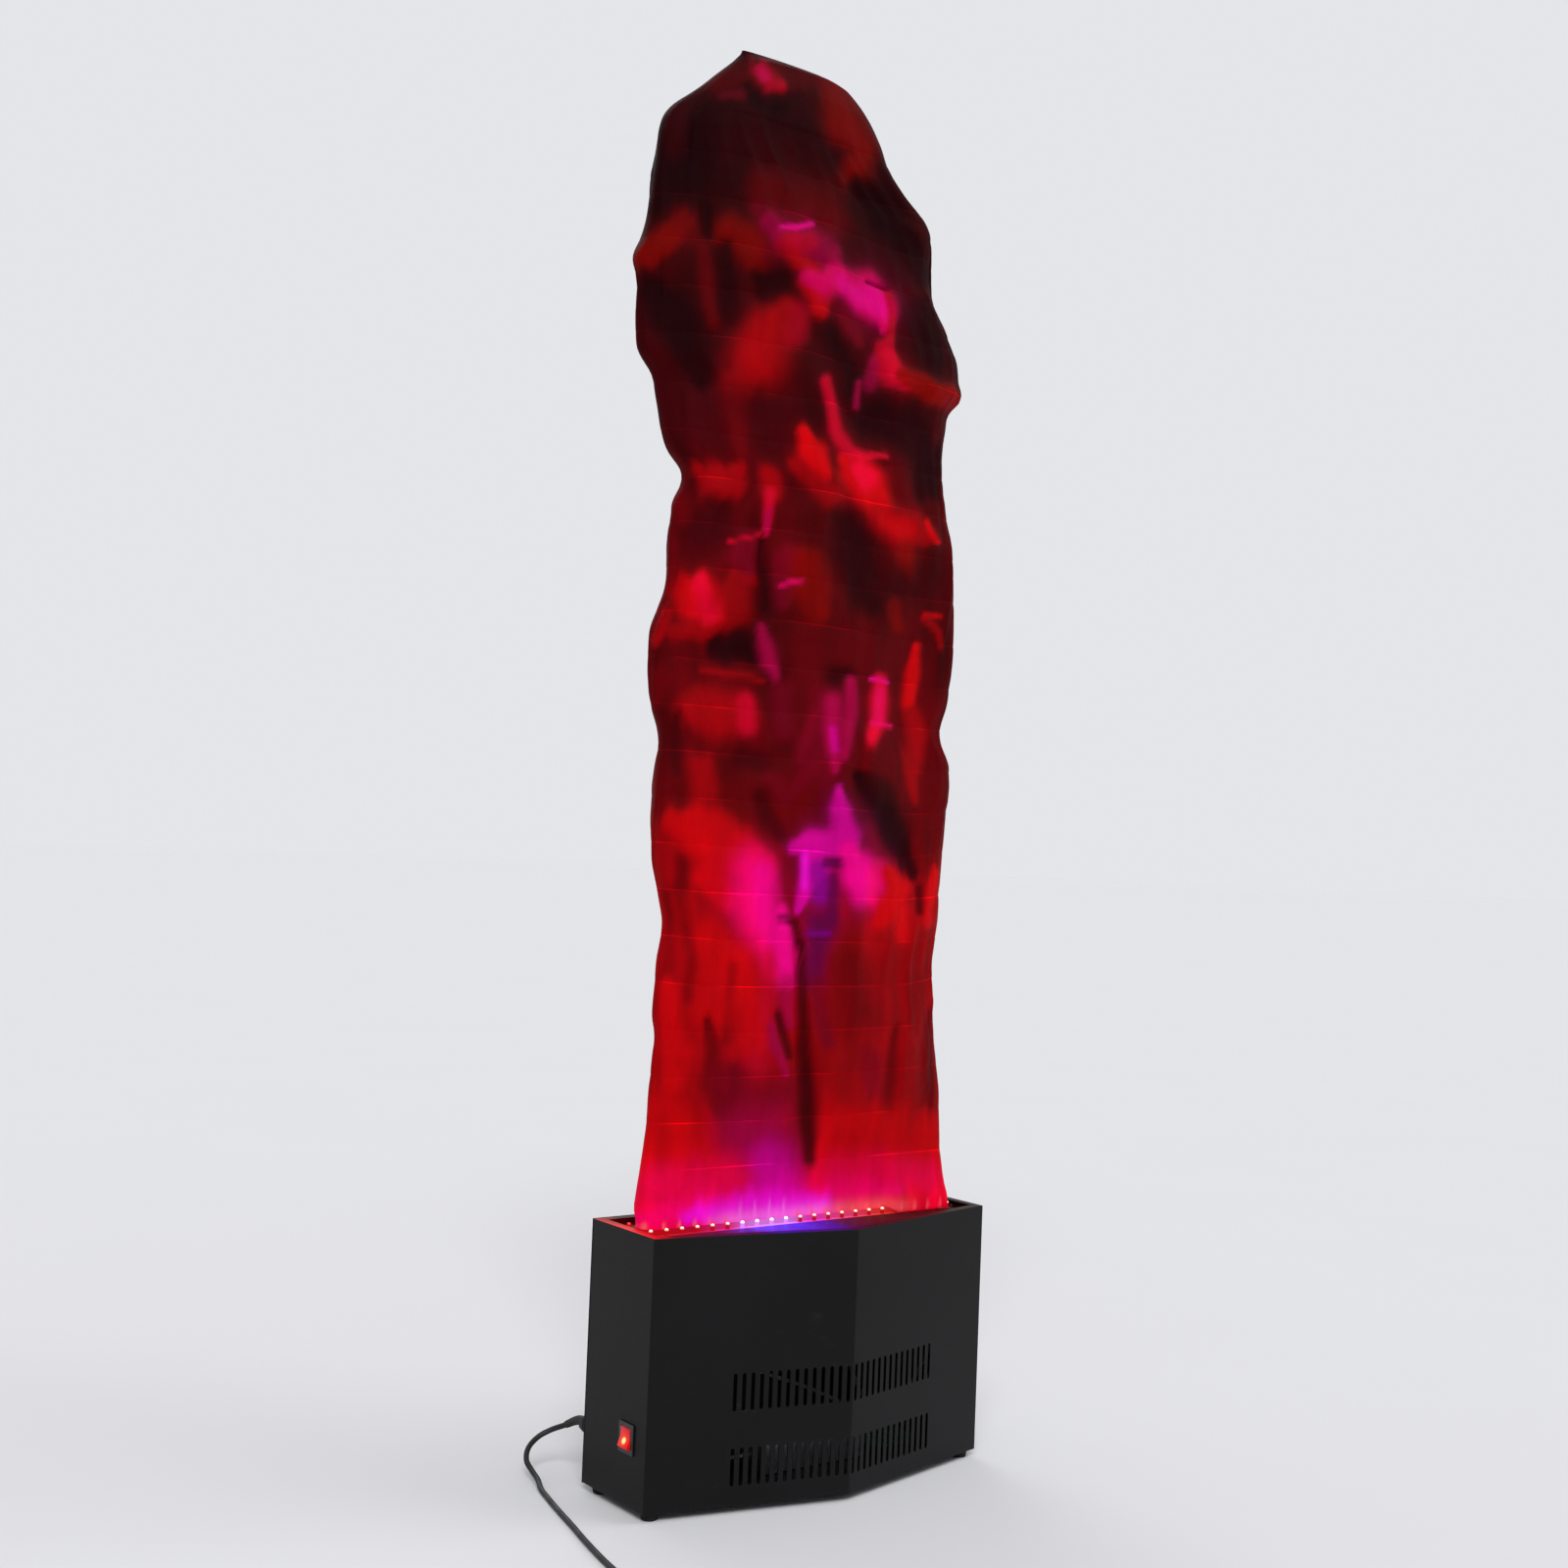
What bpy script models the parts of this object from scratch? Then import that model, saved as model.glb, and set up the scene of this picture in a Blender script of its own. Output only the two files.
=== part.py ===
"""Flame effect light: a sheet-metal base whose fans blow up a silk flame, with its mains lead.

Metres, +Z up, front towards -Y. The origin is on the floor under the middle of the housing.
"""
import math

import bmesh
import bpy
import numpy as np
from mathutils import Matrix, Vector

# Clearances and sheet
GAP = 0.0003
SHEET = 0.0015
BEND_RADIUS = 0.0012

# Housing
BODY_WIDTH = 0.530
SIDE_DEPTH = 0.143
PROW_DEPTH = 0.060
BODY_HEIGHT = 0.327
FOOT_HEIGHT = 0.010
RIM_WIDTH = 0.013
BOTTOM_FLANGE = 0.028
BACK_FLANGE = 0.0115
BACK_TOP_FLANGE = 0.022

# Vents
VENT_WIDTH = 0.005
VENT_HEIGHT = 0.046
VENT_PITCH = 0.0115
VENTS_A_SIDE = 14
VENT_ROW_BOTTOMS = (0.034, 0.124)
BACK_VENTS_A_SIDE = 7
VENT_END_STEPS = 3

# Top plate and its slot
TOP_RECESS = 0.008
SLOT_FROM_BACK = 0.0715
SLOT_END_GAP = 0.0024
SLOT_SIDE_GAP = 0.0005

# Collar, hem band and light boards
MOUTH_MARGIN = 0.023
MOUTH_DEPTH = 0.035
MOUTH_STEPS = 4
COLLAR_SHEET = 0.0015
COLLAR_HEIGHT = 0.020
COLLAR_FLANGE_END = 0.018
COLLAR_FLANGE_SIDE = 0.019
BAND_THICKNESS = 0.0012
BAND_HEIGHT = 0.008
BOARD_THICKNESS = 0.0016
BOARD_DEPTH = 0.009
LIGHTS = 22
LIGHT_INSET = 0.0015
LIGHT_RADIUS = 0.0025
LIGHT_HEIGHT = 0.0086

# Fans and their deck
FANS = 3
FAN_SIZE = 0.120
FAN_PITCH = 0.150
FAN_FROM_BACK = 0.0795
FAN_HEIGHT = 0.025
FAN_CORNER = 0.006
FAN_WALL = 0.002
BORE_SIDES = 32
FAN_SCREW_INSET = 0.0075
FAN_SCREW_HOLE_RADIUS = 0.0022
BLADE_CLEARANCE = 0.0015
BLADES = 7
BLADE_SWEEP = math.radians(42)
BLADE_RISE = 0.015
BLADE_THICKNESS = 0.0014
HUB_RADIUS = 0.0205
HUB_HEIGHT = 0.019
MOTOR_RADIUS = 0.0215
MOTOR_HEIGHT = 0.003
STRUT_WIDTH = 0.004
SHAFT_RADIUS = 0.0015
DECK_DROP = 0.137
TRAY_LIP = 0.010

# Air duct
DUCT_SHEET = 0.0012
DUCT_FLANGE = 0.006
DUCT_MARGIN = 0.0005

# Silk flame: height above the rim, growth past the mouth's end, half depth, shift to the side, shift back
SILK_THICKNESS = 0.001
SILK_STATIONS = (
    (0.00, 0.001, 0.019, 0.000, 0.000),
    (0.04, -0.001, 0.026, -0.003, 0.000),
    (0.10, -0.007, 0.034, -0.005, 0.000),
    (0.24, -0.016, 0.046, -0.008, 0.002),
    (0.42, -0.013, 0.050, -0.003, 0.003),
    (0.58, -0.005, 0.054, -0.004, 0.004),
    (0.74, -0.002, 0.058, -0.014, 0.006),
    (0.84, -0.009, 0.060, -0.016, 0.006),
    (0.92, -0.028, 0.062, -0.010, 0.004),
    (1.02, -0.020, 0.066, -0.024, 0.006),
    (1.12, -0.002, 0.068, -0.032, 0.006),
    (1.22, -0.006, 0.068, -0.036, 0.008),
    (1.32, -0.034, 0.066, -0.058, 0.008),
    (1.40, -0.082, 0.060, -0.082, 0.008),
    (1.45, -0.130, 0.050, -0.098, 0.008),
    (1.485, -0.180, 0.034, -0.114, 0.008),
    (1.502, -0.220, 0.014, -0.124, 0.008),
)
SILK_MORPH_HEIGHT = 0.22
SILK_SIDE_STEPS = 11
SILK_RINGS = 18
FOLD_DEPTH = 0.011
FOLD_START = 0.06
FOLD_FULL = 0.75
# Folds round the flame: how many, how many turns they drift a metre, phase in turns, share
SILK_FOLDS = ((5, 0.55, 0.10, 0.55), (8, -0.9, 0.35, 0.3), (3, 0.8, 0.62, 0.35))

# Electrical parts
SWITCH_FROM_BACK = 0.1005
SWITCH_Z = 0.091
ROCKER_WIDTH = 0.021
ROCKER_REACH = 0.0128
ROCKER_FACE = 0.0030
ROCKER_BACK = 0.0025
ROCKER_TILT = math.radians(11)
ROCKER_GAP = 0.0004
PIVOT_RADIUS = 0.0015
PIVOT_LENGTH = 0.0012
SWITCH_WALL = 0.0022
BEZEL_RIM = 0.003
BEZEL_THICKNESS = 0.002
SWITCH_DEPTH = 0.022
INLET_FROM_SIDE = 0.022
INLET_Z = 0.072
SOCKET_WIDTH = 0.017
SOCKET_HEIGHT = 0.0245
SOCKET_DEPTH = 0.019
INLET_WALL = 0.0015
INLET_FLANGE_RIM = 0.002
INLET_FLANGE_THICKNESS = 0.0025
INLET_BACK = 0.004
FUSE_WIDTH = 0.0095
FUSE_DEPTH = 0.018
FUSE_LIP = 0.0015
PIN_WIDTH = 0.002
PIN_HEIGHT = 0.004
PIN_LENGTH = 0.014
PIN_SPACING = 0.007
PIN_OFFSET = 0.002
SUPPLY_LENGTH = 0.160
SUPPLY_DEPTH = 0.085
SUPPLY_HEIGHT = 0.036
SUPPLY_FROM_SIDE = 0.245
SUPPLY_FROM_BACK = 0.0595
CONTROL_LENGTH = 0.080
CONTROL_DEPTH = 0.060
CONTROL_FROM_SIDE = 0.095
CONTROL_FROM_BACK = 0.0715
STANDOFF_HEIGHT = 0.006
STANDOFF_RADIUS = 0.003
STANDOFF_INSET = 0.006
HEADER_HEIGHT = 0.012
HEADER_LENGTH = 0.060
HEADER_DEPTH = 0.012
LEAD_RADIUS = 0.0025
LED_LEAD_FROM_SIDE = 0.0115
LED_LEAD_HOLE_RADIUS = 0.004

# Screws and feet
SCREW_RADIUS = 0.0015
SCREW_HEAD_RADIUS = 0.003
SCREW_HEAD_HEIGHT = 0.0018
SCREW_GRIP = 0.0025
SCREW_SIDES = 8
FOOT_RADIUS = 0.011
FOOT_INSET = 0.017
FOOT_RECESS = 0.004

# Mains lead
CORD_DIAMETER = 0.007
PLUG_BODY_WIDTH = 0.016
PLUG_BODY_HEIGHT = 0.0235
PLUG_NOSE_CLEARANCE = 0.0004
PLUG_NOSE_LENGTH = 0.017
PLUG_BODY_LENGTH = 0.034
BOOT_LENGTH = 0.040
BOOT_RADIUS = 0.0065
BOOT_TIP_RADIUS = 0.0046
BOOT_STEPS = 8
CORD_STEP = 0.0165
CORD_FLOOR_Z = 0.0035 + 0.0001
CORD_KNOTS = (
    (-0.2433, 0.1539, 0.0699),
    (-0.2436, 0.1637, 0.0657),
    (-0.2478, 0.1790, 0.0576),
    (-0.2593, 0.1915, 0.0504),
    (-0.2749, 0.1969, 0.0421),
    (-0.2910, 0.1922, 0.0319),
    (-0.3003, 0.1795, 0.0213),
    (-0.3021, 0.1623, 0.0139),
    (-0.3052, 0.1405, 0.0086),
    (-0.3130, 0.1178, 0.0046),
    (-0.3190, 0.0930, CORD_FLOOR_Z),
    (-0.3255, 0.0680, CORD_FLOOR_Z),
    (-0.3350, 0.0280, CORD_FLOOR_Z),
    (-0.3440, -0.0120, CORD_FLOOR_Z),
    (-0.3540, -0.0530, CORD_FLOOR_Z),
    (-0.3640, -0.0980, CORD_FLOOR_Z),
    (-0.3730, -0.1450, CORD_FLOOR_Z),
)
COIL_CENTRE = (-0.430, -0.225)
COIL_MEAN_RADIUS = 0.039
COIL_TURNS = 4.25
COIL_STEP = 0.0078
COIL_LOOP_POINTS = 24
TIE_THICKNESS = 0.001
TIE_WIDTH = 0.012
TIE_SLACK = 0.0009
TIE_ANGLE = math.radians(135)
TAIL_LENGTH = 0.060
PLUG_RADIUS = 0.0185
PLUG_DISC_LENGTH = 0.009
PLUG_GRIP_RADIUS = 0.0125
PLUG_GRIP_LENGTH = 0.026
PLUG_BOOT_LENGTH = 0.020
PLUG_PIN_RADIUS = 0.0024
PLUG_PIN_LENGTH = 0.019
PLUG_PIN_SPACING = 0.019

# Places worked out from the sizes above
BACK_Y = (SIDE_DEPTH + PROW_DEPTH) / 2
PROW_Y = -BACK_Y
TOP_Z = FOOT_HEIGHT + BODY_HEIGHT
SLOT_Y = BACK_Y - SLOT_FROM_BACK
FAN_Y = BACK_Y - FAN_FROM_BACK
SWITCH_Y = BACK_Y - SWITCH_FROM_BACK
SUPPLY_X = BODY_WIDTH / 2 - SUPPLY_FROM_SIDE
SUPPLY_Y = BACK_Y - SUPPLY_FROM_BACK
CONTROL_X = BODY_WIDTH / 2 - CONTROL_FROM_SIDE
CONTROL_Y = BACK_Y - CONTROL_FROM_BACK
LED_LEAD_X = BODY_WIDTH / 2 - LED_LEAD_FROM_SIDE
INLET_X = INLET_FROM_SIDE - BODY_WIDTH / 2
MOUTH_LENGTH = BODY_WIDTH - 2 * MOUTH_MARGIN
LIGHT_PITCH = (MOUTH_LENGTH - 2 * LIGHT_INSET) / (LIGHTS - 1)
HEM_OFFSET = GAP + SILK_THICKNESS
BAND_OFFSET = HEM_OFFSET + GAP + BAND_THICKNESS
SLOT_LENGTH = MOUTH_LENGTH + 2 * (BAND_OFFSET + SLOT_END_GAP)
SLOT_DEPTH = MOUTH_DEPTH + 2 * (BAND_OFFSET + GAP + BOARD_DEPTH + SLOT_SIDE_GAP)
SHELL_BACK = SHEET + GAP
TRAY_BACK = SHELL_BACK + SHEET + GAP
PLATE_TOP_Z = TOP_Z - TOP_RECESS
PLATE_UNDER_Z = PLATE_TOP_Z - SHEET
FLANGE_TOP_Z = PLATE_UNDER_Z - GAP
FLANGE_UNDER_Z = FLANGE_TOP_Z - COLLAR_SHEET
COLLAR_TOP_Z = FLANGE_TOP_Z + COLLAR_HEIGHT
HEM_Z = FLANGE_TOP_Z + GAP
COLLAR_HALF_X = MOUTH_LENGTH / 2 + COLLAR_FLANGE_END
COLLAR_HALF_Y = MOUTH_DEPTH / 2 + COLLAR_FLANGE_SIDE
FLOOR_Z = FOOT_HEIGHT + SHEET + GAP
FLOOR_TOP_Z = FLOOR_Z + SHEET
DECK_Z = TOP_Z - DECK_DROP
FAN_TOP_Z = DECK_Z - GAP
FAN_BASE_Z = FAN_TOP_Z - FAN_HEIGHT
DECK_TOP_Z = DECK_Z + SHEET
FAN_BORE_RADIUS = FAN_SIZE / 2 - FAN_WALL
BLADE_RADIUS = FAN_BORE_RADIUS - BLADE_CLEARANCE
FAN_SCREW_SPACING = FAN_SIZE - 2 * FAN_SCREW_INSET
FAN_XS = tuple((i - (FANS - 1) / 2) * FAN_PITCH for i in range(FANS))
SWITCH_X = -BODY_WIDTH / 2
ROCKER_REAR = ROCKER_REACH * math.sin(ROCKER_TILT) + ROCKER_BACK + 3 * GAP
CONTROL_Z = FLOOR_TOP_Z + STANDOFF_HEIGHT + GAP
HEADER_TOP_Z = CONTROL_Z + BOARD_THICKNESS + HEADER_HEIGHT
HEADER_Y = CONTROL_Y + CONTROL_DEPTH / 2 - HEADER_DEPTH / 2
SUPPLY_Z = FLOOR_TOP_Z + GAP
COIL_OUTER_RADIUS = COIL_MEAN_RADIUS + COIL_STEP * COIL_TURNS / 4
COIL_INNER_RADIUS = COIL_OUTER_RADIUS - COIL_STEP * COIL_TURNS / 2
COIL_LOW_Z = TIE_THICKNESS + GAP + CORD_DIAMETER / 2
PLUG_Z = PLUG_RADIUS + GAP

MATERIALS = {
    "black_paint": ((0.012, 0.012, 0.014), 0.42, 0.0),
    "zinc_sheet": ((0.55, 0.57, 0.60), 0.35, 1.0),
    "silk": ((0.75, 0.02, 0.03), 0.75, 0.0),
    "light_board": ((0.85, 0.20, 0.12), 0.30, 0.0),
    "board_green": ((0.03, 0.20, 0.08), 0.45, 0.0),
    "fan_black": ((0.020, 0.020, 0.022), 0.50, 0.0),
    "rocker_red": ((0.80, 0.04, 0.02), 0.25, 0.0),
    "black_nylon": ((0.018, 0.018, 0.020), 0.45, 0.0),
    "foot_rubber": ((0.020, 0.020, 0.020), 0.85, 0.0),
    "cord_pvc": ((0.016, 0.016, 0.018), 0.55, 0.0),
    "screw_black": ((0.05, 0.05, 0.055), 0.35, 0.8),
    "band_black": ((0.030, 0.030, 0.032), 0.90, 0.0),
    "hem_tape": ((0.60, 0.02, 0.04), 0.85, 0.0),
    "lead_grey": ((0.30, 0.30, 0.32), 0.60, 0.0),
}


def clear_scene():
    for obj in list(bpy.data.objects):
        bpy.data.objects.remove(obj, do_unlink=True)


def new_collection(name):
    collection = bpy.data.collections.new(name)
    bpy.context.scene.collection.children.link(collection)
    return collection


clear_scene()
PARTS = new_collection("flame_effect_light")
CUTTERS = new_collection("cutters")


def material(name):
    found = bpy.data.materials.get(name)
    if found:
        return found
    colour, roughness, metallic = MATERIALS[name]
    made = bpy.data.materials.new(name)
    made.use_nodes = True
    shader = made.node_tree.nodes["Principled BSDF"]
    shader.inputs["Base Color"].default_value = (*colour, 1.0)
    shader.inputs["Roughness"].default_value = roughness
    shader.inputs["Metallic"].default_value = metallic
    made.diffuse_color = (*colour, 1.0)
    return made


def mesh_from(name, bm, finish=None, turn_out=True):
    """Turns a bmesh into a mesh with its faces pointing out, shaded smooth on its round sides."""
    if turn_out:
        bmesh.ops.recalc_face_normals(bm, faces=bm.faces)
    mesh = bpy.data.meshes.new(name)
    bm.to_mesh(mesh)
    bm.free()
    mesh.shade_smooth()
    mesh.set_sharp_from_angle(angle=math.radians(32))
    if finish:
        mesh.materials.append(material(finish))
    return mesh


def piece(name, source, finish, place=(0, 0, 0), turn_out=True):
    """A named sub-part from a bmesh, or from a mesh that others share."""
    mesh = mesh_from(name, source, finish, turn_out) if isinstance(source, bmesh.types.BMesh) else source
    obj = bpy.data.objects.new(name, mesh)
    obj.location = place
    PARTS.objects.link(obj)
    return obj


def boolean(obj, bm, operation, label, crossing=False):
    """Cuts a tool from the object, or joins it on; crossing says that the tool's bodies overlap."""
    tool = bpy.data.objects.new(f"{obj.name}_{label}", mesh_from(label, bm))
    tool.hide_render = True
    tool.display_type = "WIRE"
    tool.location = obj.location
    CUTTERS.objects.link(tool)
    modifier = obj.modifiers.new(label, "BOOLEAN")
    modifier.operation = operation
    modifier.object = tool
    modifier.solver = "EXACT"
    modifier.use_self = crossing


def cut(obj, bm, label, crossing=False):
    boolean(obj, bm, "DIFFERENCE", label, crossing)


def join(obj, bm, label, crossing=False):
    boolean(obj, bm, "UNION", label, crossing)


def baked(obj):
    """Replaces an object by the plain mesh that its modifiers make."""
    seen = obj.evaluated_get(bpy.context.evaluated_depsgraph_get())
    mesh = bpy.data.meshes.new_from_object(seen)
    bpy.data.objects.remove(obj, do_unlink=True)
    return mesh


def box(bm, low, high):
    low, high = Vector(low), Vector(high)
    size = Matrix.Diagonal((*(high - low), 1.0))
    bmesh.ops.create_cube(bm, size=1.0, matrix=Matrix.Translation((low + high) / 2) @ size)


def prism(bm, outline, start, end, axis="Z"):
    """A flat outline drawn across an axis and pulled along it from start to end."""
    place = {
        "X": lambda a, b, c: Vector((c, a, b)),
        "Y": lambda a, b, c: Vector((a, c, b)),
        "Z": lambda a, b, c: Vector((a, b, c)),
    }[axis]
    face = bm.faces.new([bm.verts.new(place(a, b, start)) for a, b in outline])
    pulled = bmesh.ops.extrude_face_region(bm, geom=[face])["geom"]
    verts = [v for v in pulled if isinstance(v, bmesh.types.BMVert)]
    bmesh.ops.translate(bm, verts=verts, vec=place(0.0, 0.0, end - start))


def rod(bm, radius, start, end, sides=16, end_radius=None):
    """A cylinder, or a cone where the end radius differs."""
    start, end = Vector(start), Vector(end)
    turn = (end - start).to_track_quat("Z", "Y").to_matrix().to_4x4()
    bmesh.ops.create_cone(
        bm,
        cap_ends=True,
        segments=sides,
        radius1=radius,
        radius2=radius if end_radius is None else end_radius,
        depth=(end - start).length,
        matrix=Matrix.Translation((start + end) / 2) @ turn,
    )


def rectangle(half_a, half_b, centre=(0.0, 0.0)):
    a, b = centre
    return [(a - half_a, b - half_b), (a + half_a, b - half_b), (a + half_a, b + half_b), (a - half_a, b + half_b)]


def stadium(length, width, end_steps, side_steps=1):
    """A long outline with round ends, its length along the first axis."""
    radius = width / 2
    straight = length / 2 - radius
    points = []
    for side in (1, -1):
        for i in range(end_steps + 1):
            angle = math.pi * (i / end_steps - 0.5)
            points.append((side * (straight + radius * math.cos(angle)), side * radius * math.sin(angle)))
        for i in range(1, side_steps):
            points.append((side * straight * (1 - 2 * i / side_steps), side * radius))
    return points


def tube(name, points, diameter, finish, resolution=2, radii=None):
    """A round tube along a polyline, with closed ends."""
    curve = bpy.data.curves.new(name, "CURVE")
    curve.dimensions = "3D"
    curve.bevel_depth = diameter / 2
    curve.bevel_resolution = resolution
    curve.use_fill_caps = True
    curve.materials.append(material(finish))
    spline = curve.splines.new("POLY")
    spline.points.add(len(points) - 1)
    for i, point in enumerate(points):
        spline.points[i].co = (*point, 1.0)
        spline.points[i].radius = radii[i] if radii else 1.0
    obj = bpy.data.objects.new(name, curve)
    PARTS.objects.link(obj)
    return obj


def smooth_path(knots, step):
    """Evenly spaced points on a smooth curve that passes through the knots."""
    knots = [Vector(k) for k in knots]
    ends = [2 * knots[0] - knots[1], *knots, 2 * knots[-1] - knots[-2]]
    fine = []
    for a, b, c, d in zip(ends, ends[1:], ends[2:], ends[3:]):
        for i in range(24):
            t = i / 24
            square = (2 * a - 5 * b + 4 * c - d) * t * t
            cube = (3 * b - a - 3 * c + d) * t ** 3
            fine.append((2 * b + (c - a) * t + square + cube) / 2)
    fine.append(knots[-1])
    fine = np.array(fine)
    along = path_distances(fine)
    spots = np.linspace(0.0, along[-1], max(2, round(along[-1] / step) + 1))
    return np.column_stack([np.interp(spots, along, fine[:, k]) for k in range(3)])


def straight_ends(points, first, last):
    """Turns a path's first and last stretch to given headings, so that its end faces lie square."""
    points[1] = points[0] + first.normalized() * np.linalg.norm(points[1] - points[0])
    points[-2] = points[-1] - last.normalized() * np.linalg.norm(points[-1] - points[-2])
    return points


def path_distances(points):
    steps = np.linalg.norm(np.diff(np.asarray(points), axis=0), axis=1)
    return np.concatenate([[0.0], np.cumsum(steps)])


def smoothstep(t):
    t = min(max(t, 0.0), 1.0)
    return t * t * (3 - 2 * t)


def facet_y(x, inset=0.0):
    """The folded front's Y at a width, moved in from the outer face by the inset."""
    slope = PROW_DEPTH / (BODY_WIDTH / 2)
    return PROW_Y + slope * abs(x) + inset * math.hypot(1.0, slope)


def footprint(inset, back_inset):
    """The housing's plan: square at the sides and back, folded to a shallow ridge in front."""
    side = BODY_WIDTH / 2 - inset
    back = BACK_Y - back_inset
    return [(-side, back), (-side, facet_y(side, inset)), (0.0, facet_y(0.0, inset)), (side, facet_y(side, inset)), (side, back)]


def vents(bm, count_a_side, bottom, start_y, end_y):
    """A row of upright slots with round ends, cut along Y."""
    slot = stadium(VENT_HEIGHT, VENT_WIDTH, VENT_END_STEPS)
    for i in range(-count_a_side, count_a_side):
        x = (i + 0.5) * VENT_PITCH
        z = bottom + VENT_HEIGHT / 2
        prism(bm, [(x + across, z + up) for up, across in slot], start_y, end_y, "Y")


def foot_places():
    x = BODY_WIDTH / 2 - FOOT_INSET
    front = facet_y(x) + FOOT_INSET
    back = BACK_Y - SHELL_BACK - FOOT_INSET
    return [(-x, front), (x, front), (-x, back), (x, back)]


def back_screw_places():
    x = BODY_WIDTH / 2 - BACK_FLANGE / 2
    low = FOOT_HEIGHT + BACK_FLANGE / 2
    high = TOP_Z - BACK_TOP_FLANGE + BACK_FLANGE / 2
    return [(-x, low), (0.0, low), (x, low), (-x, high), (0.0, high), (x, high)]


def collar_screw_places():
    x = COLLAR_HALF_X - SCREW_HEAD_RADIUS - BOARD_THICKNESS
    y = COLLAR_HALF_Y / 2
    return [(sx * x, SLOT_Y + sy * y) for sx in (-1, 1) for sy in (-1, 1)]


def inlet_box(grow=0.0):
    """Low and high X and Z of the inlet's body behind the back panel."""
    half_height = SOCKET_HEIGHT / 2 + INLET_WALL + grow
    low_x = INLET_X - SOCKET_WIDTH / 2 - INLET_WALL - grow
    high_x = INLET_X + SOCKET_WIDTH / 2 + 2 * INLET_WALL + FUSE_WIDTH + 2 * GAP + grow
    return low_x, high_x, INLET_Z - half_height, INLET_Z + half_height


def switch_box(grow=0.0):
    """Low and high Y and Z of the switch's body inside the left wall."""
    half_y = ROCKER_WIDTH / 2 + ROCKER_GAP + SWITCH_WALL + grow
    half_z = ROCKER_REACH + ROCKER_GAP + SWITCH_WALL + grow
    return SWITCH_Y - half_y, SWITCH_Y + half_y, SWITCH_Z - half_z, SWITCH_Z + half_z


def make_housing_shell():
    bm = bmesh.new()
    prism(bm, footprint(0.0, SHELL_BACK), FOOT_HEIGHT, TOP_Z)
    bmesh.ops.bevel(bm, geom=bm.edges[:], offset=BEND_RADIUS, segments=2, profile=0.5, affect="EDGES")
    shell = piece("housing_shell", bm, "black_paint")
    bm = bmesh.new()
    prism(bm, footprint(SHEET, SHELL_BACK + SHEET), FOOT_HEIGHT + SHEET, TOP_Z - SHEET)
    cut(shell, bm, "inside")
    bm = bmesh.new()
    prism(bm, footprint(RIM_WIDTH, SHELL_BACK + RIM_WIDTH), TOP_Z - 2 * SHEET, TOP_Z + SHEET)
    prism(bm, footprint(BOTTOM_FLANGE, SHELL_BACK + BOTTOM_FLANGE), FOOT_HEIGHT - SHEET, FOOT_HEIGHT + 2 * SHEET)
    cut(shell, bm, "top_and_bottom")
    bm = bmesh.new()
    side = BODY_WIDTH / 2 - BACK_FLANGE
    low, high = FOOT_HEIGHT + BACK_FLANGE, TOP_Z - BACK_TOP_FLANGE
    box(bm, (-side, BACK_Y - BACK_TOP_FLANGE, low), (side, BACK_Y, high))
    for x, z in back_screw_places():
        rod(bm, SCREW_RADIUS + GAP, (x, BACK_Y, z), (x, BACK_Y - 2 * SHELL_BACK - SHEET, z), SCREW_SIDES)
    cut(shell, bm, "back_opening")
    bm = bmesh.new()
    vents_end = facet_y(VENTS_A_SIDE * VENT_PITCH) + 4 * SHEET
    for bottom in VENT_ROW_BOTTOMS:
        vents(bm, VENTS_A_SIDE, bottom, PROW_Y - SHEET, vents_end)
    cut(shell, bm, "vents")
    bm = bmesh.new()
    y0, y1, z0, z1 = switch_box(GAP)
    box(bm, (SWITCH_X - SHEET, y0, z0), (SWITCH_X + 2 * SHEET, y1, z1))
    for x, y in foot_places():
        rod(bm, SCREW_RADIUS + GAP, (x, y, FOOT_HEIGHT - SHEET), (x, y, FLOOR_Z), SCREW_SIDES)
    cut(shell, bm, "switch_and_feet")


def make_back_panel():
    bm = bmesh.new()
    box(bm, (-BODY_WIDTH / 2, BACK_Y - SHEET, FOOT_HEIGHT), (BODY_WIDTH / 2, BACK_Y, TOP_Z))
    panel = piece("back_panel", bm, "black_paint")
    bm = bmesh.new()
    vents(bm, BACK_VENTS_A_SIDE, VENT_ROW_BOTTOMS[1], BACK_Y - 2 * SHEET, BACK_Y + SHEET)
    x0, x1, z0, z1 = inlet_box(GAP)
    box(bm, (x0, BACK_Y - 2 * SHEET, z0), (x1, BACK_Y + SHEET, z1))
    for x, z in back_screw_places():
        rod(bm, SCREW_RADIUS + GAP, (x, BACK_Y - 2 * SHEET, z), (x, BACK_Y + SHEET, z), SCREW_SIDES)
    cut(panel, bm, "openings")


def make_base_plate():
    bm = bmesh.new()
    prism(bm, footprint(SHELL_BACK, TRAY_BACK), FLOOR_Z, FLOOR_TOP_Z)
    plate = piece("base_plate", bm, "zinc_sheet")
    bm = bmesh.new()
    for sx in (-1, 1):
        for sy in (-1, 1):
            x = CONTROL_X + sx * (CONTROL_LENGTH / 2 - STANDOFF_INSET)
            y = CONTROL_Y + sy * (CONTROL_DEPTH / 2 - STANDOFF_INSET)
            rod(bm, STANDOFF_RADIUS, (x, y, FLOOR_TOP_Z - SHEET / 2), (x, y, CONTROL_Z - GAP), SCREW_SIDES)
    join(plate, bm, "standoffs")
    bm = bmesh.new()
    for x, y in foot_places():
        rod(bm, SCREW_RADIUS + GAP, (x, y, FOOT_HEIGHT), (x, y, FLOOR_TOP_Z + SHEET), SCREW_SIDES)
    cut(plate, bm, "foot_holes")


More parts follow.
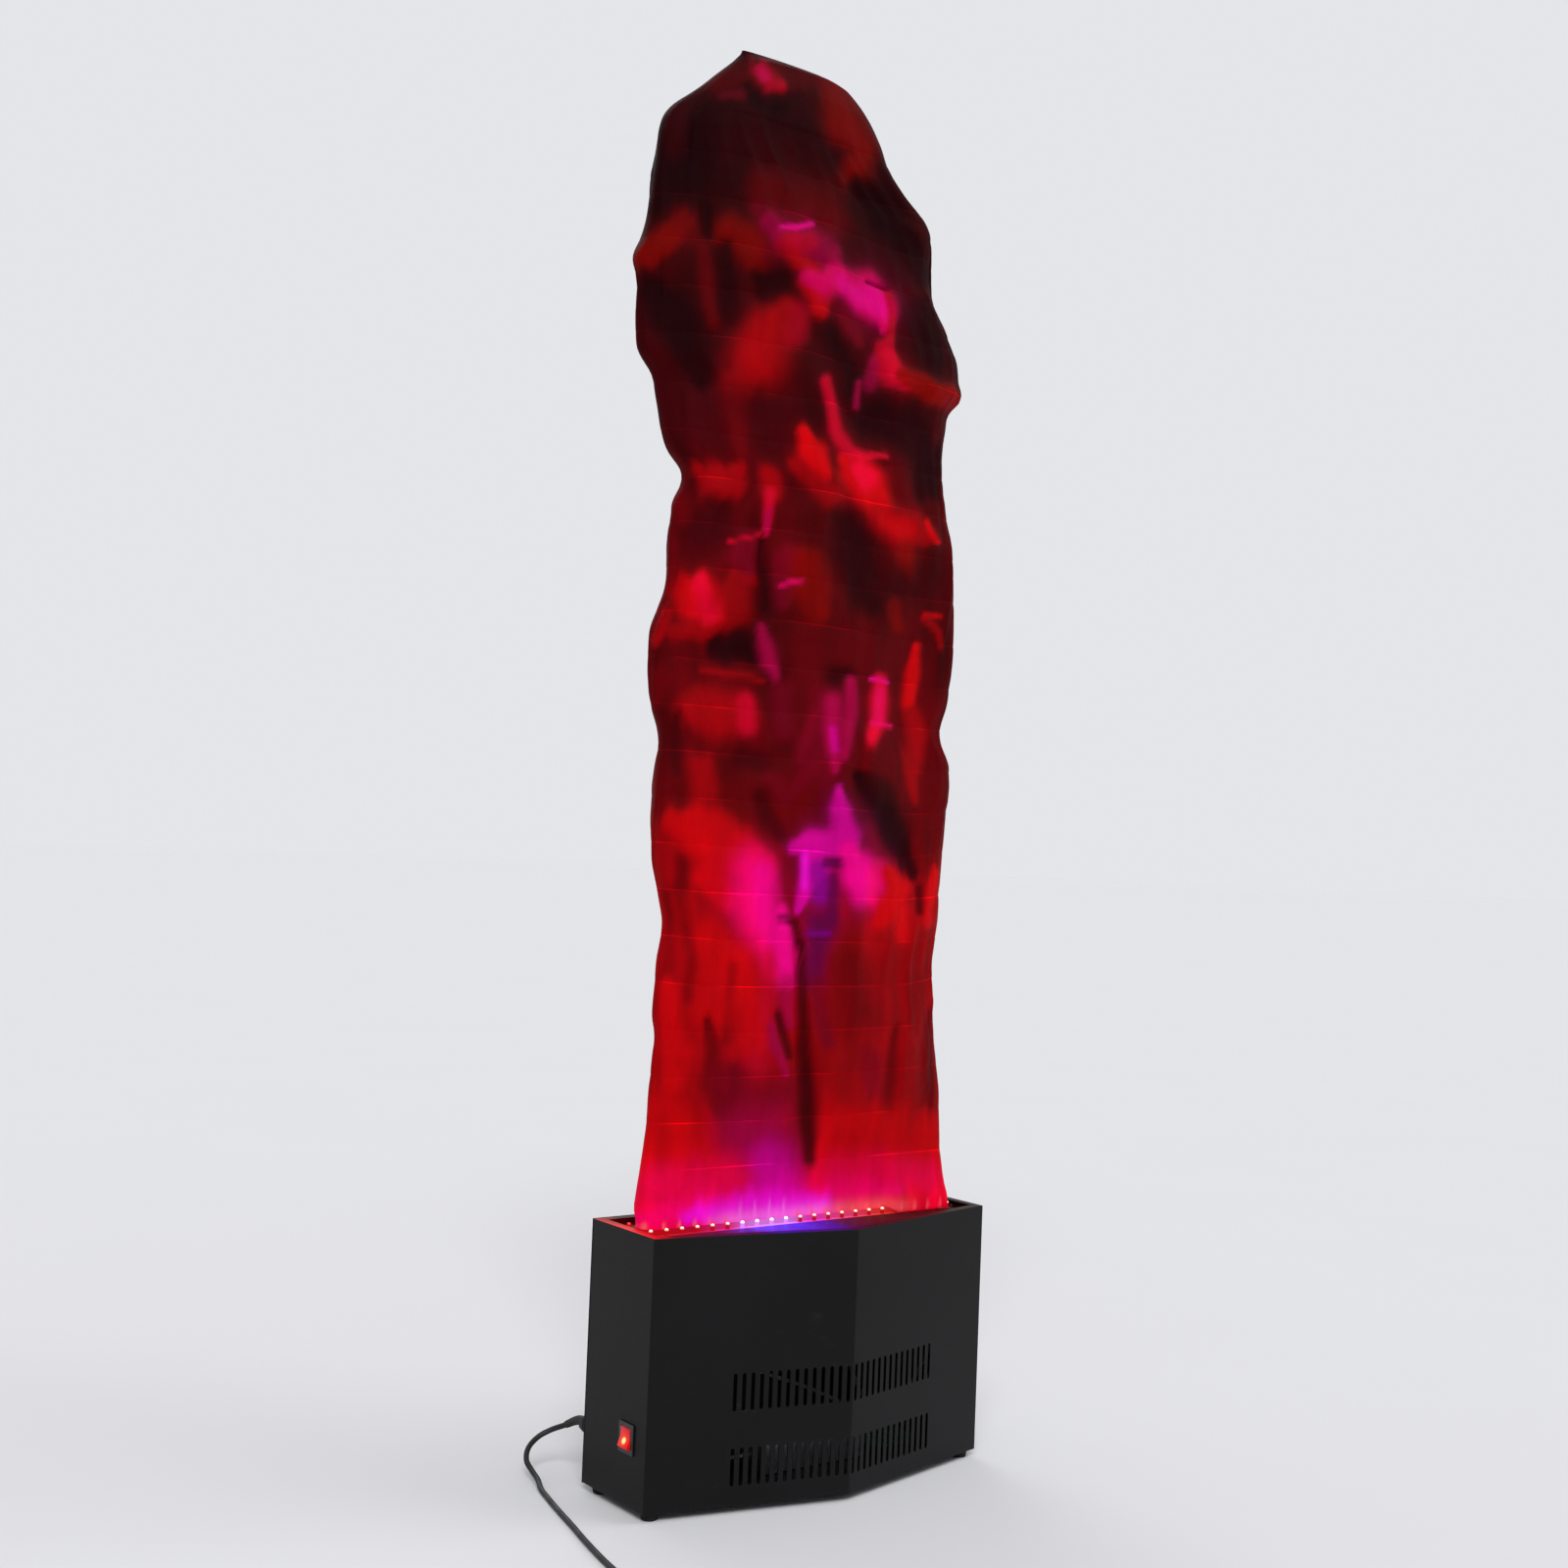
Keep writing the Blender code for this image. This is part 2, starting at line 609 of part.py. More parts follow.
def make_tray(name, bottom_z, lip_height, finish):
    """A level sheet inside the housing with its edge turned up against the walls."""
    bm = bmesh.new()
    prism(bm, footprint(SHELL_BACK, TRAY_BACK), bottom_z, bottom_z + lip_height)
    tray = piece(name, bm, finish)
    bm = bmesh.new()
    prism(bm, footprint(SHELL_BACK + SHEET, TRAY_BACK + SHEET), bottom_z + SHEET, bottom_z + lip_height + SHEET)
    cut(tray, bm, "hollow")
    return tray


def make_top_plate():
    plate = make_tray("top_plate", PLATE_UNDER_Z, TOP_Z - SHEET - GAP - PLATE_UNDER_Z, "black_paint")
    bm = bmesh.new()
    slot = rectangle(SLOT_LENGTH / 2, SLOT_DEPTH / 2, (0.0, SLOT_Y))
    prism(bm, slot, PLATE_UNDER_Z - SHEET, PLATE_TOP_Z + SHEET)
    for x, y in collar_screw_places():
        rod(bm, SCREW_RADIUS + GAP, (x, y, PLATE_UNDER_Z - SHEET), (x, y, PLATE_TOP_Z + SHEET), SCREW_SIDES)
    cut(plate, bm, "slot")


def make_fan_deck():
    deck = make_tray("fan_deck", DECK_Z, TRAY_LIP, "zinc_sheet")
    bm = bmesh.new()
    for x in FAN_XS:
        rod(bm, FAN_BORE_RADIUS, (x, FAN_Y, DECK_Z - SHEET), (x, FAN_Y, DECK_TOP_Z + SHEET), BORE_SIDES)
    for x, y in fan_screw_places():
        rod(bm, SCREW_RADIUS + GAP, (x, y, DECK_Z - SHEET), (x, y, DECK_TOP_Z + SHEET), SCREW_SIDES)
    rod(bm, LED_LEAD_HOLE_RADIUS, (LED_LEAD_X, FAN_Y, DECK_Z - SHEET), (LED_LEAD_X, FAN_Y, DECK_TOP_Z + SHEET), 12)
    cut(deck, bm, "holes")


def fan_screw_places():
    """Two opposite corners of each fan."""
    half = FAN_SCREW_SPACING / 2
    return [(x + side * half, FAN_Y + side * half) for x in FAN_XS for side in (-1, 1)]


def make_air_duct():
    """Sheet hopper with turned-out flanges, from the three fans up to the collar's mouth."""
    low_z = DECK_TOP_Z + GAP
    high_z = FLANGE_UNDER_Z - GAP
    low_x = (FANS - 1) / 2 * FAN_PITCH + FAN_SIZE / 2 + DUCT_MARGIN
    low_y = FAN_SIZE / 2 + DUCT_MARGIN
    high_x = MOUTH_LENGTH / 2 - COLLAR_SHEET
    high_y = MOUTH_DEPTH / 2 - COLLAR_SHEET
    sections = []
    for grow, rise in ((0.0, 0.0), (DUCT_FLANGE, 0.0), (DUCT_FLANGE, DUCT_SHEET), (DUCT_SHEET, DUCT_SHEET)):
        sections.append((low_x + grow, low_y + grow, FAN_Y, low_z + rise))
    for grow, drop in ((DUCT_SHEET, DUCT_SHEET), (DUCT_FLANGE, DUCT_SHEET), (DUCT_FLANGE, 0.0), (0.0, 0.0)):
        sections.append((high_x + grow, high_y + grow, SLOT_Y, high_z - drop))
    bm = bmesh.new()
    rings = [[(x, y, z) for x, y in rectangle(a, b, (0.0, c))] for a, b, c, z in sections]
    loft(bm, rings + rings[:1])
    bmesh.ops.remove_doubles(bm, verts=bm.verts, dist=GAP / 10)
    piece("air_duct", bm, "zinc_sheet")


def loft(bm, rings, cap=False):
    """Joins rings of as many points each with four-sided faces."""
    made = [[bm.verts.new(point) for point in ring] for ring in rings]
    for below, above in zip(made, made[1:]):
        for i in range(len(below)):
            j = (i + 1) % len(below)
            bm.faces.new((below[i], below[j], above[j], above[i]))
    if cap:
        bm.faces.new(made[-1])


def mouth(offset):
    """The mouth's outline, moved out from the collar's neck by the offset."""
    outline = stadium(MOUTH_LENGTH + 2 * offset, MOUTH_DEPTH + 2 * offset, MOUTH_STEPS)
    return [(x, y + SLOT_Y) for x, y in outline]


def make_silk_collar():
    bm = bmesh.new()
    prism(bm, rectangle(COLLAR_HALF_X, COLLAR_HALF_Y, (0.0, SLOT_Y)), FLANGE_UNDER_Z, FLANGE_TOP_Z)
    collar = piece("silk_collar", bm, "zinc_sheet")
    bm = bmesh.new()
    prism(bm, mouth(0.0), FLANGE_UNDER_Z + COLLAR_SHEET / 2, COLLAR_TOP_Z)
    join(collar, bm, "neck")
    bm = bmesh.new()
    prism(bm, mouth(-COLLAR_SHEET), FLANGE_UNDER_Z - SHEET, COLLAR_TOP_Z + SHEET)
    for x, y in collar_screw_places():
        rod(bm, SCREW_RADIUS + GAP, (x, y, FLANGE_UNDER_Z - SHEET), (x, y, FLANGE_TOP_Z + SHEET), SCREW_SIDES)
    cut(collar, bm, "throat")


def make_silk_band():
    inner = HEM_OFFSET + GAP
    bm = bmesh.new()
    prism(bm, mouth(BAND_OFFSET), HEM_Z, HEM_Z + BAND_HEIGHT)
    band = piece("silk_band", bm, "hem_tape")
    bm = bmesh.new()
    prism(bm, mouth(inner), HEM_Z - SHEET, HEM_Z + BAND_HEIGHT + SHEET)
    cut(band, bm, "hole")


def fold_offset(angle, height):
    """How far the folds push the silk out or in at an angle round it and a height."""
    depth = FOLD_DEPTH * smoothstep((height - FOLD_START) / (FOLD_FULL - FOLD_START))
    waves = 0.0
    for count, drift, phase, share in SILK_FOLDS:
        waves += share * math.sin(count * angle + 2 * math.pi * (drift * height + phase))
    return depth * waves


def silk_ring(height):
    """One level of the flame: the mouth's outline at the hem, a folded oval higher up."""
    hem = stadium(MOUTH_LENGTH + 2 * HEM_OFFSET, MOUTH_DEPTH + 2 * HEM_OFFSET, MOUTH_STEPS, SILK_SIDE_STEPS)
    along = path_distances(hem + hem[:1])
    table = np.array(SILK_STATIONS)
    growth, half_y, shift_x, shift_y = (np.interp(height, table[:, 0], table[:, k]) for k in range(1, 5))
    half_x = MOUTH_LENGTH / 2 + growth
    blend = smoothstep(height / SILK_MORPH_HEIGHT)
    start = along[MOUTH_STEPS // 2] / along[-1]
    ring = []
    for i, (x, y) in enumerate(hem):
        angle = 2 * math.pi * (along[i] / along[-1] - start)
        out = Vector((math.cos(angle) / half_x, math.sin(angle) / half_y)).normalized()
        push = fold_offset(angle, height)
        oval_x = half_x * math.cos(angle) + out.x * push
        oval_y = half_y * math.sin(angle) + out.y * push
        ring.append((
            x + (oval_x - x) * blend + shift_x * blend,
            y + (oval_y - y) * blend + shift_y * blend + SLOT_Y,
            TOP_Z + height,
        ))
    return ring


def make_flame_silk():
    """The blown-up bag: open at the hem, closed at its tip, one thin wall."""
    neck_height = COLLAR_TOP_Z - TOP_Z + GAP
    top = SILK_STATIONS[-1][0]
    hem = silk_ring(0.0)
    rings = [[(x, y, HEM_Z) for x, y, _ in hem], [(x, y, TOP_Z + neck_height) for x, y, _ in hem]]
    for i in range(1, SILK_RINGS + 1):
        rise = math.sin(math.pi / 2 * i / SILK_RINGS)
        rings.append(silk_ring(neck_height + (top - neck_height) * rise))
    bm = bmesh.new()
    loft(bm, rings, cap=True)
    silk = piece("flame_silk", bm, "silk", turn_out=False)
    wall = silk.modifiers.new("cloth", "SOLIDIFY")
    wall.thickness = SILK_THICKNESS
    wall.offset = -1.0


def make_light_board(name, side):
    """A strip of upward lights on the collar's flange, in front of or behind the silk."""
    y = SLOT_Y + side * (MOUTH_DEPTH / 2 + BAND_OFFSET + GAP + BOARD_DEPTH / 2)
    half_x = (LIGHTS - 1) / 2 * LIGHT_PITCH + 2 * LIGHT_RADIUS
    low = FLANGE_TOP_Z + GAP
    top = low + BOARD_THICKNESS
    bm = bmesh.new()
    box(bm, (-half_x, y - BOARD_DEPTH / 2, low), (half_x, y + BOARD_DEPTH / 2, top))
    board = piece(name, bm, "light_board")
    bm = bmesh.new()
    for i in range(LIGHTS):
        x = (i - (LIGHTS - 1) / 2) * LIGHT_PITCH
        rod(bm, LIGHT_RADIUS, (x, y, top - BOARD_THICKNESS / 2), (x, y, top + LIGHT_HEIGHT), 6, 0.6 * LIGHT_RADIUS)
    join(board, bm, "lights")


def rounded_square(size, corner, steps=3):
    points = []
    for quarter in range(4):
        turn = math.pi / 2 * quarter
        centre = Vector((size / 2 - corner, size / 2 - corner))
        centre.rotate(Matrix.Rotation(turn, 2))
        for i in range(steps + 1):
            angle = turn + math.pi / 2 * i / steps
            points.append((centre.x + corner * math.cos(angle), centre.y + corner * math.sin(angle)))
    return points


def make_fan_frames():
    bm = bmesh.new()
    prism(bm, rounded_square(FAN_SIZE, FAN_CORNER), 0.0, FAN_HEIGHT)
    frame = piece("fan_frame", bm, "fan_black")
    bm = bmesh.new()
    rod(bm, FAN_BORE_RADIUS, (0, 0, -SHEET), (0, 0, FAN_HEIGHT + SHEET), BORE_SIDES)
    half = FAN_SCREW_SPACING / 2
    for x in (-half, half):
        for y in (-half, half):
            rod(bm, FAN_SCREW_HOLE_RADIUS, (x, y, -SHEET), (x, y, FAN_HEIGHT + SHEET), SCREW_SIDES)
    cut(frame, bm, "bore")
    bm = bmesh.new()
    rod(bm, MOTOR_RADIUS, (0, 0, 0), (0, 0, MOTOR_HEIGHT), 20)
    reach = FAN_BORE_RADIUS + SHEET
    for turn in (45, 135):
        arm = bmesh.new()
        box(arm, (-reach, -STRUT_WIDTH / 2, 0), (reach, STRUT_WIDTH / 2, MOTOR_HEIGHT))
        bmesh.ops.rotate(arm, verts=arm.verts, matrix=Matrix.Rotation(math.radians(turn), 3, "Z"))
        strut = bpy.data.meshes.new("strut")
        arm.to_mesh(strut)
        arm.free()
        bm.from_mesh(strut)
    join(frame, bm, "struts", crossing=True)
    bm = bmesh.new()
    rod(bm, SHAFT_RADIUS + GAP, (0, 0, -SHEET), (0, 0, MOTOR_HEIGHT + SHEET), 12)
    cut(frame, bm, "bearing")
    mesh = baked(frame)
    for i, x in enumerate(FAN_XS):
        piece(f"fan_frame_{i + 1}", mesh, None, (x, FAN_Y, FAN_BASE_Z))


def make_fan_rotors():
    """Each rotor's own origin is on its axis, at the bottom face of the fan."""
    hub_low = MOTOR_HEIGHT + 2 * GAP
    hub_high = hub_low + HUB_HEIGHT
    bm = bmesh.new()
    rod(bm, HUB_RADIUS, (0, 0, hub_low), (0, 0, hub_high), 20)
    rotor = piece("fan_rotor", bm, "fan_black")
    bm = bmesh.new()
    rod(bm, SHAFT_RADIUS, (0, 0, GAP), (0, 0, hub_low + HUB_HEIGHT / 2), 12)
    join(rotor, bm, "shaft")
    for i in range(BLADES):
        join(rotor, blade(i * 2 * math.pi / BLADES, (hub_low + hub_high) / 2), f"blade_{i}")
    mesh = baked(rotor)
    for i, x in enumerate(FAN_XS):
        piece(f"fan_rotor_{i + 1}", mesh, None, (x, FAN_Y, FAN_BASE_Z))


def blade(turn, middle_z):
    """One pitched blade, thick across its chord, rooted inside the hub."""
    steps = 3
    bm = bmesh.new()
    rows = []
    for side in (-1, 1):
        for radius in (HUB_RADIUS - 2 * BLADE_THICKNESS, BLADE_RADIUS):
            row = []
            for i in range(steps + 1):
                share = i / steps - 0.5
                angle = turn + share * BLADE_SWEEP
                lift = middle_z + share * BLADE_RISE + side * BLADE_THICKNESS / 2
                row.append(bm.verts.new((radius * math.cos(angle), radius * math.sin(angle), lift)))
            rows.append(row)
    under_root, under_tip, over_root, over_tip = rows
    for i in range(steps):
        for a, b in ((under_root, under_tip), (under_tip, over_tip), (over_tip, over_root), (over_root, under_root)):
            bm.faces.new((a[i], a[i + 1], b[i + 1], b[i]))
    for i in (0, steps):
        bm.faces.new((under_root[i], under_tip[i], over_tip[i], over_root[i]))
    return bm


def make_power_supply():
    bm = bmesh.new()
    box(
        bm,
        (SUPPLY_X - SUPPLY_LENGTH / 2, SUPPLY_Y - SUPPLY_DEPTH / 2, SUPPLY_Z),
        (SUPPLY_X + SUPPLY_LENGTH / 2, SUPPLY_Y + SUPPLY_DEPTH / 2, SUPPLY_Z + SUPPLY_HEIGHT),
    )
    bmesh.ops.bevel(bm, geom=bm.edges[:], offset=BEND_RADIUS, segments=1, affect="EDGES")
    piece("power_supply", bm, "zinc_sheet")


def make_control_board():
    bm = bmesh.new()
    half_x, half_y = CONTROL_LENGTH / 2, CONTROL_DEPTH / 2
    top = CONTROL_Z + BOARD_THICKNESS
    box(bm, (CONTROL_X - half_x, CONTROL_Y - half_y, CONTROL_Z), (CONTROL_X + half_x, CONTROL_Y + half_y, top))
    board = piece("control_board", bm, "board_green")
    bm = bmesh.new()
    half_header = HEADER_LENGTH / 2
    box(
        bm,
        (CONTROL_X - half_header, HEADER_Y - HEADER_DEPTH / 2, top - BOARD_THICKNESS / 2),
        (CONTROL_X + half_header, HEADER_Y + HEADER_DEPTH / 2, HEADER_TOP_Z),
    )
    box(
        bm,
        (CONTROL_X - half_y / 2, CONTROL_Y - half_y / 2, top - BOARD_THICKNESS / 2),
        (CONTROL_X + half_y / 2, CONTROL_Y, top + BOARD_THICKNESS),
    )
    join(board, bm, "components")


def pin_places():
    """Contacts of the mains connector, upright: two on one side of the centre line and one on the other."""
    return [
        (INLET_X - PIN_OFFSET, INLET_Z - PIN_SPACING),
        (INLET_X - PIN_OFFSET, INLET_Z + PIN_SPACING),
        (INLET_X + PIN_OFFSET, INLET_Z),
    ]


def make_mains_inlet():
    x0, x1, z0, z1 = inlet_box()
    rim = INLET_FLANGE_RIM
    face = BACK_Y + GAP + INLET_FLANGE_THICKNESS
    bm = bmesh.new()
    box(bm, (x0 - rim, BACK_Y + GAP, z0 - rim), (x1 + rim, face, z1 + rim))
    inlet = piece("mains_inlet", bm, "black_nylon")
    bm = bmesh.new()
    box(bm, (x0, face - SOCKET_DEPTH - INLET_BACK, z0), (x1, BACK_Y + INLET_FLANGE_THICKNESS / 2, z1))
    join(inlet, bm, "body")
    bm = bmesh.new()
    half_x, half_z = SOCKET_WIDTH / 2, SOCKET_HEIGHT / 2
    box(bm, (INLET_X - half_x, face - SOCKET_DEPTH, INLET_Z - half_z), (INLET_X + half_x, face + SHEET, INLET_Z + half_z))
    fuse_x0, fuse_x1, fuse_z0, fuse_z1 = fuse_box()
    box(
        bm,
        (fuse_x0 - GAP, face - FUSE_DEPTH - GAP, fuse_z0 - GAP),
        (fuse_x1 + GAP, face + SHEET, fuse_z1 + GAP),
    )
    cut(inlet, bm, "recesses")
    bm = bmesh.new()
    for x, z in pin_places():
        box(
            bm,
            (x - PIN_WIDTH / 2, face - SOCKET_DEPTH - INLET_BACK / 2, z - PIN_HEIGHT / 2),
            (x + PIN_WIDTH / 2, face - SOCKET_DEPTH + PIN_LENGTH, z + PIN_HEIGHT / 2),
        )
    join(inlet, bm, "pins")


def fuse_box():
    """Low and high X and Z of the fuse drawer, beside the socket."""
    x0 = INLET_X + SOCKET_WIDTH / 2 + INLET_WALL + GAP
    half = SOCKET_HEIGHT / 2 - INLET_WALL
    return x0, x0 + FUSE_WIDTH, INLET_Z - half, INLET_Z + half


def make_fuse_drawer():
    x0, x1, z0, z1 = fuse_box()
    face = BACK_Y + GAP + INLET_FLANGE_THICKNESS
    bm = bmesh.new()
    box(bm, (x0, face - FUSE_DEPTH, z0), (x1, face + FUSE_LIP, z1))
    drawer = piece("fuse_drawer", bm, "black_nylon")
    bm = bmesh.new()
    wall = FUSE_LIP
    box(bm, (x0 + wall, face - FUSE_DEPTH + wall, z0 + wall), (x1 + wall, face - wall, z1 - wall))
    cut(drawer, bm, "fuse_space")


def make_switch_body():
    y0, y1, z0, z1 = switch_box()
    bezel_x = SWITCH_X - GAP - BEZEL_THICKNESS
    bm = bmesh.new()
    box(bm, (bezel_x, y0 - BEZEL_RIM, z0 - BEZEL_RIM), (SWITCH_X - GAP, y1 + BEZEL_RIM, z1 + BEZEL_RIM))
    bmesh.ops.bevel(bm, geom=bm.edges[:], offset=BEZEL_THICKNESS / 4, segments=1, affect="EDGES")
    body = piece("switch_body", bm, "black_nylon")
    bm = bmesh.new()
    box(bm, (SWITCH_X - GAP - BEZEL_THICKNESS / 2, y0, z0), (SWITCH_X + SWITCH_DEPTH, y1, z1))
    join(body, bm, "case")
    wall = SWITCH_WALL
    bm = bmesh.new()
    box(bm, (bezel_x - SHEET, y0 + wall, z0 + wall), (SWITCH_X + ROCKER_REAR, y1 - wall, z1 - wall))
    reach = ROCKER_WIDTH / 2 + PIVOT_LENGTH + GAP
    start, end = (SWITCH_X, SWITCH_Y - reach, SWITCH_Z), (SWITCH_X, SWITCH_Y + reach, SWITCH_Z)
    rod(bm, PIVOT_RADIUS + GAP, start, end, 12)
    cut(body, bm, "well", crossing=True)


def make_switch_rocker():
    """The lit rocker, at rest pressed in at the top; its origin is on its pivot."""
    outline = [(ROCKER_BACK, ROCKER_REACH * 0.98), (0.0, ROCKER_REACH), (-ROCKER_FACE, ROCKER_REACH * 0.97)]
    crest = ROCKER_FACE + ROCKER_REACH * 0.90 * math.tan(ROCKER_TILT)
    outline.append((-crest, ROCKER_REACH * 0.90))
    outline.append((-ROCKER_FACE, 0.0))
    outline += [(x, -z) for x, z in reversed(outline[:-1])]
    bm = bmesh.new()
    prism(bm, outline, -ROCKER_WIDTH / 2, ROCKER_WIDTH / 2, "Y")
    rocker = piece("switch_rocker", bm, "rocker_red", (SWITCH_X, SWITCH_Y, SWITCH_Z))
    bm = bmesh.new()
    reach = ROCKER_WIDTH / 2 + PIVOT_LENGTH
    rod(bm, PIVOT_RADIUS, (0, -reach, 0), (0, reach, 0), 12)
    join(rocker, bm, "pivot")
    mesh = baked(rocker)
    rocker = piece("switch_rocker", mesh, None, (SWITCH_X, SWITCH_Y, SWITCH_Z))
    rocker.rotation_euler = (0.0, ROCKER_TILT, 0.0)


def make_feet():
    bm = bmesh.new()
    rod(bm, FOOT_RADIUS * 0.9, (0, 0, 0), (0, 0, FOOT_HEIGHT - GAP), 16, FOOT_RADIUS)
    foot = piece("foot", bm, "foot_rubber")
    bm = bmesh.new()
    rod(bm, SCREW_RADIUS + GAP, (0, 0, -SHEET), (0, 0, FOOT_HEIGHT + SHEET), SCREW_SIDES)
    cut(foot, bm, "hole")
    bm = bmesh.new()
    rod(bm, SCREW_HEAD_RADIUS + GAP, (0, 0, -SHEET), (0, 0, FOOT_RECESS), SCREW_SIDES)
    cut(foot, bm, "recess")
    mesh = baked(foot)
    for i, (x, y) in enumerate(foot_places()):
        piece(f"foot_{i + 1}", mesh, None, (x, y, 0.0))


def screw_mesh(name, grip):
    """A screw that points down, its head's seat at its own origin."""
    bm = bmesh.new()
    rod(bm, SCREW_HEAD_RADIUS, (0, 0, GAP), (0, 0, GAP + SCREW_HEAD_HEIGHT), SCREW_SIDES, SCREW_HEAD_RADIUS * 0.7)
    screw = piece(name, bm, "screw_black")
    bm = bmesh.new()
    rod(bm, SCREW_RADIUS, (0, 0, -grip), (0, 0, GAP + SCREW_HEAD_HEIGHT / 2), SCREW_SIDES)
    join(screw, bm, "shank")
    return baked(screw)


def make_screws():
    foot_grip = FLOOR_TOP_Z - FOOT_RECESS + SCREW_GRIP
    mesh = screw_mesh("foot_screw", foot_grip)
    for i, (x, y) in enumerate(foot_places()):
        piece(f"foot_screw_{i + 1}", mesh, None, (x, y, FOOT_RECESS)).rotation_euler = (math.pi, 0, 0)
    mesh = screw_mesh("back_screw", TRAY_BACK + SCREW_GRIP - GAP)
    for i, (x, z) in enumerate(back_screw_places()):
        piece(f"back_screw_{i + 1}", mesh, None, (x, BACK_Y, z)).rotation_euler = (-math.pi / 2, 0, 0)
    mesh = screw_mesh("collar_screw", SHEET + GAP + COLLAR_SHEET + SCREW_GRIP)
    for i, (x, y) in enumerate(collar_screw_places()):
        piece(f"collar_screw_{i + 1}", mesh, None, (x, y, PLATE_TOP_Z))
    mesh = screw_mesh("fan_screw", SHEET + SCREW_GRIP + FAN_HEIGHT / 2)
    for i, (x, y) in enumerate(fan_screw_places()):
        piece(f"fan_screw_{i + 1}", mesh, None, (x, y, DECK_TOP_Z))


def make_leads():
    """Wires inside the housing, each from face to face with the usual gap at its ends."""
    step = 6 * LEAD_RADIUS
    inlet_rear = BACK_Y + INLET_FLANGE_THICKNESS - SOCKET_DEPTH - INLET_BACK
    switch_rear = SWITCH_X + SWITCH_DEPTH + GAP
    supply_left = SUPPLY_X - SUPPLY_LENGTH / 2 - GAP
    supply_right = SUPPLY_X + SUPPLY_LENGTH / 2 + GAP
    header_end = CONTROL_X - HEADER_LENGTH / 2 - GAP
    supply_z = SUPPLY_Z + SUPPLY_HEIGHT / 2
    header_z = HEADER_TOP_Z - HEADER_HEIGHT / 2
    upper, lower = SWITCH_Z + 2 * LEAD_RADIUS, SWITCH_Z - 2 * LEAD_RADIUS
    routes = {
        "inlet_lead": [
            (INLET_X, inlet_rear, INLET_Z), (INLET_X, inlet_rear - 0.012, INLET_Z),
            (INLET_X + 0.022, SLOT_Y, INLET_Z + 0.003),
            (switch_rear + 0.012, SWITCH_Y, upper), (switch_rear, SWITCH_Y, upper),
        ],
        "switch_lead": [
            (switch_rear, SWITCH_Y, lower), (switch_rear + 0.014, SWITCH_Y, lower),
            (switch_rear + 0.075, SWITCH_Y + 0.012, supply_z + 0.012),
            (supply_left - 0.020, SUPPLY_Y - 0.010, supply_z), (supply_left, SUPPLY_Y - 0.010, supply_z),
        ],
        "supply_lead": [
            (supply_right, HEADER_Y, supply_z), (supply_right + 0.008, HEADER_Y, supply_z),
            (header_end - 0.008, HEADER_Y, header_z), (header_end, HEADER_Y, header_z),
        ],
    }
    for i, x in enumerate(FAN_XS):
        start_x, start_y = x + FAN_SIZE / 2 - 0.012, FAN_Y - FAN_SIZE / 2 + 0.012
        end_x = CONTROL_X + (i - 1.5) * HEADER_LENGTH / 4
        rest_z = HEADER_TOP_Z + 0.030 + 0.012 * (FANS - i)
        routes[f"fan_lead_{i + 1}"] = [
            (start_x, start_y, FAN_BASE_Z - GAP), (start_x, start_y, FAN_BASE_Z - 0.014),
            ((start_x + end_x) / 2, (start_y + HEADER_Y) / 2, rest_z + 0.010),
            (end_x, HEADER_Y, HEADER_TOP_Z + 0.016), (end_x, HEADER_Y, HEADER_TOP_Z + GAP),
        ]
    end_x = CONTROL_X + 1.6 * HEADER_LENGTH / 4
    routes["led_lead"] = [
        (end_x, HEADER_Y, HEADER_TOP_Z + GAP), (end_x, HEADER_Y, HEADER_TOP_Z + 0.014),
        (LED_LEAD_X - 0.010, FAN_Y + 0.010, HEADER_TOP_Z + 0.060),
        (LED_LEAD_X, FAN_Y, FAN_BASE_Z - 0.020), (LED_LEAD_X, FAN_Y, DECK_TOP_Z + 0.020),
        (LED_LEAD_X, SLOT_Y, FLANGE_UNDER_Z - 0.020), (LED_LEAD_X, SLOT_Y, FLANGE_UNDER_Z - GAP),
    ]
    for name, knots in routes.items():
        knots = [Vector(k) for k in knots]
        points = straight_ends(smooth_path(knots, step), knots[1] - knots[0], knots[-1] - knots[-2])
        tube(name, points, 2 * LEAD_RADIUS, "lead_grey")


def connector_face():
    return BACK_Y + GAP + INLET_FLANGE_THICKNESS


def cord_route():
    """The free cord from the connector's body to the coil, as one smooth curve."""
    start = Vector((INLET_X, connector_face() + GAP + PLUG_BODY_LENGTH, INLET_Z))
    straight = Vector((0.0, CORD_DIAMETER, 0.0))
    coil_start = Vector((COIL_CENTRE[0] + COIL_OUTER_RADIUS, COIL_CENTRE[1] + GAP, COIL_LOW_Z)) + straight
    knots = [start, start + straight, *CORD_KNOTS, coil_start + 2 * straight, coil_start + straight, coil_start]
    return smooth_path(knots, CORD_STEP / 4)


def stretch_of(route, start, end, count):
    """Evenly spaced points of the route between two distances along it."""
    along = path_distances(route)
    spots = np.linspace(start, end, count)
    return np.column_stack([np.interp(spots, along, route[:, k]) for k in range(3)])


def boot_heading(boot):
    return Vector(boot[-1] - boot[-2]).normalized()


def make_cord_free(route):
    boot = stretch_of(route, 0.0, BOOT_LENGTH, BOOT_STEPS + 1)
    heading = boot_heading(boot)
    end = path_distances(route)[-1]
    start = BOOT_LENGTH + CORD_STEP
    points = stretch_of(route, start, end, round((end - start) / CORD_STEP) + 1)
    first = Vector(boot[-1]) + heading * GAP
    points = np.vstack([first, first + heading * CORD_DIAMETER, points])
    tube("cord_free", straight_ends(points, heading, Vector((0.0, -1.0, 0.0))), CORD_DIAMETER, "cord_pvc")


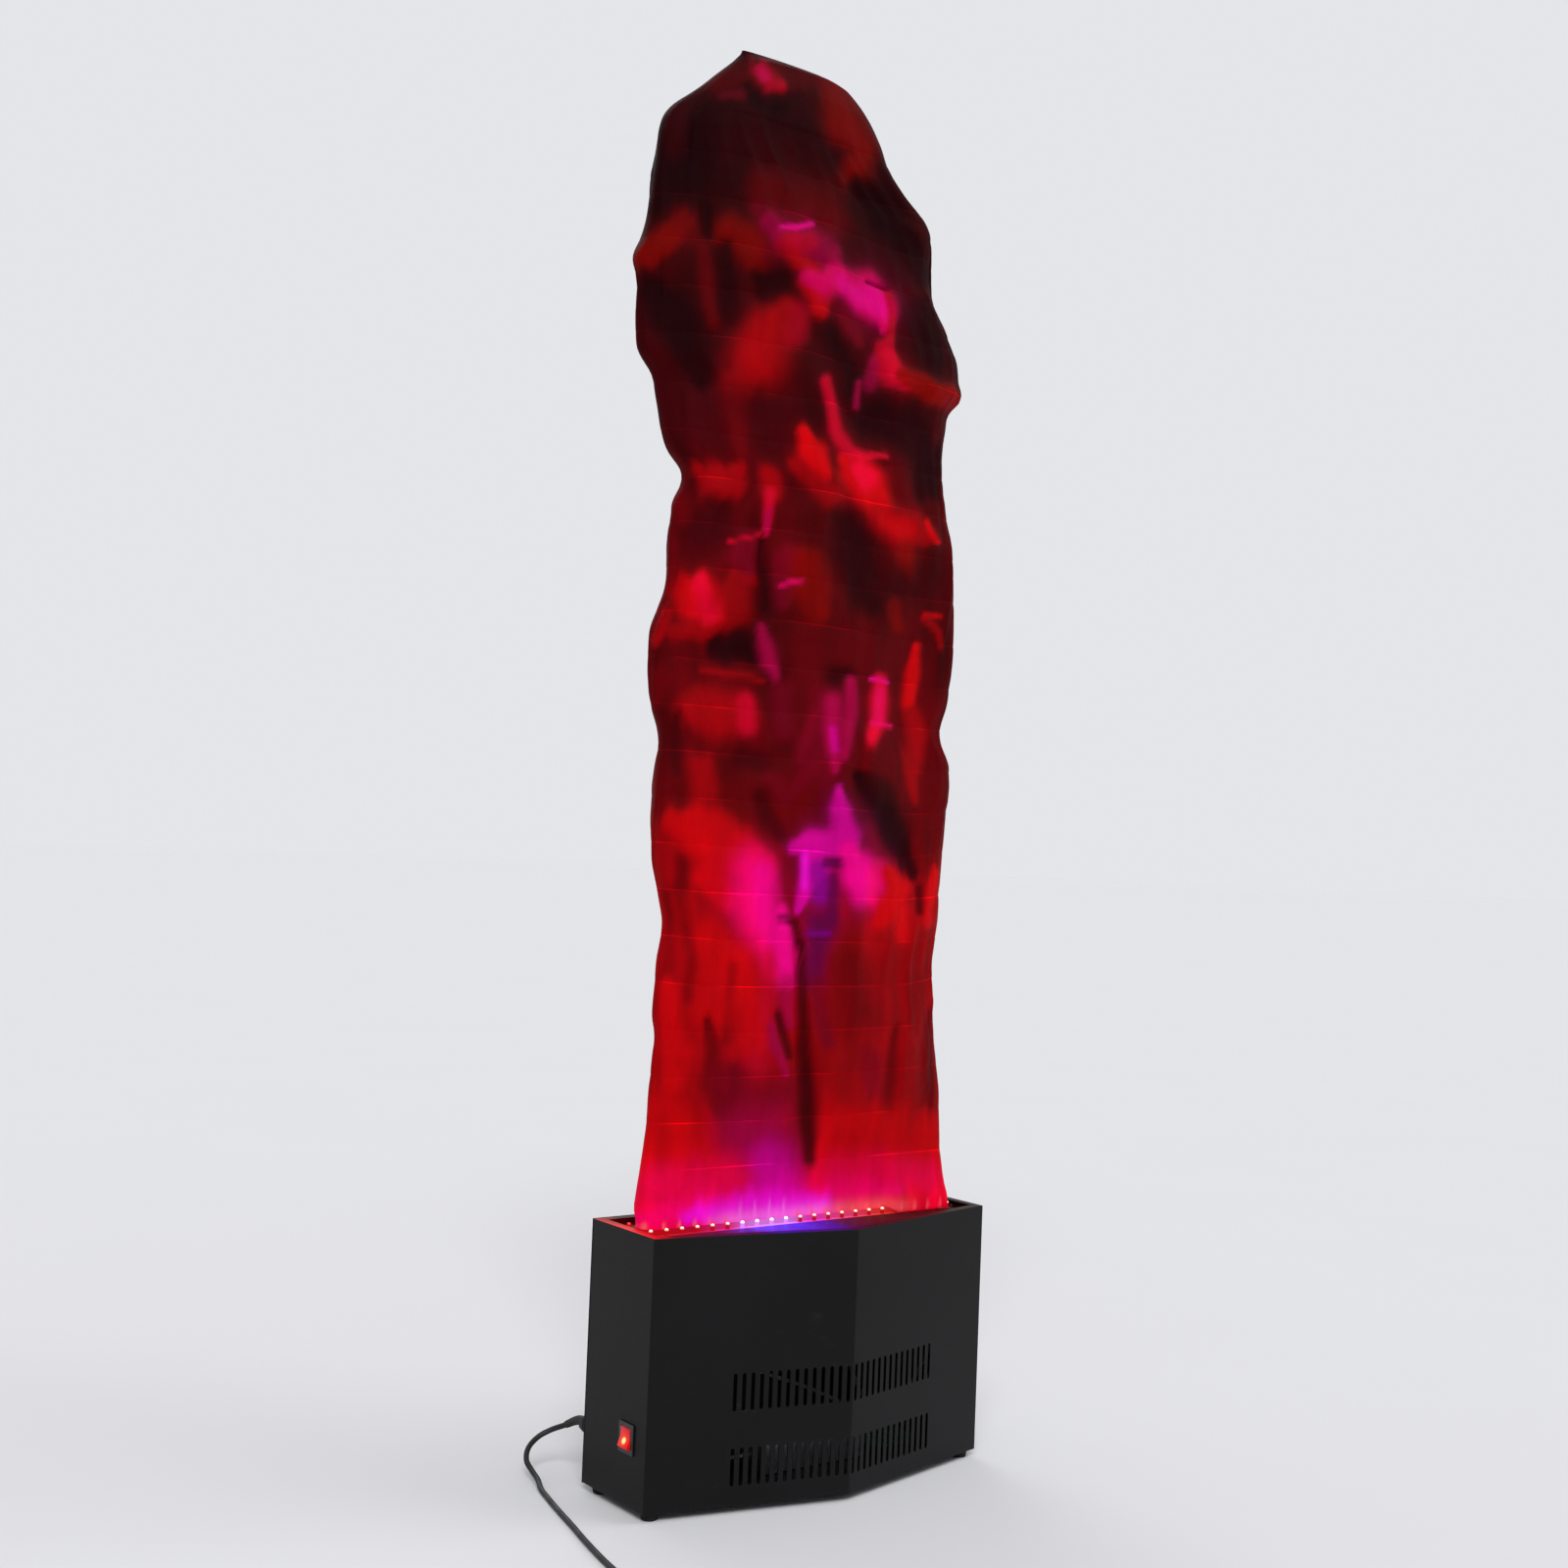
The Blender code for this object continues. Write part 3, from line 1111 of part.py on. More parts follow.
def make_mains_connector(route):
    """Moulded connector in the inlet, with its tapered boot along the cord's first curve."""
    face = connector_face() + GAP
    nose_x = SOCKET_WIDTH / 2 - PLUG_NOSE_CLEARANCE
    nose_z = SOCKET_HEIGHT / 2 - PLUG_NOSE_CLEARANCE
    half_x, half_z = PLUG_BODY_WIDTH / 2, PLUG_BODY_HEIGHT / 2
    bm = bmesh.new()
    box(bm, (INLET_X - half_x, face, INLET_Z - half_z), (INLET_X + half_x, face + PLUG_BODY_LENGTH, INLET_Z + half_z))
    far = [v for v in bm.verts if v.co.y > face + PLUG_BODY_LENGTH / 2]
    shrink = Matrix.Diagonal((0.85, 1.0, 0.65))
    middle = Vector((INLET_X, 0.0, INLET_Z))
    for vert in far:
        vert.co = middle + shrink @ (vert.co - middle)
    bmesh.ops.bevel(bm, geom=bm.edges[:], offset=BEND_RADIUS, segments=1, affect="EDGES")
    body = piece("mains_connector", bm, "cord_pvc")
    bm = bmesh.new()
    box(
        bm,
        (INLET_X - nose_x, face - PLUG_NOSE_LENGTH, INLET_Z - nose_z),
        (INLET_X + nose_x, face + 2 * BEND_RADIUS, INLET_Z + nose_z),
    )
    join(body, bm, "nose")
    join(body, boot_bmesh(route), "boot")
    bm = bmesh.new()
    for x, z in pin_places():
        half_w, half_h = PIN_WIDTH / 2 + PLUG_NOSE_CLEARANCE, PIN_HEIGHT / 2 + PLUG_NOSE_CLEARANCE
        box(bm, (x - half_w, face - PLUG_NOSE_LENGTH - SHEET, z - half_h), (x + half_w, face, z + half_h))
    cut(body, bm, "contacts")


def boot_bmesh(route):
    """The strain relief as a mesh: a tube along the route that narrows to its tip."""
    points = stretch_of(route, 0.0, BOOT_LENGTH, BOOT_STEPS + 1)
    points[0, 1] -= 2 * BEND_RADIUS
    narrowing = BOOT_TIP_RADIUS / BOOT_RADIUS - 1.0
    radii = [1.0 + narrowing * i / BOOT_STEPS for i in range(BOOT_STEPS + 1)]
    curve = tube("boot", points, 2 * BOOT_RADIUS, "cord_pvc", 3, radii)
    mesh = baked(curve)
    bm = bmesh.new()
    bm.from_mesh(mesh)
    bmesh.ops.remove_doubles(bm, verts=bm.verts, dist=GAP / 10)
    return bm


def coil_points():
    """One unbroken winding: in along the lower layer, up in half a turn, out along the upper one."""
    points = []
    steps = round(COIL_TURNS * COIL_LOOP_POINTS)
    for i in range(steps + 1):
        turn = COIL_TURNS * i / steps
        radius = COIL_OUTER_RADIUS - COIL_STEP * min(turn, COIL_TURNS - turn)
        climb = smoothstep(2 * (turn - COIL_TURNS / 2) + 0.5)
        angle = -2 * math.pi * turn
        points.append(Vector((
            COIL_CENTRE[0] + radius * math.cos(angle),
            COIL_CENTRE[1] + radius * math.sin(angle),
            COIL_LOW_Z + COIL_STEP * climb,
        )))
    return points


def tail_points(start, heading):
    """From the top of the coil straight on to the plug, rising to its height."""
    count = round(TAIL_LENGTH / CORD_STEP) + 3
    points = []
    for i in range(1, count + 1):
        share = i / count
        rise = (PLUG_Z - start.z) * smoothstep(share / 0.85)
        points.append(start + heading * TAIL_LENGTH * share + Vector((0, 0, rise)))
    return points


def make_cord_coil():
    """Makes the coil with its tail, prints its least gap to itself, and returns the tail's end."""
    winding = coil_points()
    angle = -2 * math.pi * COIL_TURNS
    heading = Vector((math.sin(angle), -math.cos(angle), 0.0))
    stub = winding[0] + Vector((0.0, CORD_DIAMETER, 0.0))
    points = [stub, *winding, *tail_points(winding[-1], heading)]
    tube("cord_coil", points, CORD_DIAMETER, "cord_pvc", 1)
    print(f"least gap of the coil to itself: {least_self_gap(points) * 1000:.2f} mm")
    return points[-1], heading, path_distances(points)[-1]


def least_self_gap(points):
    """Least clear distance between stretches of the tube that lie far apart along it."""
    points = np.array(points)
    along = path_distances(points)
    spots = np.arange(0.0, along[-1], CORD_DIAMETER / 7)
    fine = np.column_stack([np.interp(spots, along, points[:, k]) for k in range(3)])
    apart = np.linalg.norm(fine[:, None] - fine[None, :], axis=2)
    near = np.abs(spots[:, None] - spots[None, :]) < 4 * CORD_DIAMETER
    return float(np.where(near, np.inf, apart).min()) - CORD_DIAMETER


def make_cord_tie():
    """A strap closed round the coil's windings."""
    low = COIL_INNER_RADIUS - CORD_DIAMETER / 2 - TIE_SLACK
    high = COIL_OUTER_RADIUS + CORD_DIAMETER / 2 + TIE_SLACK
    top = COIL_LOW_Z + COIL_STEP + CORD_DIAMETER / 2 + GAP
    half = TIE_WIDTH / 2
    bm = bmesh.new()
    box(bm, (low - TIE_THICKNESS, -half, 0.0), (high + TIE_THICKNESS, half, top + TIE_THICKNESS))
    tie = piece("cord_tie", bm, "band_black")
    bm = bmesh.new()
    box(bm, (low, -TIE_WIDTH, TIE_THICKNESS), (high, TIE_WIDTH, top))
    cut(tie, bm, "inside")
    tie = piece("cord_tie", baked(tie), None, (*COIL_CENTRE, 0.0))
    tie.rotation_euler = (0.0, 0.0, TIE_ANGLE)


def make_mains_plug(end, heading):
    """Moulded plug that lies beside the coil: boot, grip, round front and two pins."""
    across = Vector((-heading.y, heading.x, 0.0))
    start = end + heading * GAP
    stations = [start]
    for length in (PLUG_BOOT_LENGTH, PLUG_GRIP_LENGTH, PLUG_DISC_LENGTH):
        stations.append(stations[-1] + heading * length)
    bm = bmesh.new()
    rod(bm, BOOT_TIP_RADIUS, stations[0], stations[1] + heading * BEND_RADIUS, 12, BOOT_RADIUS)
    plug = piece("mains_plug", bm, "cord_pvc")
    bm = bmesh.new()
    rod(bm, PLUG_GRIP_RADIUS * 0.8, stations[1], stations[2] + heading * BEND_RADIUS, 16, PLUG_GRIP_RADIUS)
    join(plug, bm, "grip")
    bm = bmesh.new()
    rod(bm, PLUG_RADIUS, stations[2], stations[3], 20)
    join(plug, bm, "front")
    bm = bmesh.new()
    for side in (-0.5, 0.5):
        root = stations[3] + across * side * PLUG_PIN_SPACING
        rod(bm, PLUG_PIN_RADIUS, root - heading * BEND_RADIUS, root + heading * PLUG_PIN_LENGTH, 10)
    join(plug, bm, "pins")


def main():
    make_housing_shell()
    make_back_panel()
    make_base_plate()
    make_top_plate()
    make_fan_deck()
    make_air_duct()
    make_silk_collar()
    make_silk_band()
    make_flame_silk()
    make_light_board("led_board_front", -1)
    make_light_board("led_board_rear", 1)
    make_fan_frames()
    make_fan_rotors()
    make_power_supply()
    make_control_board()
    make_mains_inlet()
    make_fuse_drawer()
    make_switch_body()
    make_switch_rocker()
    make_feet()
    make_screws()
    make_leads()
    route = cord_route()
    make_mains_connector(route)
    make_cord_free(route)
    end, heading, coil_length = make_cord_coil()
    make_cord_tie()
    make_mains_plug(end, heading)
    length = path_distances(route)[-1] - BOOT_LENGTH - GAP + coil_length
    print(f"cord length: {length:.3f} m")


main()
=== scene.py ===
"""Looks of the flame effect light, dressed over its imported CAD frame. Metres, +Z up, front towards -Y."""

import math

import bmesh
import bpy
import numpy as np
from mathutils import Matrix, Vector


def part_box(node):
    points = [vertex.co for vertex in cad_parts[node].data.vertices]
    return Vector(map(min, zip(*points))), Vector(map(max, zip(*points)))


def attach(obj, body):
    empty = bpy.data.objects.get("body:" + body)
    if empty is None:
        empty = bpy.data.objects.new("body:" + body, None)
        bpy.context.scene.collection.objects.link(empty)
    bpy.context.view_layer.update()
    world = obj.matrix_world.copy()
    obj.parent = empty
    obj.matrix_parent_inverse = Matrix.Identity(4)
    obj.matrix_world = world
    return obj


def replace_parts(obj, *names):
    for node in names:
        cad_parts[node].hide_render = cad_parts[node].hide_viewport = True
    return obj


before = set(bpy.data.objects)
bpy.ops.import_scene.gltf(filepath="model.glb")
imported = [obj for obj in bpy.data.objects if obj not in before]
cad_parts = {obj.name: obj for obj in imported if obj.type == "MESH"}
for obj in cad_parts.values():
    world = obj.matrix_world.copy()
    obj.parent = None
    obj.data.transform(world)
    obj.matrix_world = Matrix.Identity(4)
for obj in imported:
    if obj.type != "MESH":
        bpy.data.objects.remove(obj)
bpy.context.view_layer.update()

# Camera, as it stood in the photograph
CAMERA_PLACE = Vector((-1.5308, -1.9754, 0.7954))
CAMERA_YAW = 0.6372
CAMERA_PITCH = 0.03954
CAMERA_ROLL = 0.03941
CAMERA_LENS = 43.96
CAMERA_REACH = 400.0
SENSOR_WIDTH = 36.0
PICTURE_WIDTH = 1600
PIXELS_A_SLOPE = CAMERA_LENS / SENSOR_WIDTH * PICTURE_WIDTH

# Main levels and lines of the frame
SHELL_LOW, SHELL_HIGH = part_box("housing_shell")
SILK_LOW, SILK_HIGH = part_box("flame_silk")
COLLAR_TOP_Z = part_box("silk_collar")[1].z
FRONT_BOARD_LOW, FRONT_BOARD_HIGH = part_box("led_board_front")
REAR_BOARD_LOW, REAR_BOARD_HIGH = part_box("led_board_rear")
RIM_Z = SHELL_HIGH.z
SLOT_Y = (FRONT_BOARD_LOW.y + REAR_BOARD_HIGH.y) / 2
LIGHT_Y = (FRONT_BOARD_LOW.y + FRONT_BOARD_HIGH.y) / 2

# Light row
LIGHTS = 22
LIGHT_RADIUS = 0.0025
LIGHT_FLANGE_RADIUS = 0.0029
LIGHT_FLANGE_HEIGHT = 0.0010
LIGHT_HEIGHT = 0.0086
LIGHT_DOME_STEPS = 8
LIGHT_SIDES = 20
LIGHT_PITCH = (FRONT_BOARD_HIGH.x - FRONT_BOARD_LOW.x - 4 * LIGHT_RADIUS) / (LIGHTS - 1)
VIOLET_LIGHTS = (6, 7, 8, 9)
LIGHT_TIP_Z = FRONT_BOARD_HIGH.z

# Cord: the route's points as in the CAD
CORD_DIAMETER = 0.007
CORD_START = Vector((-0.243, 0.1386, 0.072))
CORD_EXIT = Vector((-0.243, 0.1043, 0.072))
CORD_HIDDEN = 0.010
CORD_FLOOR_Z = 0.0036
CORD_KNOTS = (
    (-0.2433, 0.1539, 0.0699),
    (-0.2436, 0.1637, 0.0657),
    (-0.2478, 0.1790, 0.0576),
    (-0.2593, 0.1915, 0.0504),
    (-0.2749, 0.1969, 0.0421),
    (-0.2910, 0.1922, 0.0319),
    (-0.3003, 0.1795, 0.0213),
    (-0.3021, 0.1623, 0.0139),
    (-0.3052, 0.1405, 0.0086),
    (-0.3130, 0.1178, 0.0046),
    (-0.3190, 0.0930, CORD_FLOOR_Z),
    (-0.3255, 0.0680, CORD_FLOOR_Z),
    (-0.3350, 0.0280, CORD_FLOOR_Z),
    (-0.3440, -0.0120, CORD_FLOOR_Z),
    (-0.3540, -0.0530, CORD_FLOOR_Z),
    (-0.3640, -0.0980, CORD_FLOOR_Z),
    (-0.3730, -0.1450, CORD_FLOOR_Z),
)
COIL_CENTRE = (-0.430, -0.225)
COIL_MEAN_RADIUS = 0.039
COIL_TURNS = 4.25
COIL_STEP = 0.0078
COIL_OUTER_RADIUS = COIL_MEAN_RADIUS + COIL_STEP * COIL_TURNS / 4
COIL_INNER_RADIUS = COIL_OUTER_RADIUS - COIL_STEP * COIL_TURNS / 2
COIL_LOOP_POINTS = 72
COIL_LOW_Z = 0.0048
TAIL_LENGTH = 0.060
TAIL_Z = 0.0188
BOOT_LENGTH = 0.040
BOOT_RADIUS = 0.0065
BOOT_TIP_RADIUS = 0.0046
BOOT_RINGS = 49
BOOT_SIDES = 24
BOOT_RIB_RINGS = 6
BOOT_GROOVE_RINGS = 2
BOOT_PLAIN_RINGS = 4
BOOT_GROOVE = 0.0009
CORD_STEP = 0.004
TAIL_POINTS = 14
TAIL_LEVEL_SHARE = 0.85


def srgb(red, green, blue):
    """A colour as seen, in the linear values that shaders use."""
    return tuple(c / 12.92 if c <= 0.04045 else ((c + 0.055) / 1.055) ** 2.4 for c in (red, green, blue))


def smoothstep(t):
    """0 to 1, easing in and out, and held outside that."""
    t = np.clip(t, 0.0, 1.0)
    return t * t * (3 - 2 * t)


def in_scene(name, data):
    """A new object that holds the data, in the scene."""
    obj = bpy.data.objects.new(name, data)
    bpy.context.scene.collection.objects.link(obj)
    return obj


# Camera

def camera_axes():
    """The camera's directions to the right, up and ahead."""
    sin_yaw, cos_yaw = math.sin(CAMERA_YAW), math.cos(CAMERA_YAW)
    flat = math.cos(CAMERA_PITCH)
    ahead = Vector((sin_yaw * flat, cos_yaw * flat, math.sin(CAMERA_PITCH)))
    level = Vector((cos_yaw, -sin_yaw, 0.0))
    upright = level.cross(ahead)
    right = math.cos(CAMERA_ROLL) * level + math.sin(CAMERA_ROLL) * upright
    up = math.cos(CAMERA_ROLL) * upright - math.sin(CAMERA_ROLL) * level
    return right, up, ahead


def make_camera():
    """The camera, with the photograph's place, angle and lens."""
    right, up, ahead = camera_axes()
    data = bpy.data.cameras.new("camera")
    data.lens = CAMERA_LENS
    data.sensor_width = SENSOR_WIDTH
    data.clip_end = CAMERA_REACH
    camera = in_scene("camera", data)
    turn = Matrix((right, up, -ahead)).transposed().to_4x4()
    camera.matrix_world = Matrix.Translation(CAMERA_PLACE) @ turn
    bpy.context.scene.camera = camera


def in_picture(x, y, z):
    """Pixel columns and rows of the photograph at which places in the frame are seen."""
    right, up, ahead = (np.array(axis) for axis in camera_axes())
    away = np.stack([x, y, z], axis=-1) - np.array(CAMERA_PLACE)
    depth = away @ ahead
    middle = PICTURE_WIDTH / 2
    return middle + PIXELS_A_SLOPE * (away @ right) / depth, middle - PIXELS_A_SLOPE * (away @ up) / depth


def on_plane(column, row, plane_y):
    """X and Z at which a pixel's line of sight meets an upright plane."""
    right, up, ahead = camera_axes()
    middle = PICTURE_WIDTH / 2
    ray = ahead * PIXELS_A_SLOPE + right * (column - middle) + up * (middle - row)
    place = CAMERA_PLACE + ray * ((plane_y - CAMERA_PLACE.y) / ray.y)
    return place.x, place.z


# Materials

NO_LIGHT = (0.0, 0.0, 0.0)
# Light that falls on the plate and on the rim: share of the housing's width, and colour
PLATE_GLOW = (
    (0.00, srgb(0.95, 0.05, 0.10)),
    (0.05, srgb(0.62, 0.01, 0.03)),
    (0.14, srgb(0.42, 0.00, 0.04)),
    (0.22, srgb(0.36, 0.00, 0.22)),
    (0.29, srgb(0.34, 0.06, 0.66)),
    (0.35, srgb(0.40, 0.22, 1.00)),
    (0.45, srgb(0.28, 0.16, 1.00)),
    (0.52, srgb(0.22, 0.03, 0.72)),
    (0.58, srgb(0.26, 0.00, 0.24)),
    (0.66, srgb(0.28, 0.00, 0.05)),
    (0.82, srgb(0.16, 0.00, 0.02)),
    (1.00, srgb(0.05, 0.00, 0.00)),
)
RIM_GLOW = (
    (0.00, srgb(0.95, 0.02, 0.06)),
    (0.03, srgb(0.70, 0.00, 0.03)),
    (0.06, srgb(0.40, 0.00, 0.02)),
    (0.14, srgb(0.28, 0.00, 0.02)),
    (0.24, srgb(0.20, 0.00, 0.20)),
    (0.33, srgb(0.18, 0.04, 0.70)),
    (0.44, srgb(0.16, 0.03, 0.64)),
    (0.52, srgb(0.14, 0.00, 0.28)),
    (0.60, srgb(0.22, 0.01, 0.04)),
    (0.90, srgb(0.18, 0.01, 0.01)),
    (1.00, srgb(0.04, 0.00, 0.00)),
)
# Light on the boards and the hem: share of the board's length, and colour
BOARD_GLOW = (
    (0.00, srgb(0.80, 0.02, 0.06)),
    (0.14, srgb(0.74, 0.02, 0.16)),
    (0.24, srgb(0.90, 0.14, 0.52)),
    (0.34, srgb(0.90, 0.55, 1.00)),
    (0.43, srgb(0.90, 0.55, 1.00)),
    (0.52, srgb(0.95, 0.25, 0.78)),
    (0.64, srgb(0.95, 0.28, 0.52)),
    (0.74, srgb(0.92, 0.22, 0.22)),
    (0.84, srgb(0.80, 0.02, 0.06)),
    (1.00, srgb(0.62, 0.00, 0.03)),
)
# Where the light on the plate and on the rim starts to fade, and where it ends, from the row of lights
PLATE_LIGHT_REACH = (0.006, 0.105)
RIM_LIGHT_REACH = (0.03, 0.13)
# The glow in the rocker: how deep and how far up it lies, and where its core and its haze fade
ROCKER_GLOW_DEPTH = 0.0025
ROCKER_GLOW_SHARE = 0.40
ROCKER_CORE_REACH = (0.0026, 0.0050)
ROCKER_HAZE_REACH = (0.003, 0.0150)


class Shading:
    """A material under construction: its shader, and short ways to add and join nodes."""

    def __init__(self, name, colour, roughness, metallic=0.0, specular=0.5):
        self.material = bpy.data.materials.new(name)
        self.material.use_nodes = True
        self.tree = self.material.node_tree
        self.shader = self.tree.nodes["Principled BSDF"]
        self.put("Base Color", (*colour, 1.0))
        self.put("Roughness", roughness)
        self.put("Metallic", metallic)
        self.put("Specular IOR Level", specular)
        self.place = self.node("ShaderNodeTexCoord").outputs["Object"]

    def put(self, socket, value):
        """Sets one of the shader's own values."""
        self.shader.inputs[socket].default_value = value

    def node(self, kind, **settings):
        node = self.tree.nodes.new(kind)
        for key, value in settings.items():
            setattr(node, key, value)
        return node

    def link(self, output, target):
        self.tree.links.new(output, target)

    def give(self, value, socket):
        """A number, a colour or another node's output for a socket."""
        if isinstance(value, (int, float)):
            socket.default_value = value
        elif isinstance(value, tuple):
            socket.default_value = (*value, 1.0)
        else:
            self.link(value, socket)

    def feed(self, output, socket):
        """Joins another node's output to the shader."""
        self.link(output, self.shader.inputs[socket])

    def noise(self, scale, detail=2.0, roughness=0.5, stretch=(1, 1, 1), distortion=0.0):
        """Noise that lies still on the object."""
        mapping = self.node("ShaderNodeMapping")
        mapping.inputs["Scale"].default_value = stretch
        self.link(self.place, mapping.inputs["Vector"])
        noise = self.node("ShaderNodeTexNoise")
        noise.inputs["Scale"].default_value = scale
        noise.inputs["Detail"].default_value = detail
        noise.inputs["Roughness"].default_value = roughness
        noise.inputs["Distortion"].default_value = distortion
        self.link(mapping.outputs["Vector"], noise.inputs["Vector"])
        return noise.outputs["Fac"]

    def spread(self, value, low, high, start=0.3, end=0.7):
        """The value between start and end, spread out from low to high."""
        node = self.node("ShaderNodeMapRange")
        node.inputs["From Min"].default_value = start
        node.inputs["From Max"].default_value = end
        node.inputs["To Min"].default_value = low
        node.inputs["To Max"].default_value = high
        self.link(value, node.inputs["Value"])
        return node.outputs["Result"]

    def math(self, operation, first, second):
        node = self.node("ShaderNodeMath", operation=operation)
        for socket, value in zip(node.inputs, (first, second)):
            self.give(value, socket)
        return node.outputs["Value"]

    def mix(self, share, first, second):
        """The first colour, turned into the second by a share."""
        node = self.node("ShaderNodeMix", data_type="RGBA")
        factor, one, two = node.inputs[0], node.inputs[6], node.inputs[7]
        for socket, value in ((factor, share), (one, first), (two, second)):
            self.give(value, socket)
        return node.outputs[2]

    def ramp(self, value, stops):
        """Colours along a value, from (place, colour) stops."""
        node = self.node("ShaderNodeValToRGB")
        node.color_ramp.interpolation = "EASE"
        elements = node.color_ramp.elements
        while len(elements) < len(stops):
            elements.new(0.5)
        for element, (place, colour) in zip(elements, stops):
            element.position = place
            element.color = (*colour, 1.0)
        self.link(value, node.inputs["Fac"])
        return node.outputs["Color"]

    def bump(self, height, strength, distance):
        """Gives the surface a fine relief."""
        node = self.node("ShaderNodeBump")
        node.inputs["Strength"].default_value = strength
        node.inputs["Distance"].default_value = distance
        self.link(height, node.inputs["Height"])
        self.feed(node.outputs["Normal"], "Normal")

    def glow(self, colour, strength):
        """Makes the surface give off light."""
        self.feed(colour, "Emission Color")
        self.put("Emission Strength", strength)

    def scaled(self, colour, factor):
        node = self.node("ShaderNodeVectorMath", operation="SCALE")
        self.link(colour, node.inputs[0])
        self.give(factor, node.inputs["Scale"])
        return node.outputs[0]

    def axes(self):
        """The place on the object, as its three coordinates."""
        node = self.node("ShaderNodeSeparateXYZ")
        self.link(self.place, node.inputs["Vector"])
        return node.outputs["X"], node.outputs["Y"], node.outputs["Z"]


def plain_finish(name, colour, roughness, grain, depth, metallic=0.0, variation=0.25, specular=0.5):
    """A finish with a fine grain, slow changes of shade and small changes of gloss."""
    look = Shading(name, colour, roughness, metallic, specular)
    slow = look.spread(look.noise(9.0, 3.0), 0.0, 1.0)
    darker = tuple(c * (1 - variation) for c in colour)
    lighter = tuple(min(1.0, c * (1 + variation)) for c in colour)
    look.feed(look.mix(slow, darker, lighter), "Base Color")
    look.feed(look.spread(look.noise(60.0, 4.0), roughness * 0.85, min(1.0, roughness * 1.15)), "Roughness")
    look.bump(look.noise(grain, 3.0, 0.6), 0.5, depth)
    return look


def paint_finish():
    """Black satin powder coat: a fine orange peel, faint scuffs."""
    look = Shading("black_powder_coat", srgb(0.05, 0.05, 0.055), 0.48, 0.0, 0.15)
    peel = look.noise(1100.0, 2.0, 0.55)
    slow = look.spread(look.noise(5.0, 4.0), 0.0, 1.0)
    scuffs = look.spread(look.noise(26.0, 6.0, 0.7, (1, 1, 3.5), 0.6), 0.0, 1.0, 0.62, 0.74)
    shade = look.mix(slow, srgb(0.038, 0.038, 0.043), srgb(0.058, 0.058, 0.064))
    look.feed(look.mix(look.math("MULTIPLY", scuffs, 0.35), shade, srgb(0.16, 0.16, 0.17)), "Base Color")
    gloss = look.math("ADD", look.spread(peel, 0.40, 0.52), look.math("MULTIPLY", scuffs, 0.14))
    look.feed(gloss, "Roughness")
    look.bump(peel, 0.35, 0.0004)
    return look


def lit_along(look, low_x, high_x, stops):
    """Colours along the light row, from stops at shares of the way from one x to another."""
    x, _, _ = look.axes()
    along = look.math("DIVIDE", look.math("SUBTRACT", x, low_x), high_x - low_x)
    return look.ramp(along, stops)


def plate_finish():
    """The recessed top plate: black paint that catches the lights' red and blue."""
    look = paint_finish()
    look.material.name = "lit_top_plate"
    colour = lit_along(look, SHELL_LOW.x, SHELL_HIGH.x, PLATE_GLOW)
    _, y, _ = look.axes()
    away = look.math("ABSOLUTE", look.math("SUBTRACT", y, LIGHT_Y), 0.0)
    reach = look.spread(away, 1.0, 0.0, *PLATE_LIGHT_REACH)
    patchy = look.spread(look.noise(30.0, 3.0), 0.85, 1.0)
    look.glow(look.mix(look.math("MULTIPLY", reach, patchy), NO_LIGHT, colour), 1.0)
    return look


def shell_finish():
    """The housing: black paint whose in-turned rim is faintly lit by the lights."""
    look = paint_finish()
    look.material.name = "black_shell"
    colour = lit_along(look, SHELL_LOW.x, SHELL_HIGH.x, RIM_GLOW)
    _, y, z = look.axes()
    on_top = look.spread(z, 0.0, 1.0, RIM_Z - 0.0006, RIM_Z - 0.0001)
    away = look.math("ABSOLUTE", look.math("SUBTRACT", y, LIGHT_Y), 0.0)
    near = look.spread(away, 1.0, 0.1, *RIM_LIGHT_REACH)
    look.glow(look.mix(look.math("MULTIPLY", on_top, near), NO_LIGHT, colour), 1.0)
    return look


def zinc_finish():
    """Zinc-plated sheet with faint flakes."""
    look = Shading("zinc_plated_sheet", srgb(0.74, 0.75, 0.77), 0.36, 1.0)
    flakes = look.node("ShaderNodeTexVoronoi")
    flakes.inputs["Scale"].default_value = 120.0
    look.link(look.place, flakes.inputs["Vector"])
    look.feed(look.spread(flakes.outputs["Distance"], 0.28, 0.48, 0.0, 0.8), "Roughness")
    look.feed(look.mix(look.noise(18.0, 4.0), srgb(0.66, 0.67, 0.69), srgb(0.80, 0.81, 0.82)), "Base Color")
    look.bump(look.noise(700.0, 2.0), 0.15, 0.0002)
    return look


def weave_height(look, scale):
    """Crossed threads as a height, over and under by turns."""
    heights = []
    for direction in ("X", "Z"):
        wave = look.node("ShaderNodeTexWave", bands_direction=direction)
        wave.inputs["Scale"].default_value = scale
        wave.inputs["Distortion"].default_value = 0.4
        wave.inputs["Detail"].default_value = 1.0
        look.link(look.place, wave.inputs["Vector"])
        heights.append(wave.outputs["Fac"])
    return look.math("MULTIPLY", heights[0], heights[1])


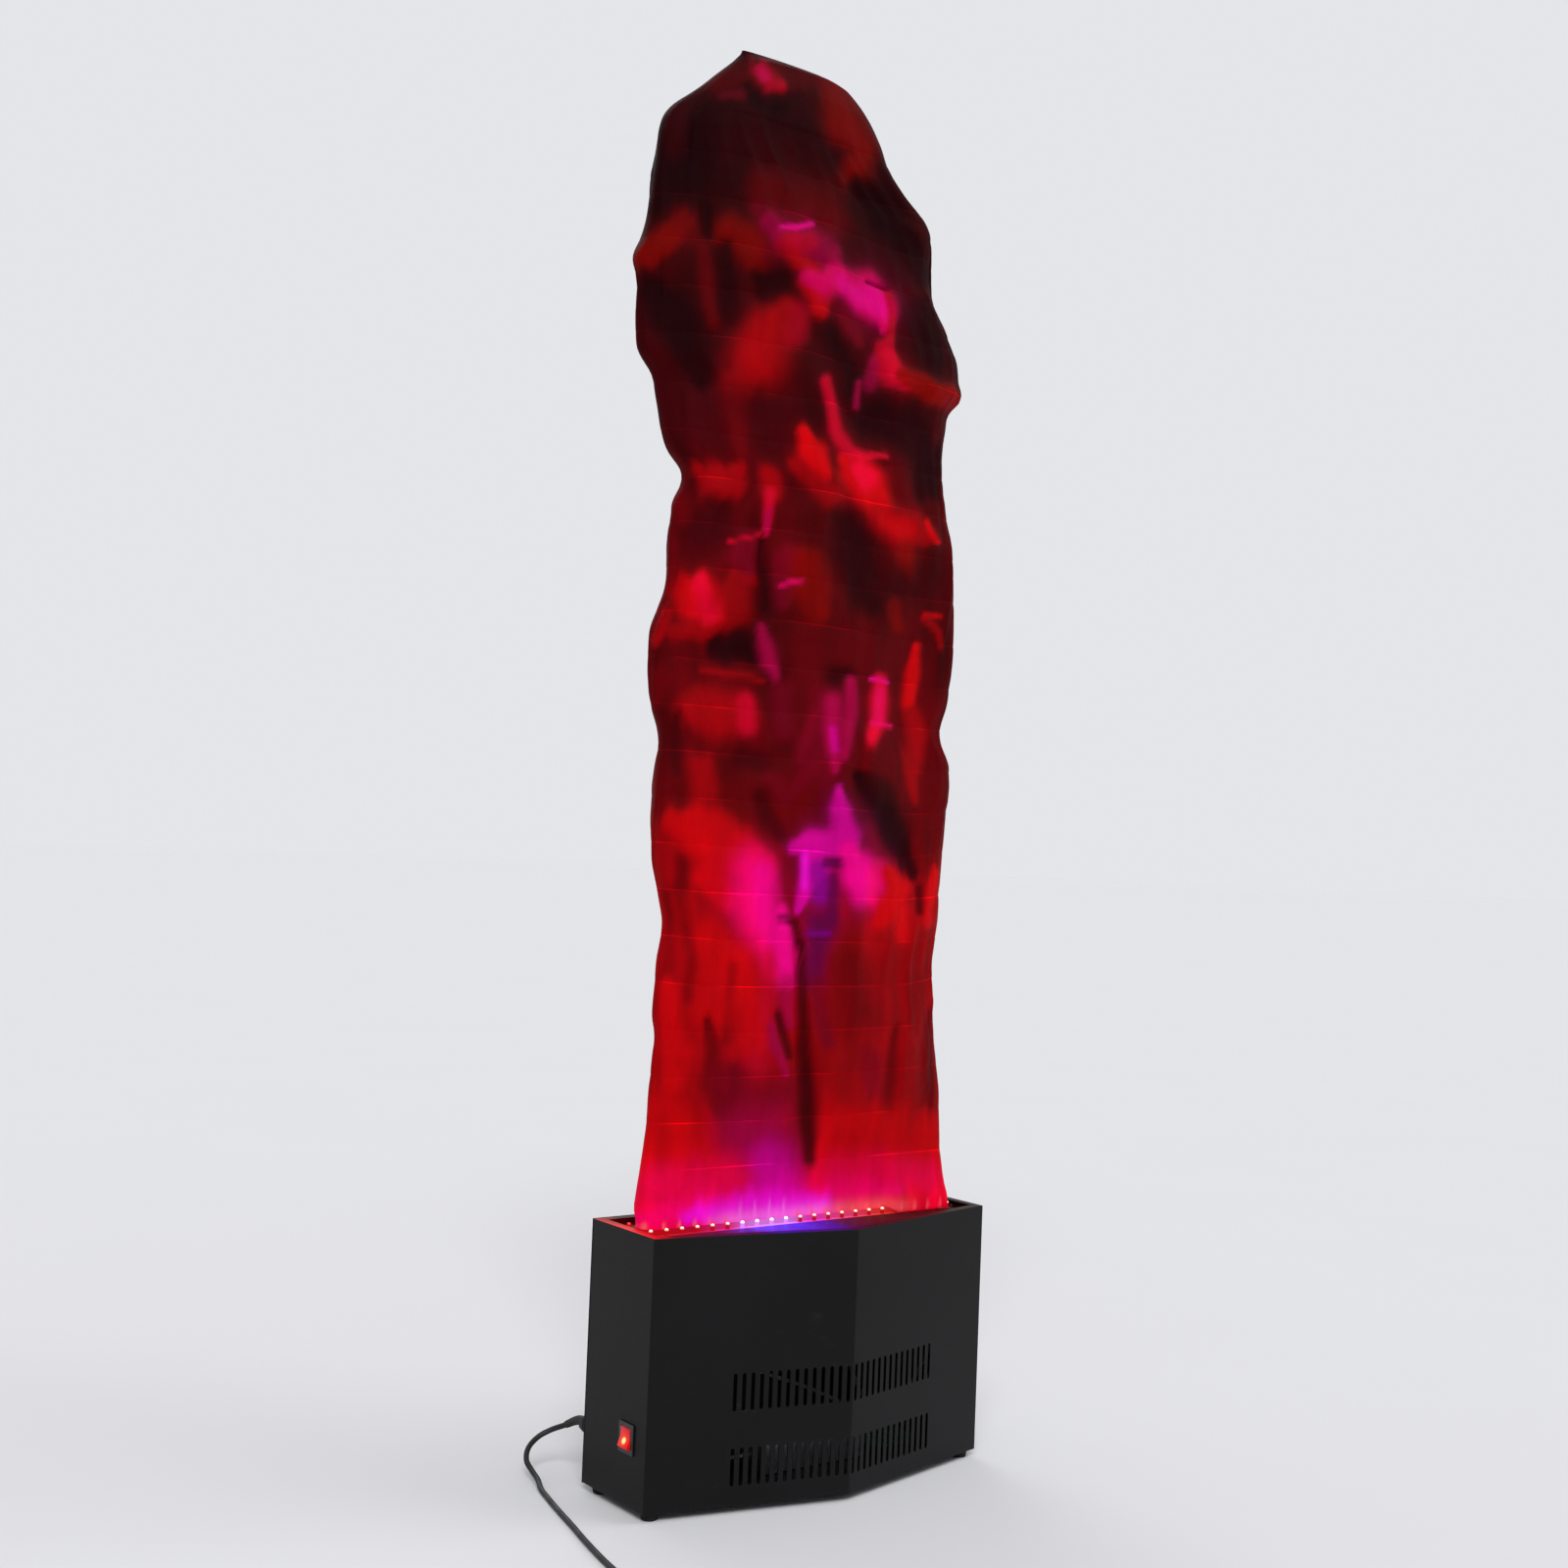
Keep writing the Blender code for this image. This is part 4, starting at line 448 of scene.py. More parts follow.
def silk_finish():
    """Thin woven silk, lit from below: its glow and colours are painted on the mesh."""
    look = Shading("lit_silk", srgb(0.60, 0.0, 0.10), 0.55, 0.0, 0.03)
    flame = look.node("ShaderNodeVertexColor", layer_name="silk_paint").outputs["Color"]
    crease_highlight = look.node("ShaderNodeAttribute", attribute_name="crease_highlight").outputs["Fac"]
    # Streaks: painted shade of the silk's fine vertical folds, drawn out along its height
    streaks = look.spread(look.noise(34.0, 3.0, 0.55, (1.0, 1.0, 0.16), 0.25), 0.88, 1.12)
    cloud = look.spread(look.noise(13.0, 4.0, 0.6, (1.0, 1.0, 0.7), 0.5), 0.84, 1.14)
    seen = look.spread(look.noise(13.0, 2.0, 0.5, (1.0, 1.0, 2.2)), 0.0, 1.1, 0.44, 0.66)
    # Painted highlight: the silk is lighter along each crease ring, in broken stretches
    line = look.math("ADD", 1.0, look.math("MULTIPLY", crease_highlight, seen))
    shade = look.math("MULTIPLY", look.math("MULTIPLY", streaks, cloud), line)
    varied = look.scaled(flame, shade)
    look.feed(look.scaled(varied, 0.55), "Base Color")
    look.glow(varied, 0.50)
    height = look.math("ADD", weave_height(look, 650.0), look.math("MULTIPLY", look.noise(120.0, 4.0), 2.2))
    look.bump(height, 0.35, 0.0006)
    return look


def board_finish():
    """White lacquered strip with faint copper tracks, washed by its own lights."""
    look = Shading("light_strip", srgb(0.86, 0.84, 0.82), 0.35)
    wash = lit_along(look, FRONT_BOARD_LOW.x, FRONT_BOARD_HIGH.x, BOARD_GLOW)
    tracks = look.spread(look.noise(90.0, 1.0, 0.5, (0.3, 6.0, 1.0)), 0.0, 0.25, 0.52, 0.56)
    look.feed(look.mix(tracks, look.scaled(wash, 0.6), srgb(0.55, 0.35, 0.16)), "Base Color")
    look.glow(wash, 0.45)
    return look


def light_finish(name, body, tip, strength):
    """A clear dome lit from inside, whitest at its tip."""
    look = Shading(name, body, 0.12)
    _, _, z = look.axes()
    board_top = FRONT_BOARD_HIGH.z - LIGHT_HEIGHT
    high = look.spread(z, 0.0, 1.0, board_top + 0.62 * LIGHT_HEIGHT, board_top + 0.92 * LIGHT_HEIGHT)
    tint = look.mix(high, body, tip)
    look.feed(look.mix(look.noise(900.0), look.scaled(tint, 0.6), body), "Base Color")
    look.glow(tint, strength)
    return look


def rocker_finish():
    """Clear red plastic with a neon lamp glowing behind its lower middle."""
    look = Shading("lit_rocker", srgb(0.50, 0.01, 0.01), 0.22, 0.0, 0.3)
    low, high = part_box("switch_rocker")
    level = low.z + ROCKER_GLOW_SHARE * (high.z - low.z)
    lamp = Vector((low.x + ROCKER_GLOW_DEPTH, (low.y + high.y) / 2, level))
    away = look.node("ShaderNodeVectorMath", operation="DISTANCE")
    look.link(look.place, away.inputs[0])
    away.inputs[1].default_value = lamp
    hot = look.spread(away.outputs["Value"], 1.0, 0.0, *ROCKER_CORE_REACH)
    warm = look.spread(away.outputs["Value"], 1.0, 0.0, *ROCKER_HAZE_REACH)
    glow = look.mix(warm, srgb(0.62, 0.0, 0.0), srgb(0.94, 0.10, 0.02))
    glow = look.mix(hot, glow, srgb(1.0, 0.95, 0.55))
    look.glow(glow, 1.0)
    look.feed(look.mix(look.noise(300.0), srgb(0.40, 0.01, 0.01), srgb(0.52, 0.02, 0.02)), "Base Color")
    look.put("Coat Weight", 0.15)
    return look


def band_finish(name, low, high):
    """Ribbed elastic webbing."""
    look = Shading(name, high, 0.85, 0.0, 0.1)
    height = weave_height(look, 420.0)
    look.feed(look.mix(height, low, high), "Base Color")
    look.bump(height, 0.7, 0.0006)
    return look


def hem_finish():
    """The gathered hem, lit by the row of lights in front of it."""
    look = band_finish("lit_hem", srgb(0.36, 0.0, 0.05), srgb(0.55, 0.0, 0.08))
    look.glow(lit_along(look, FRONT_BOARD_LOW.x, FRONT_BOARD_HIGH.x, BOARD_GLOW), 0.62)
    return look


def board_green_finish():
    """Green lacquer over paler, slightly raised tracks."""
    look = Shading("green_circuit_board", srgb(0.05, 0.28, 0.13), 0.32)
    tracks = look.spread(look.noise(140.0, 1.0, 0.5, (1.0, 0.3, 1.0)), 0.0, 1.0, 0.50, 0.53)
    look.feed(look.mix(tracks, srgb(0.03, 0.22, 0.10), srgb(0.09, 0.40, 0.20)), "Base Color")
    look.bump(tracks, 0.3, 0.0002)
    return look


def lead_finish(name, low, high):
    """Sheathing between two tones, with a fine grain."""
    look = Shading(name, srgb(*high), 0.5)
    look.feed(look.mix(look.noise(40.0, 2.0, 0.5, (1, 1, 1)), srgb(*low), srgb(*high)), "Base Color")
    look.feed(look.spread(look.noise(200.0, 3.0), 0.40, 0.60), "Roughness")
    look.bump(look.noise(500.0, 2.0), 0.2, 0.0003)
    return look


PAINT = paint_finish().material
SHELL = shell_finish().material
PLATE = plate_finish().material
ZINC = zinc_finish().material
SILK = silk_finish().material
STRIP = board_finish().material
RED_LIGHT = light_finish("red_light", srgb(0.50, 0.01, 0.04), srgb(1.0, 0.88, 0.76), 1.5).material
DIM_LIGHT = light_finish("dim_red_light", srgb(0.62, 0.02, 0.04), srgb(0.95, 0.16, 0.10), 0.9).material
VIOLET_LIGHT = light_finish("violet_light", srgb(0.55, 0.32, 0.92), srgb(1.0, 0.96, 1.0), 2.4).material
ROCKER = rocker_finish().material
FAN = plain_finish("fan_plastic", srgb(0.13, 0.13, 0.14), 0.5, 600.0, 0.0003).material
NYLON = plain_finish("black_moulding", srgb(0.10, 0.10, 0.11), 0.42, 800.0, 0.0003).material
RUBBER = plain_finish(
    "foot_rubber_grain", srgb(0.09, 0.09, 0.09), 0.82, 500.0, 0.0006, 0.0, 0.3, 0.25
).material
CORD = plain_finish("cord_sheath", srgb(0.075, 0.075, 0.08), 0.52, 900.0, 0.0003, 0.0, 0.2, 0.4).material
SCREW = plain_finish("black_zinc_screw", srgb(0.24, 0.24, 0.26), 0.34, 700.0, 0.0002, 0.9).material
NICKEL = plain_finish("plug_pin_nickel", srgb(0.80, 0.79, 0.76), 0.22, 900.0, 0.0001, 1.0, 0.08).material
BAND = band_finish("woven_band", srgb(0.05, 0.05, 0.055), srgb(0.16, 0.16, 0.17)).material
HEM = hem_finish().material
CIRCUIT = board_green_finish().material
LEAD = lead_finish("lead_sheath", (0.42, 0.42, 0.44), (0.52, 0.52, 0.54)).material


# Mesh helpers

MERGE_DISTANCE = 0.00001
PATH_STEPS = 24


def new_piece(name, mesh, material, body):
    """Adds a piece that rides on a body and has a material slot."""
    obj = in_scene(name, mesh)
    mesh.materials.append(material)
    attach(obj, body)
    return obj


def shade(mesh, smooth=True):
    """Shades a mesh's faces smooth, or else flat."""
    for polygon in mesh.polygons:
        polygon.use_smooth = smooth


def mesh_of(name, bm, smooth=True):
    """Turns the faces outwards and makes the mesh."""
    bmesh.ops.recalc_face_normals(bm, faces=bm.faces)
    mesh = bpy.data.meshes.new(name)
    bm.to_mesh(mesh)
    bm.free()
    shade(mesh, smooth)
    return mesh


def sharpened(mesh, degrees=38.0):
    """Keeps edges crisp where the faces turn by more than the angle."""
    mesh.set_sharp_from_angle(angle=math.radians(degrees))
    return mesh


def thicken(obj, thickness, offset):
    """Gives a thin piece its thickness: all of it inside at offset -1, outside at 1."""
    solid = obj.modifiers.new("thickness", "SOLIDIFY")
    solid.thickness = thickness
    solid.offset = offset


def circle(bm, centre, side, other, radius, steps):
    """Corners round a centre, in the plane of two directions."""
    ring = []
    for i in range(steps):
        angle = 2 * math.pi * i / steps
        ring.append(bm.verts.new(centre + (side * math.cos(angle) + other * math.sin(angle)) * radius))
    return ring


def rounded_square(angle, power):
    """A place on an outline from -1 to 1 both ways, squarer with a lower power."""
    cos, sin = math.cos(angle), math.sin(angle)
    return math.copysign(abs(cos) ** power, cos), math.copysign(abs(sin) ** power, sin)


def join_rings(bm, rings, capped=False):
    """Faces between rings with as many corners each, and over both ends if capped."""
    for below, above in zip(rings, rings[1:]):
        for i in range(len(below)):
            j = (i + 1) % len(below)
            bm.faces.new((below[i], below[j], above[j], above[i]))
    if capped:
        bm.faces.new(rings[0])
        bm.faces.new(list(reversed(rings[-1])))


def lathe(bm, profile, place, axis, steps=24):
    """A turned shape: (radius, distance along the axis) points swept round the axis from the place."""
    axis = Vector(axis).normalized()
    side = axis.orthogonal().normalized()
    other = axis.cross(side)
    rings = []
    for radius, along in profile:
        centre = Vector(place) + axis * along
        on_axis = radius < MERGE_DISTANCE
        rings.append([bm.verts.new(centre)] if on_axis else circle(bm, centre, side, other, radius, steps))
    for below, above in zip(rings, rings[1:]):
        for i in range(steps):
            j = (i + 1) % steps
            low, high = len(below), len(above)
            corners = [below[i % low], below[j % low], above[j % high], above[i % high]]
            bm.faces.new(list(dict.fromkeys(corners)))


def rounded_block(bm, low, high, radius, segments=3):
    """A box with its edges rounded."""
    low, high = Vector(low), Vector(high)
    made = bmesh.ops.create_cube(bm, size=1.0)["verts"]
    for vert in made:
        vert.co = Vector([low[k] + (vert.co[k] + 0.5) * (high[k] - low[k]) for k in range(3)])
    edges = list({edge for vert in made for edge in vert.link_edges})
    bmesh.ops.bevel(bm, geom=edges, offset=radius, segments=segments, affect="EDGES", profile=0.5)


def path_distances(points):
    """How far along a path each of its points lies."""
    steps = np.linalg.norm(np.diff(np.asarray(points), axis=0), axis=1)
    return np.concatenate([[0.0], np.cumsum(steps)])


def smooth_path(knots, step):
    """Evenly spaced points on a smooth curve that passes through the knots."""
    knots = [Vector(k) for k in knots]
    ends = [2 * knots[0] - knots[1], *knots, 2 * knots[-1] - knots[-2]]
    fine = []
    for a, b, c, d in zip(ends, ends[1:], ends[2:], ends[3:]):
        for i in range(PATH_STEPS):
            t = i / PATH_STEPS
            square = (2 * a - 5 * b + 4 * c - d) * t * t
            cube = (3 * b - a - 3 * c + d) * t ** 3
            fine.append((2 * b + (c - a) * t + square + cube) / 2)
    fine.append(knots[-1])
    fine = np.array(fine)
    along = path_distances(fine)
    spots = np.linspace(0.0, along[-1], max(2, round(along[-1] / step) + 1))
    return at_distances(fine, along, spots)


def at_distances(points, along, spots):
    """Places on a path at distances along it."""
    return np.column_stack([np.interp(spots, along, points[:, k]) for k in range(3)])


# Mains lead

# Connector: its sections are share of its length, of its width and of its height
CONNECTOR_FACE_GAP = 0.0003
CONNECTOR_HALF_WIDTH = 0.0080
CONNECTOR_HALF_HEIGHT = 0.01175
CONNECTOR_SECTIONS = ((0.0, 1.0, 1.0), (0.35, 1.0, 0.98), (0.72, 0.95, 0.86), (1.0, 0.85, 0.65))
CONNECTOR_SIDES = 32
CONNECTOR_POWER = 0.35
NOSE_OVERLAP = 0.0008
NOSE_EDGE = 0.0012
GRIP_RIBS = 4
GRIP_RIB_START = 0.010
GRIP_RIB_PITCH = 0.0042
GRIP_RIB_LENGTH = 0.0018
GRIP_RIB_HALF_WIDTH = 0.0086
GRIP_RIB_HALF_HEIGHT = 0.0075
GRIP_RIB_EDGE = 0.0006

# Plug: profiles are radius and distance along its axis
PLUG_RIBS = 6
PLUG_RIB_PITCH = 0.0033
PLUG_GROOVE = 0.0010
PLUG_BODY = (
    (0.0085, 0.0205), (0.0098, 0.0220), (0.0105, 0.0300), (0.0112, 0.0380), (0.0124, 0.0450),
    (0.0150, 0.0470), (0.0176, 0.0480), (0.0184, 0.0492), (0.0185, 0.0540), (0.0180, 0.0551),
    (0.0170, 0.0556), (0.0, 0.0556),
)
PIN_ROOT = 0.0553
PIN_SPACING = 0.019
PIN_SIDES = 20
PIN = (
    (0.0, 0.0095), (0.0022, 0.0095), (0.0024, 0.0100), (0.0024, 0.0178), (0.0016, 0.0190), (0.0, 0.0193),
)
SLEEVE = ((0.0, 0.0), (0.0021, 0.0), (0.0021, 0.0100), (0.0, 0.0100))

# Strap round the coil: its edges are place across its width, and how far they are eased in
STRAP_ROOM = 0.0044
STRAP_TOP_ROOM = 0.0038
STRAP_LIFT = 0.0008
STRAP_ANGLE = math.radians(135)
STRAP_SIDES = 48
STRAP_POWER = 0.45
STRAP_THICKNESS = 0.0009
STRAP_EDGES = ((-0.006, 0.0002), (-0.0055, 0.0), (0.0055, 0.0), (0.006, 0.0002))


def coil_points():
    """In along the lower layer, up in half a turn, out along the upper one."""
    points = []
    steps = round(COIL_TURNS * COIL_LOOP_POINTS)
    for i in range(steps + 1):
        turn = COIL_TURNS * i / steps
        radius = COIL_OUTER_RADIUS - COIL_STEP * min(turn, COIL_TURNS - turn)
        climb = float(smoothstep(2 * (turn - COIL_TURNS / 2) + 0.5))
        angle = -2 * math.pi * turn
        points.append(Vector((
            COIL_CENTRE[0] + radius * math.cos(angle),
            COIL_CENTRE[1] + radius * math.sin(angle),
            COIL_LOW_Z + COIL_STEP * climb,
        )))
    return points


def coil_heading():
    """Which way the lead leaves its coil."""
    angle = -2 * math.pi * COIL_TURNS
    return Vector((math.sin(angle), -math.cos(angle), 0.0))


def cord_route():
    """The whole lead's line: out of the connector, down, along the floor, round the coil and to the plug."""
    straight = Vector((0.0, CORD_DIAMETER, 0.0))
    winding = coil_points()
    coil_start = Vector((*winding[0].xy, COIL_LOW_Z)) + straight
    lead_in = [coil_start + 2 * straight, coil_start + straight, coil_start]
    knots = [CORD_START, CORD_START + straight, *CORD_KNOTS, *lead_in]
    route = [Vector(p) for p in smooth_path(knots, CORD_STEP)]
    hidden = [CORD_START - Vector((0.0, CORD_HIDDEN, 0.0))]
    tail = []
    for i in range(1, TAIL_POINTS + 1):
        share = i / TAIL_POINTS
        rise = (TAIL_Z - winding[-1].z) * float(smoothstep(share / TAIL_LEVEL_SHARE))
        tail.append(winding[-1] + coil_heading() * TAIL_LENGTH * share + Vector((0.0, 0.0, rise)))
    return hidden + route + winding + tail, route, tail[-1]


def make_cord(points):
    """The mains lead as one round tube along its points."""
    curve = bpy.data.curves.new("mains_lead", "CURVE")
    curve.dimensions = "3D"
    curve.bevel_depth = CORD_DIAMETER / 2
    curve.bevel_resolution = 5
    curve.use_fill_caps = True
    spline = curve.splines.new("POLY")
    spline.points.add(len(points) - 1)
    for i, point in enumerate(points):
        spline.points[i].co = (*point, 1.0)
    spline.use_smooth = True
    lead = new_piece("mains_lead", curve, CORD, "base")
    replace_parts(lead, "cord_free", "cord_coil")
    return lead


def make_connector(route):
    """Moulded connector with grip ribs, and a ribbed boot that narrows along the lead."""
    low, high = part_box("mains_connector")
    x, z = CORD_START.x, CORD_START.z
    face = CORD_EXIT.y + CONNECTOR_FACE_GAP
    body = CORD_START.y - face
    bm = bmesh.new()
    rings = []
    for share, wide, tall in CONNECTOR_SECTIONS:
        half_x, half_z = CONNECTOR_HALF_WIDTH * wide, CONNECTOR_HALF_HEIGHT * tall
        ring = []
        for i in range(CONNECTOR_SIDES):
            round_x, round_z = rounded_square(2 * math.pi * (i + 0.5) / CONNECTOR_SIDES, CONNECTOR_POWER)
            ring.append(bm.verts.new((x + round_x * half_x, face + body * share, z + round_z * half_z)))
        rings.append(ring)
    join_rings(bm, rings, capped=True)
    rounded_block(bm, low, (high.x, face + NOSE_OVERLAP, z + (z - low.z)), NOSE_EDGE)
    for i in range(GRIP_RIBS):
        start = face + GRIP_RIB_START + GRIP_RIB_PITCH * i
        corner = (x - GRIP_RIB_HALF_WIDTH, start, z - GRIP_RIB_HALF_HEIGHT)
        opposite = (x + GRIP_RIB_HALF_WIDTH, start + GRIP_RIB_LENGTH, z + GRIP_RIB_HALF_HEIGHT)
        rounded_block(bm, corner, opposite, GRIP_RIB_EDGE, 2)
    mesh = sharpened(mesh_of("connector_moulding", bm))
    moulding = new_piece("connector_moulding", mesh, CORD, "base")
    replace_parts(moulding, "mains_connector")
    boot = new_piece("connector_boot", boot_mesh(route), CORD, "base")
    return [moulding, boot]


def boot_mesh(route):
    """Rings round the lead's first stretch: flat ribs with gaps, as a moulded strain relief has."""
    spots = np.linspace(0.0, BOOT_LENGTH, BOOT_RINGS)
    line = at_distances(np.array(route), path_distances(route), spots)
    last = BOOT_RINGS - 1
    bm = bmesh.new()
    rings = []
    for i, spot in enumerate(spots):
        ahead = Vector(line[min(i + 1, last)] - line[max(i - 1, 0)]).normalized()
        side = ahead.cross(Vector((0.0, 0.0, 1.0))).normalized()
        radius = BOOT_RADIUS + (BOOT_TIP_RADIUS - BOOT_RADIUS) * spot / BOOT_LENGTH
        in_groove = i % BOOT_RIB_RINGS >= BOOT_RIB_RINGS - BOOT_GROOVE_RINGS
        if in_groove and BOOT_PLAIN_RINGS < i < last - BOOT_PLAIN_RINGS:
            radius -= BOOT_GROOVE
        rings.append(circle(bm, Vector(line[i]), side, side.cross(ahead), radius, BOOT_SIDES))
    join_rings(bm, rings, capped=True)
    return sharpened(mesh_of("connector_boot", bm), 30.0)


def make_plug(end):
    """Moulded plug: ribbed boot, waisted grip, round front and two pins with sleeves."""
    heading = coil_heading()
    across = Vector((-heading.y, heading.x, 0.0))
    profile = [(0.0, 0.0003), (0.0040, 0.0003)]
    for i in range(PLUG_RIBS):
        radius = BOOT_TIP_RADIUS + (BOOT_RADIUS - BOOT_TIP_RADIUS) * i / (PLUG_RIBS - 1)
        start = PLUG_RIB_PITCH * i
        profile += [(radius, 0.0006 + start), (radius, 0.0028 + start)]
        if i < PLUG_RIBS - 1:
            profile += [(radius - PLUG_GROOVE, 0.0029 + start), (radius - PLUG_GROOVE, 0.0038 + start)]
    bm = bmesh.new()
    lathe(bm, [*profile, *PLUG_BODY], end, heading, 48)
    mesh = sharpened(mesh_of("plug_moulding", bm), 30.0)
    plug = new_piece("plug_moulding", mesh, CORD, "base")
    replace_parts(plug, "mains_plug")
    parts = [plug]
    for name, outline, material in (("plug_pins", PIN, NICKEL), ("plug_pin_sleeves", SLEEVE, NYLON)):
        bm = bmesh.new()
        for side in (-0.5, 0.5):
            lathe(bm, outline, end + heading * PIN_ROOT + across * side * PIN_SPACING, heading, PIN_SIDES)
        parts.append(new_piece(name, sharpened(mesh_of(name, bm)), material, "base"))
    return parts


def make_tie():
    """A soft strap round the coil's windings, with a rounded run over the top."""
    low, high = COIL_INNER_RADIUS - STRAP_ROOM, COIL_OUTER_RADIUS + STRAP_ROOM
    top = COIL_LOW_Z + COIL_STEP + STRAP_TOP_ROOM
    middle = ((low + high) / 2, top / 2)
    outline = []
    for i in range(STRAP_SIDES):
        round_x, round_z = rounded_square(2 * math.pi * i / STRAP_SIDES, STRAP_POWER)
        outline.append((middle[0] + round_x * (high - low) / 2, middle[1] + round_z * top / 2 + STRAP_LIFT))
    bm = bmesh.new()
    rings = []
    for across, inward in STRAP_EDGES:
        ring = []
        for radial, z in outline:
            out = Vector((radial - middle[0], z - middle[1], 0)).normalized() * -inward
            place = Vector((radial + out.x, across, max(0.0, z + out.y)))
            place.rotate(Matrix.Rotation(STRAP_ANGLE, 3, "Z"))
            ring.append(bm.verts.new(place + Vector((*COIL_CENTRE, 0.0))))
        rings.append(ring)
    join_rings(bm, rings)
    tie = new_piece("coil_strap", mesh_of("coil_strap", bm), BAND, "base")
    thicken(tie, STRAP_THICKNESS, 1.0)
    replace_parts(tie, "cord_tie")
    return tie


# Silk flame

SILK_AROUND = 340
SILK_UP = 250
SILK_THICKNESS = 0.0004
SILK_TOP_Z = SILK_HIGH.z
HEM_HALF_X = 0.2433
HEM_HALF_Y = 0.0188
HEM_SPREAD_HEIGHT = 0.025
HEM_CORNER = 0.005
MORPH_HEIGHT = 0.20
VIEW_SLOPE = 0.76
# The flame's outline in the photograph: pixel row, left and right pixel columns
SILHOUETTE = (
    (50, 758, 776), (60, 744, 802), (70, 730, 826), (80, 716, 845), (90, 702, 858),
    (100, 688, 868), (110, 679, 875), (120, 675, 881), (140, 671, 891), (160, 668, 899),
    (180, 665, 907), (200, 663, 917), (220, 661, 931), (235, 657, 946), (250, 651, 953),
    (280, 649, 953), (310, 647, 953), (330, 647, 960), (350, 648, 968), (362, 654, 972),
    (375, 664, 976), (400, 668, 975), (416, 671, 973), (426, 672, 963), (440, 674, 962),
    (460, 681, 959), (475, 695, 958), (490, 694, 958), (510, 685, 957), (540, 679, 959),
    (570, 678, 963), (600, 676, 965), (620, 667, 965), (640, 659, 964), (670, 657, 964),
    (700, 658, 962), (720, 660, 960), (740, 668, 954), (755, 671, 954), (780, 667, 966),
    (810, 664, 967), (850, 662, 963), (880, 663, 959), (910, 668, 956), (940, 674, 954),
    (965, 671, 951), (985, 668, 948), (1010, 666, 949), (1040, 664, 951), (1060, 668, 952),
    (1080, 665, 955), (1110, 662, 958), (1150, 659, 958), (1180, 654, 958), (1210, 649, 957),
    (1235, 645, 957),
)
# Height, half depth and shift back
SILK_DEPTHS = (
    (0.337, 0.019, 0.000), (0.377, 0.026, 0.000), (0.437, 0.034, 0.000),
    (0.577, 0.046, 0.002), (0.757, 0.050, 0.003), (0.917, 0.054, 0.004),
    (1.077, 0.058, 0.006), (1.257, 0.062, 0.004), (1.457, 0.068, 0.006),
    (1.557, 0.068, 0.008), (1.657, 0.066, 0.008), (1.737, 0.060, 0.008),
    (1.787, 0.050, 0.008), (1.822, 0.032, 0.008), (1.839, 0.004, 0.008),
)
FOLD_DEPTH = 0.011
# Folds round the flame: how many, how many turns they drift a metre, phase in turns, share
SILK_FOLDS = ((5, 0.55, 0.10, 0.55), (8, -0.9, 0.35, 0.3), (3, 0.8, 0.62, 0.35))
# The low fold that hangs over the lamps at the right: height above their tips,
# how far forward it lies there, and how far it droops
OVERHANG_START_X = 0.128
OVERHANG_EASE_X = 0.018
OVERHANG = (
    (0.0004, 0.0000, 0.0000), (0.0010, 0.0030, 0.0000), (0.0014, 0.0085, 0.0000),
    (0.0018, 0.0130, 0.0018), (0.0022, 0.0150, 0.0050), (0.0026, 0.0165, 0.0082),
    (0.0030, 0.0178, 0.0092), (0.0034, 0.0186, 0.0084), (0.0044, 0.0190, 0.0056),
    (0.0070, 0.0190, 0.0016), (0.0140, 0.0176, 0.0000), (0.0380, 0.0088, 0.0000),
    (0.0700, 0.0000, 0.0000),
)
CREASE_FIRST_Z = 0.406
CREASE_PITCH = 0.0577
CREASES = 24
CREASE_HALF_WIDTH = 0.0014
CREASE_DEPTH = 0.0016
# Rings are left out this near to a crease, and this near to a level a little over the lamps' tips
CREASE_ROOM = 0.0028
OVERHANG_MIDDLE = 0.002
OVERHANG_ROOM = 0.0025
# How deep the silk's billows, ridges, puckers and crinkles are, and how far the billows sag
BILLOW_DEPTH = 0.0060
RIDGE_DEPTH = 0.0026
PUCKER_DEPTH = 0.0014
CRINKLE_DEPTH = 0.0007
BILLOW_SAG = 0.005
# The haze and the streaks of light low on the silk
HAZE_HEIGHT = 0.0100
# Tone, strength, and where along the row each haze begins and ends, with how softly
HAZES = (
    ("blush", 0.80, -0.17, 0.06, 0.09, 0.08),
    ("coral", 0.70, 0.02, 0.06, 0.19, 0.06),
)
STREAK_HALF_WIDTH = 0.0030
VIOLET_STREAK_HEIGHT = 0.024
RED_STREAK_HEIGHT = 0.008
# Where the silk turns from its shown side to its hidden one, and how soon its relief is whole beside that
TURN_FACING = -0.12
TURN_BLANK = 0.02
TURN_EASE = 0.30

TONES = {
    "ember": srgb(0.13, 0.0, 0.015),
    "maroon": srgb(0.25, 0.0, 0.02),
    "dusk": srgb(0.33, 0.0, 0.02),
    "deep_red": srgb(0.42, 0.0, 0.025),
    "wine": srgb(0.47, 0.0, 0.10),
    "brick": srgb(0.55, 0.01, 0.0),
    "red": srgb(0.62, 0.0, 0.03),
    "scarlet": srgb(0.82, 0.0, 0.035),
    "hot_red": srgb(0.92, 0.0, 0.18),
    "pink_red": srgb(0.90, 0.0, 0.27),
    "crimson": srgb(0.80, 0.0, 0.15),
    "rose": srgb(0.66, 0.0, 0.25),
    "hot_pink": srgb(0.97, 0.0, 0.40),
    "bright_pink": srgb(1.0, 0.0, 0.56),
    "magenta": srgb(0.86, 0.0, 0.58),
    "fuchsia": srgb(0.95, 0.05, 0.82),
    "blush": srgb(1.0, 0.42, 0.86),
    "coral": srgb(0.98, 0.34, 0.38),
    "violet": srgb(0.52, 0.0, 0.55),
    "plum": srgb(0.36, 0.0, 0.26),
}
SWATHE_BLUR = 1.35
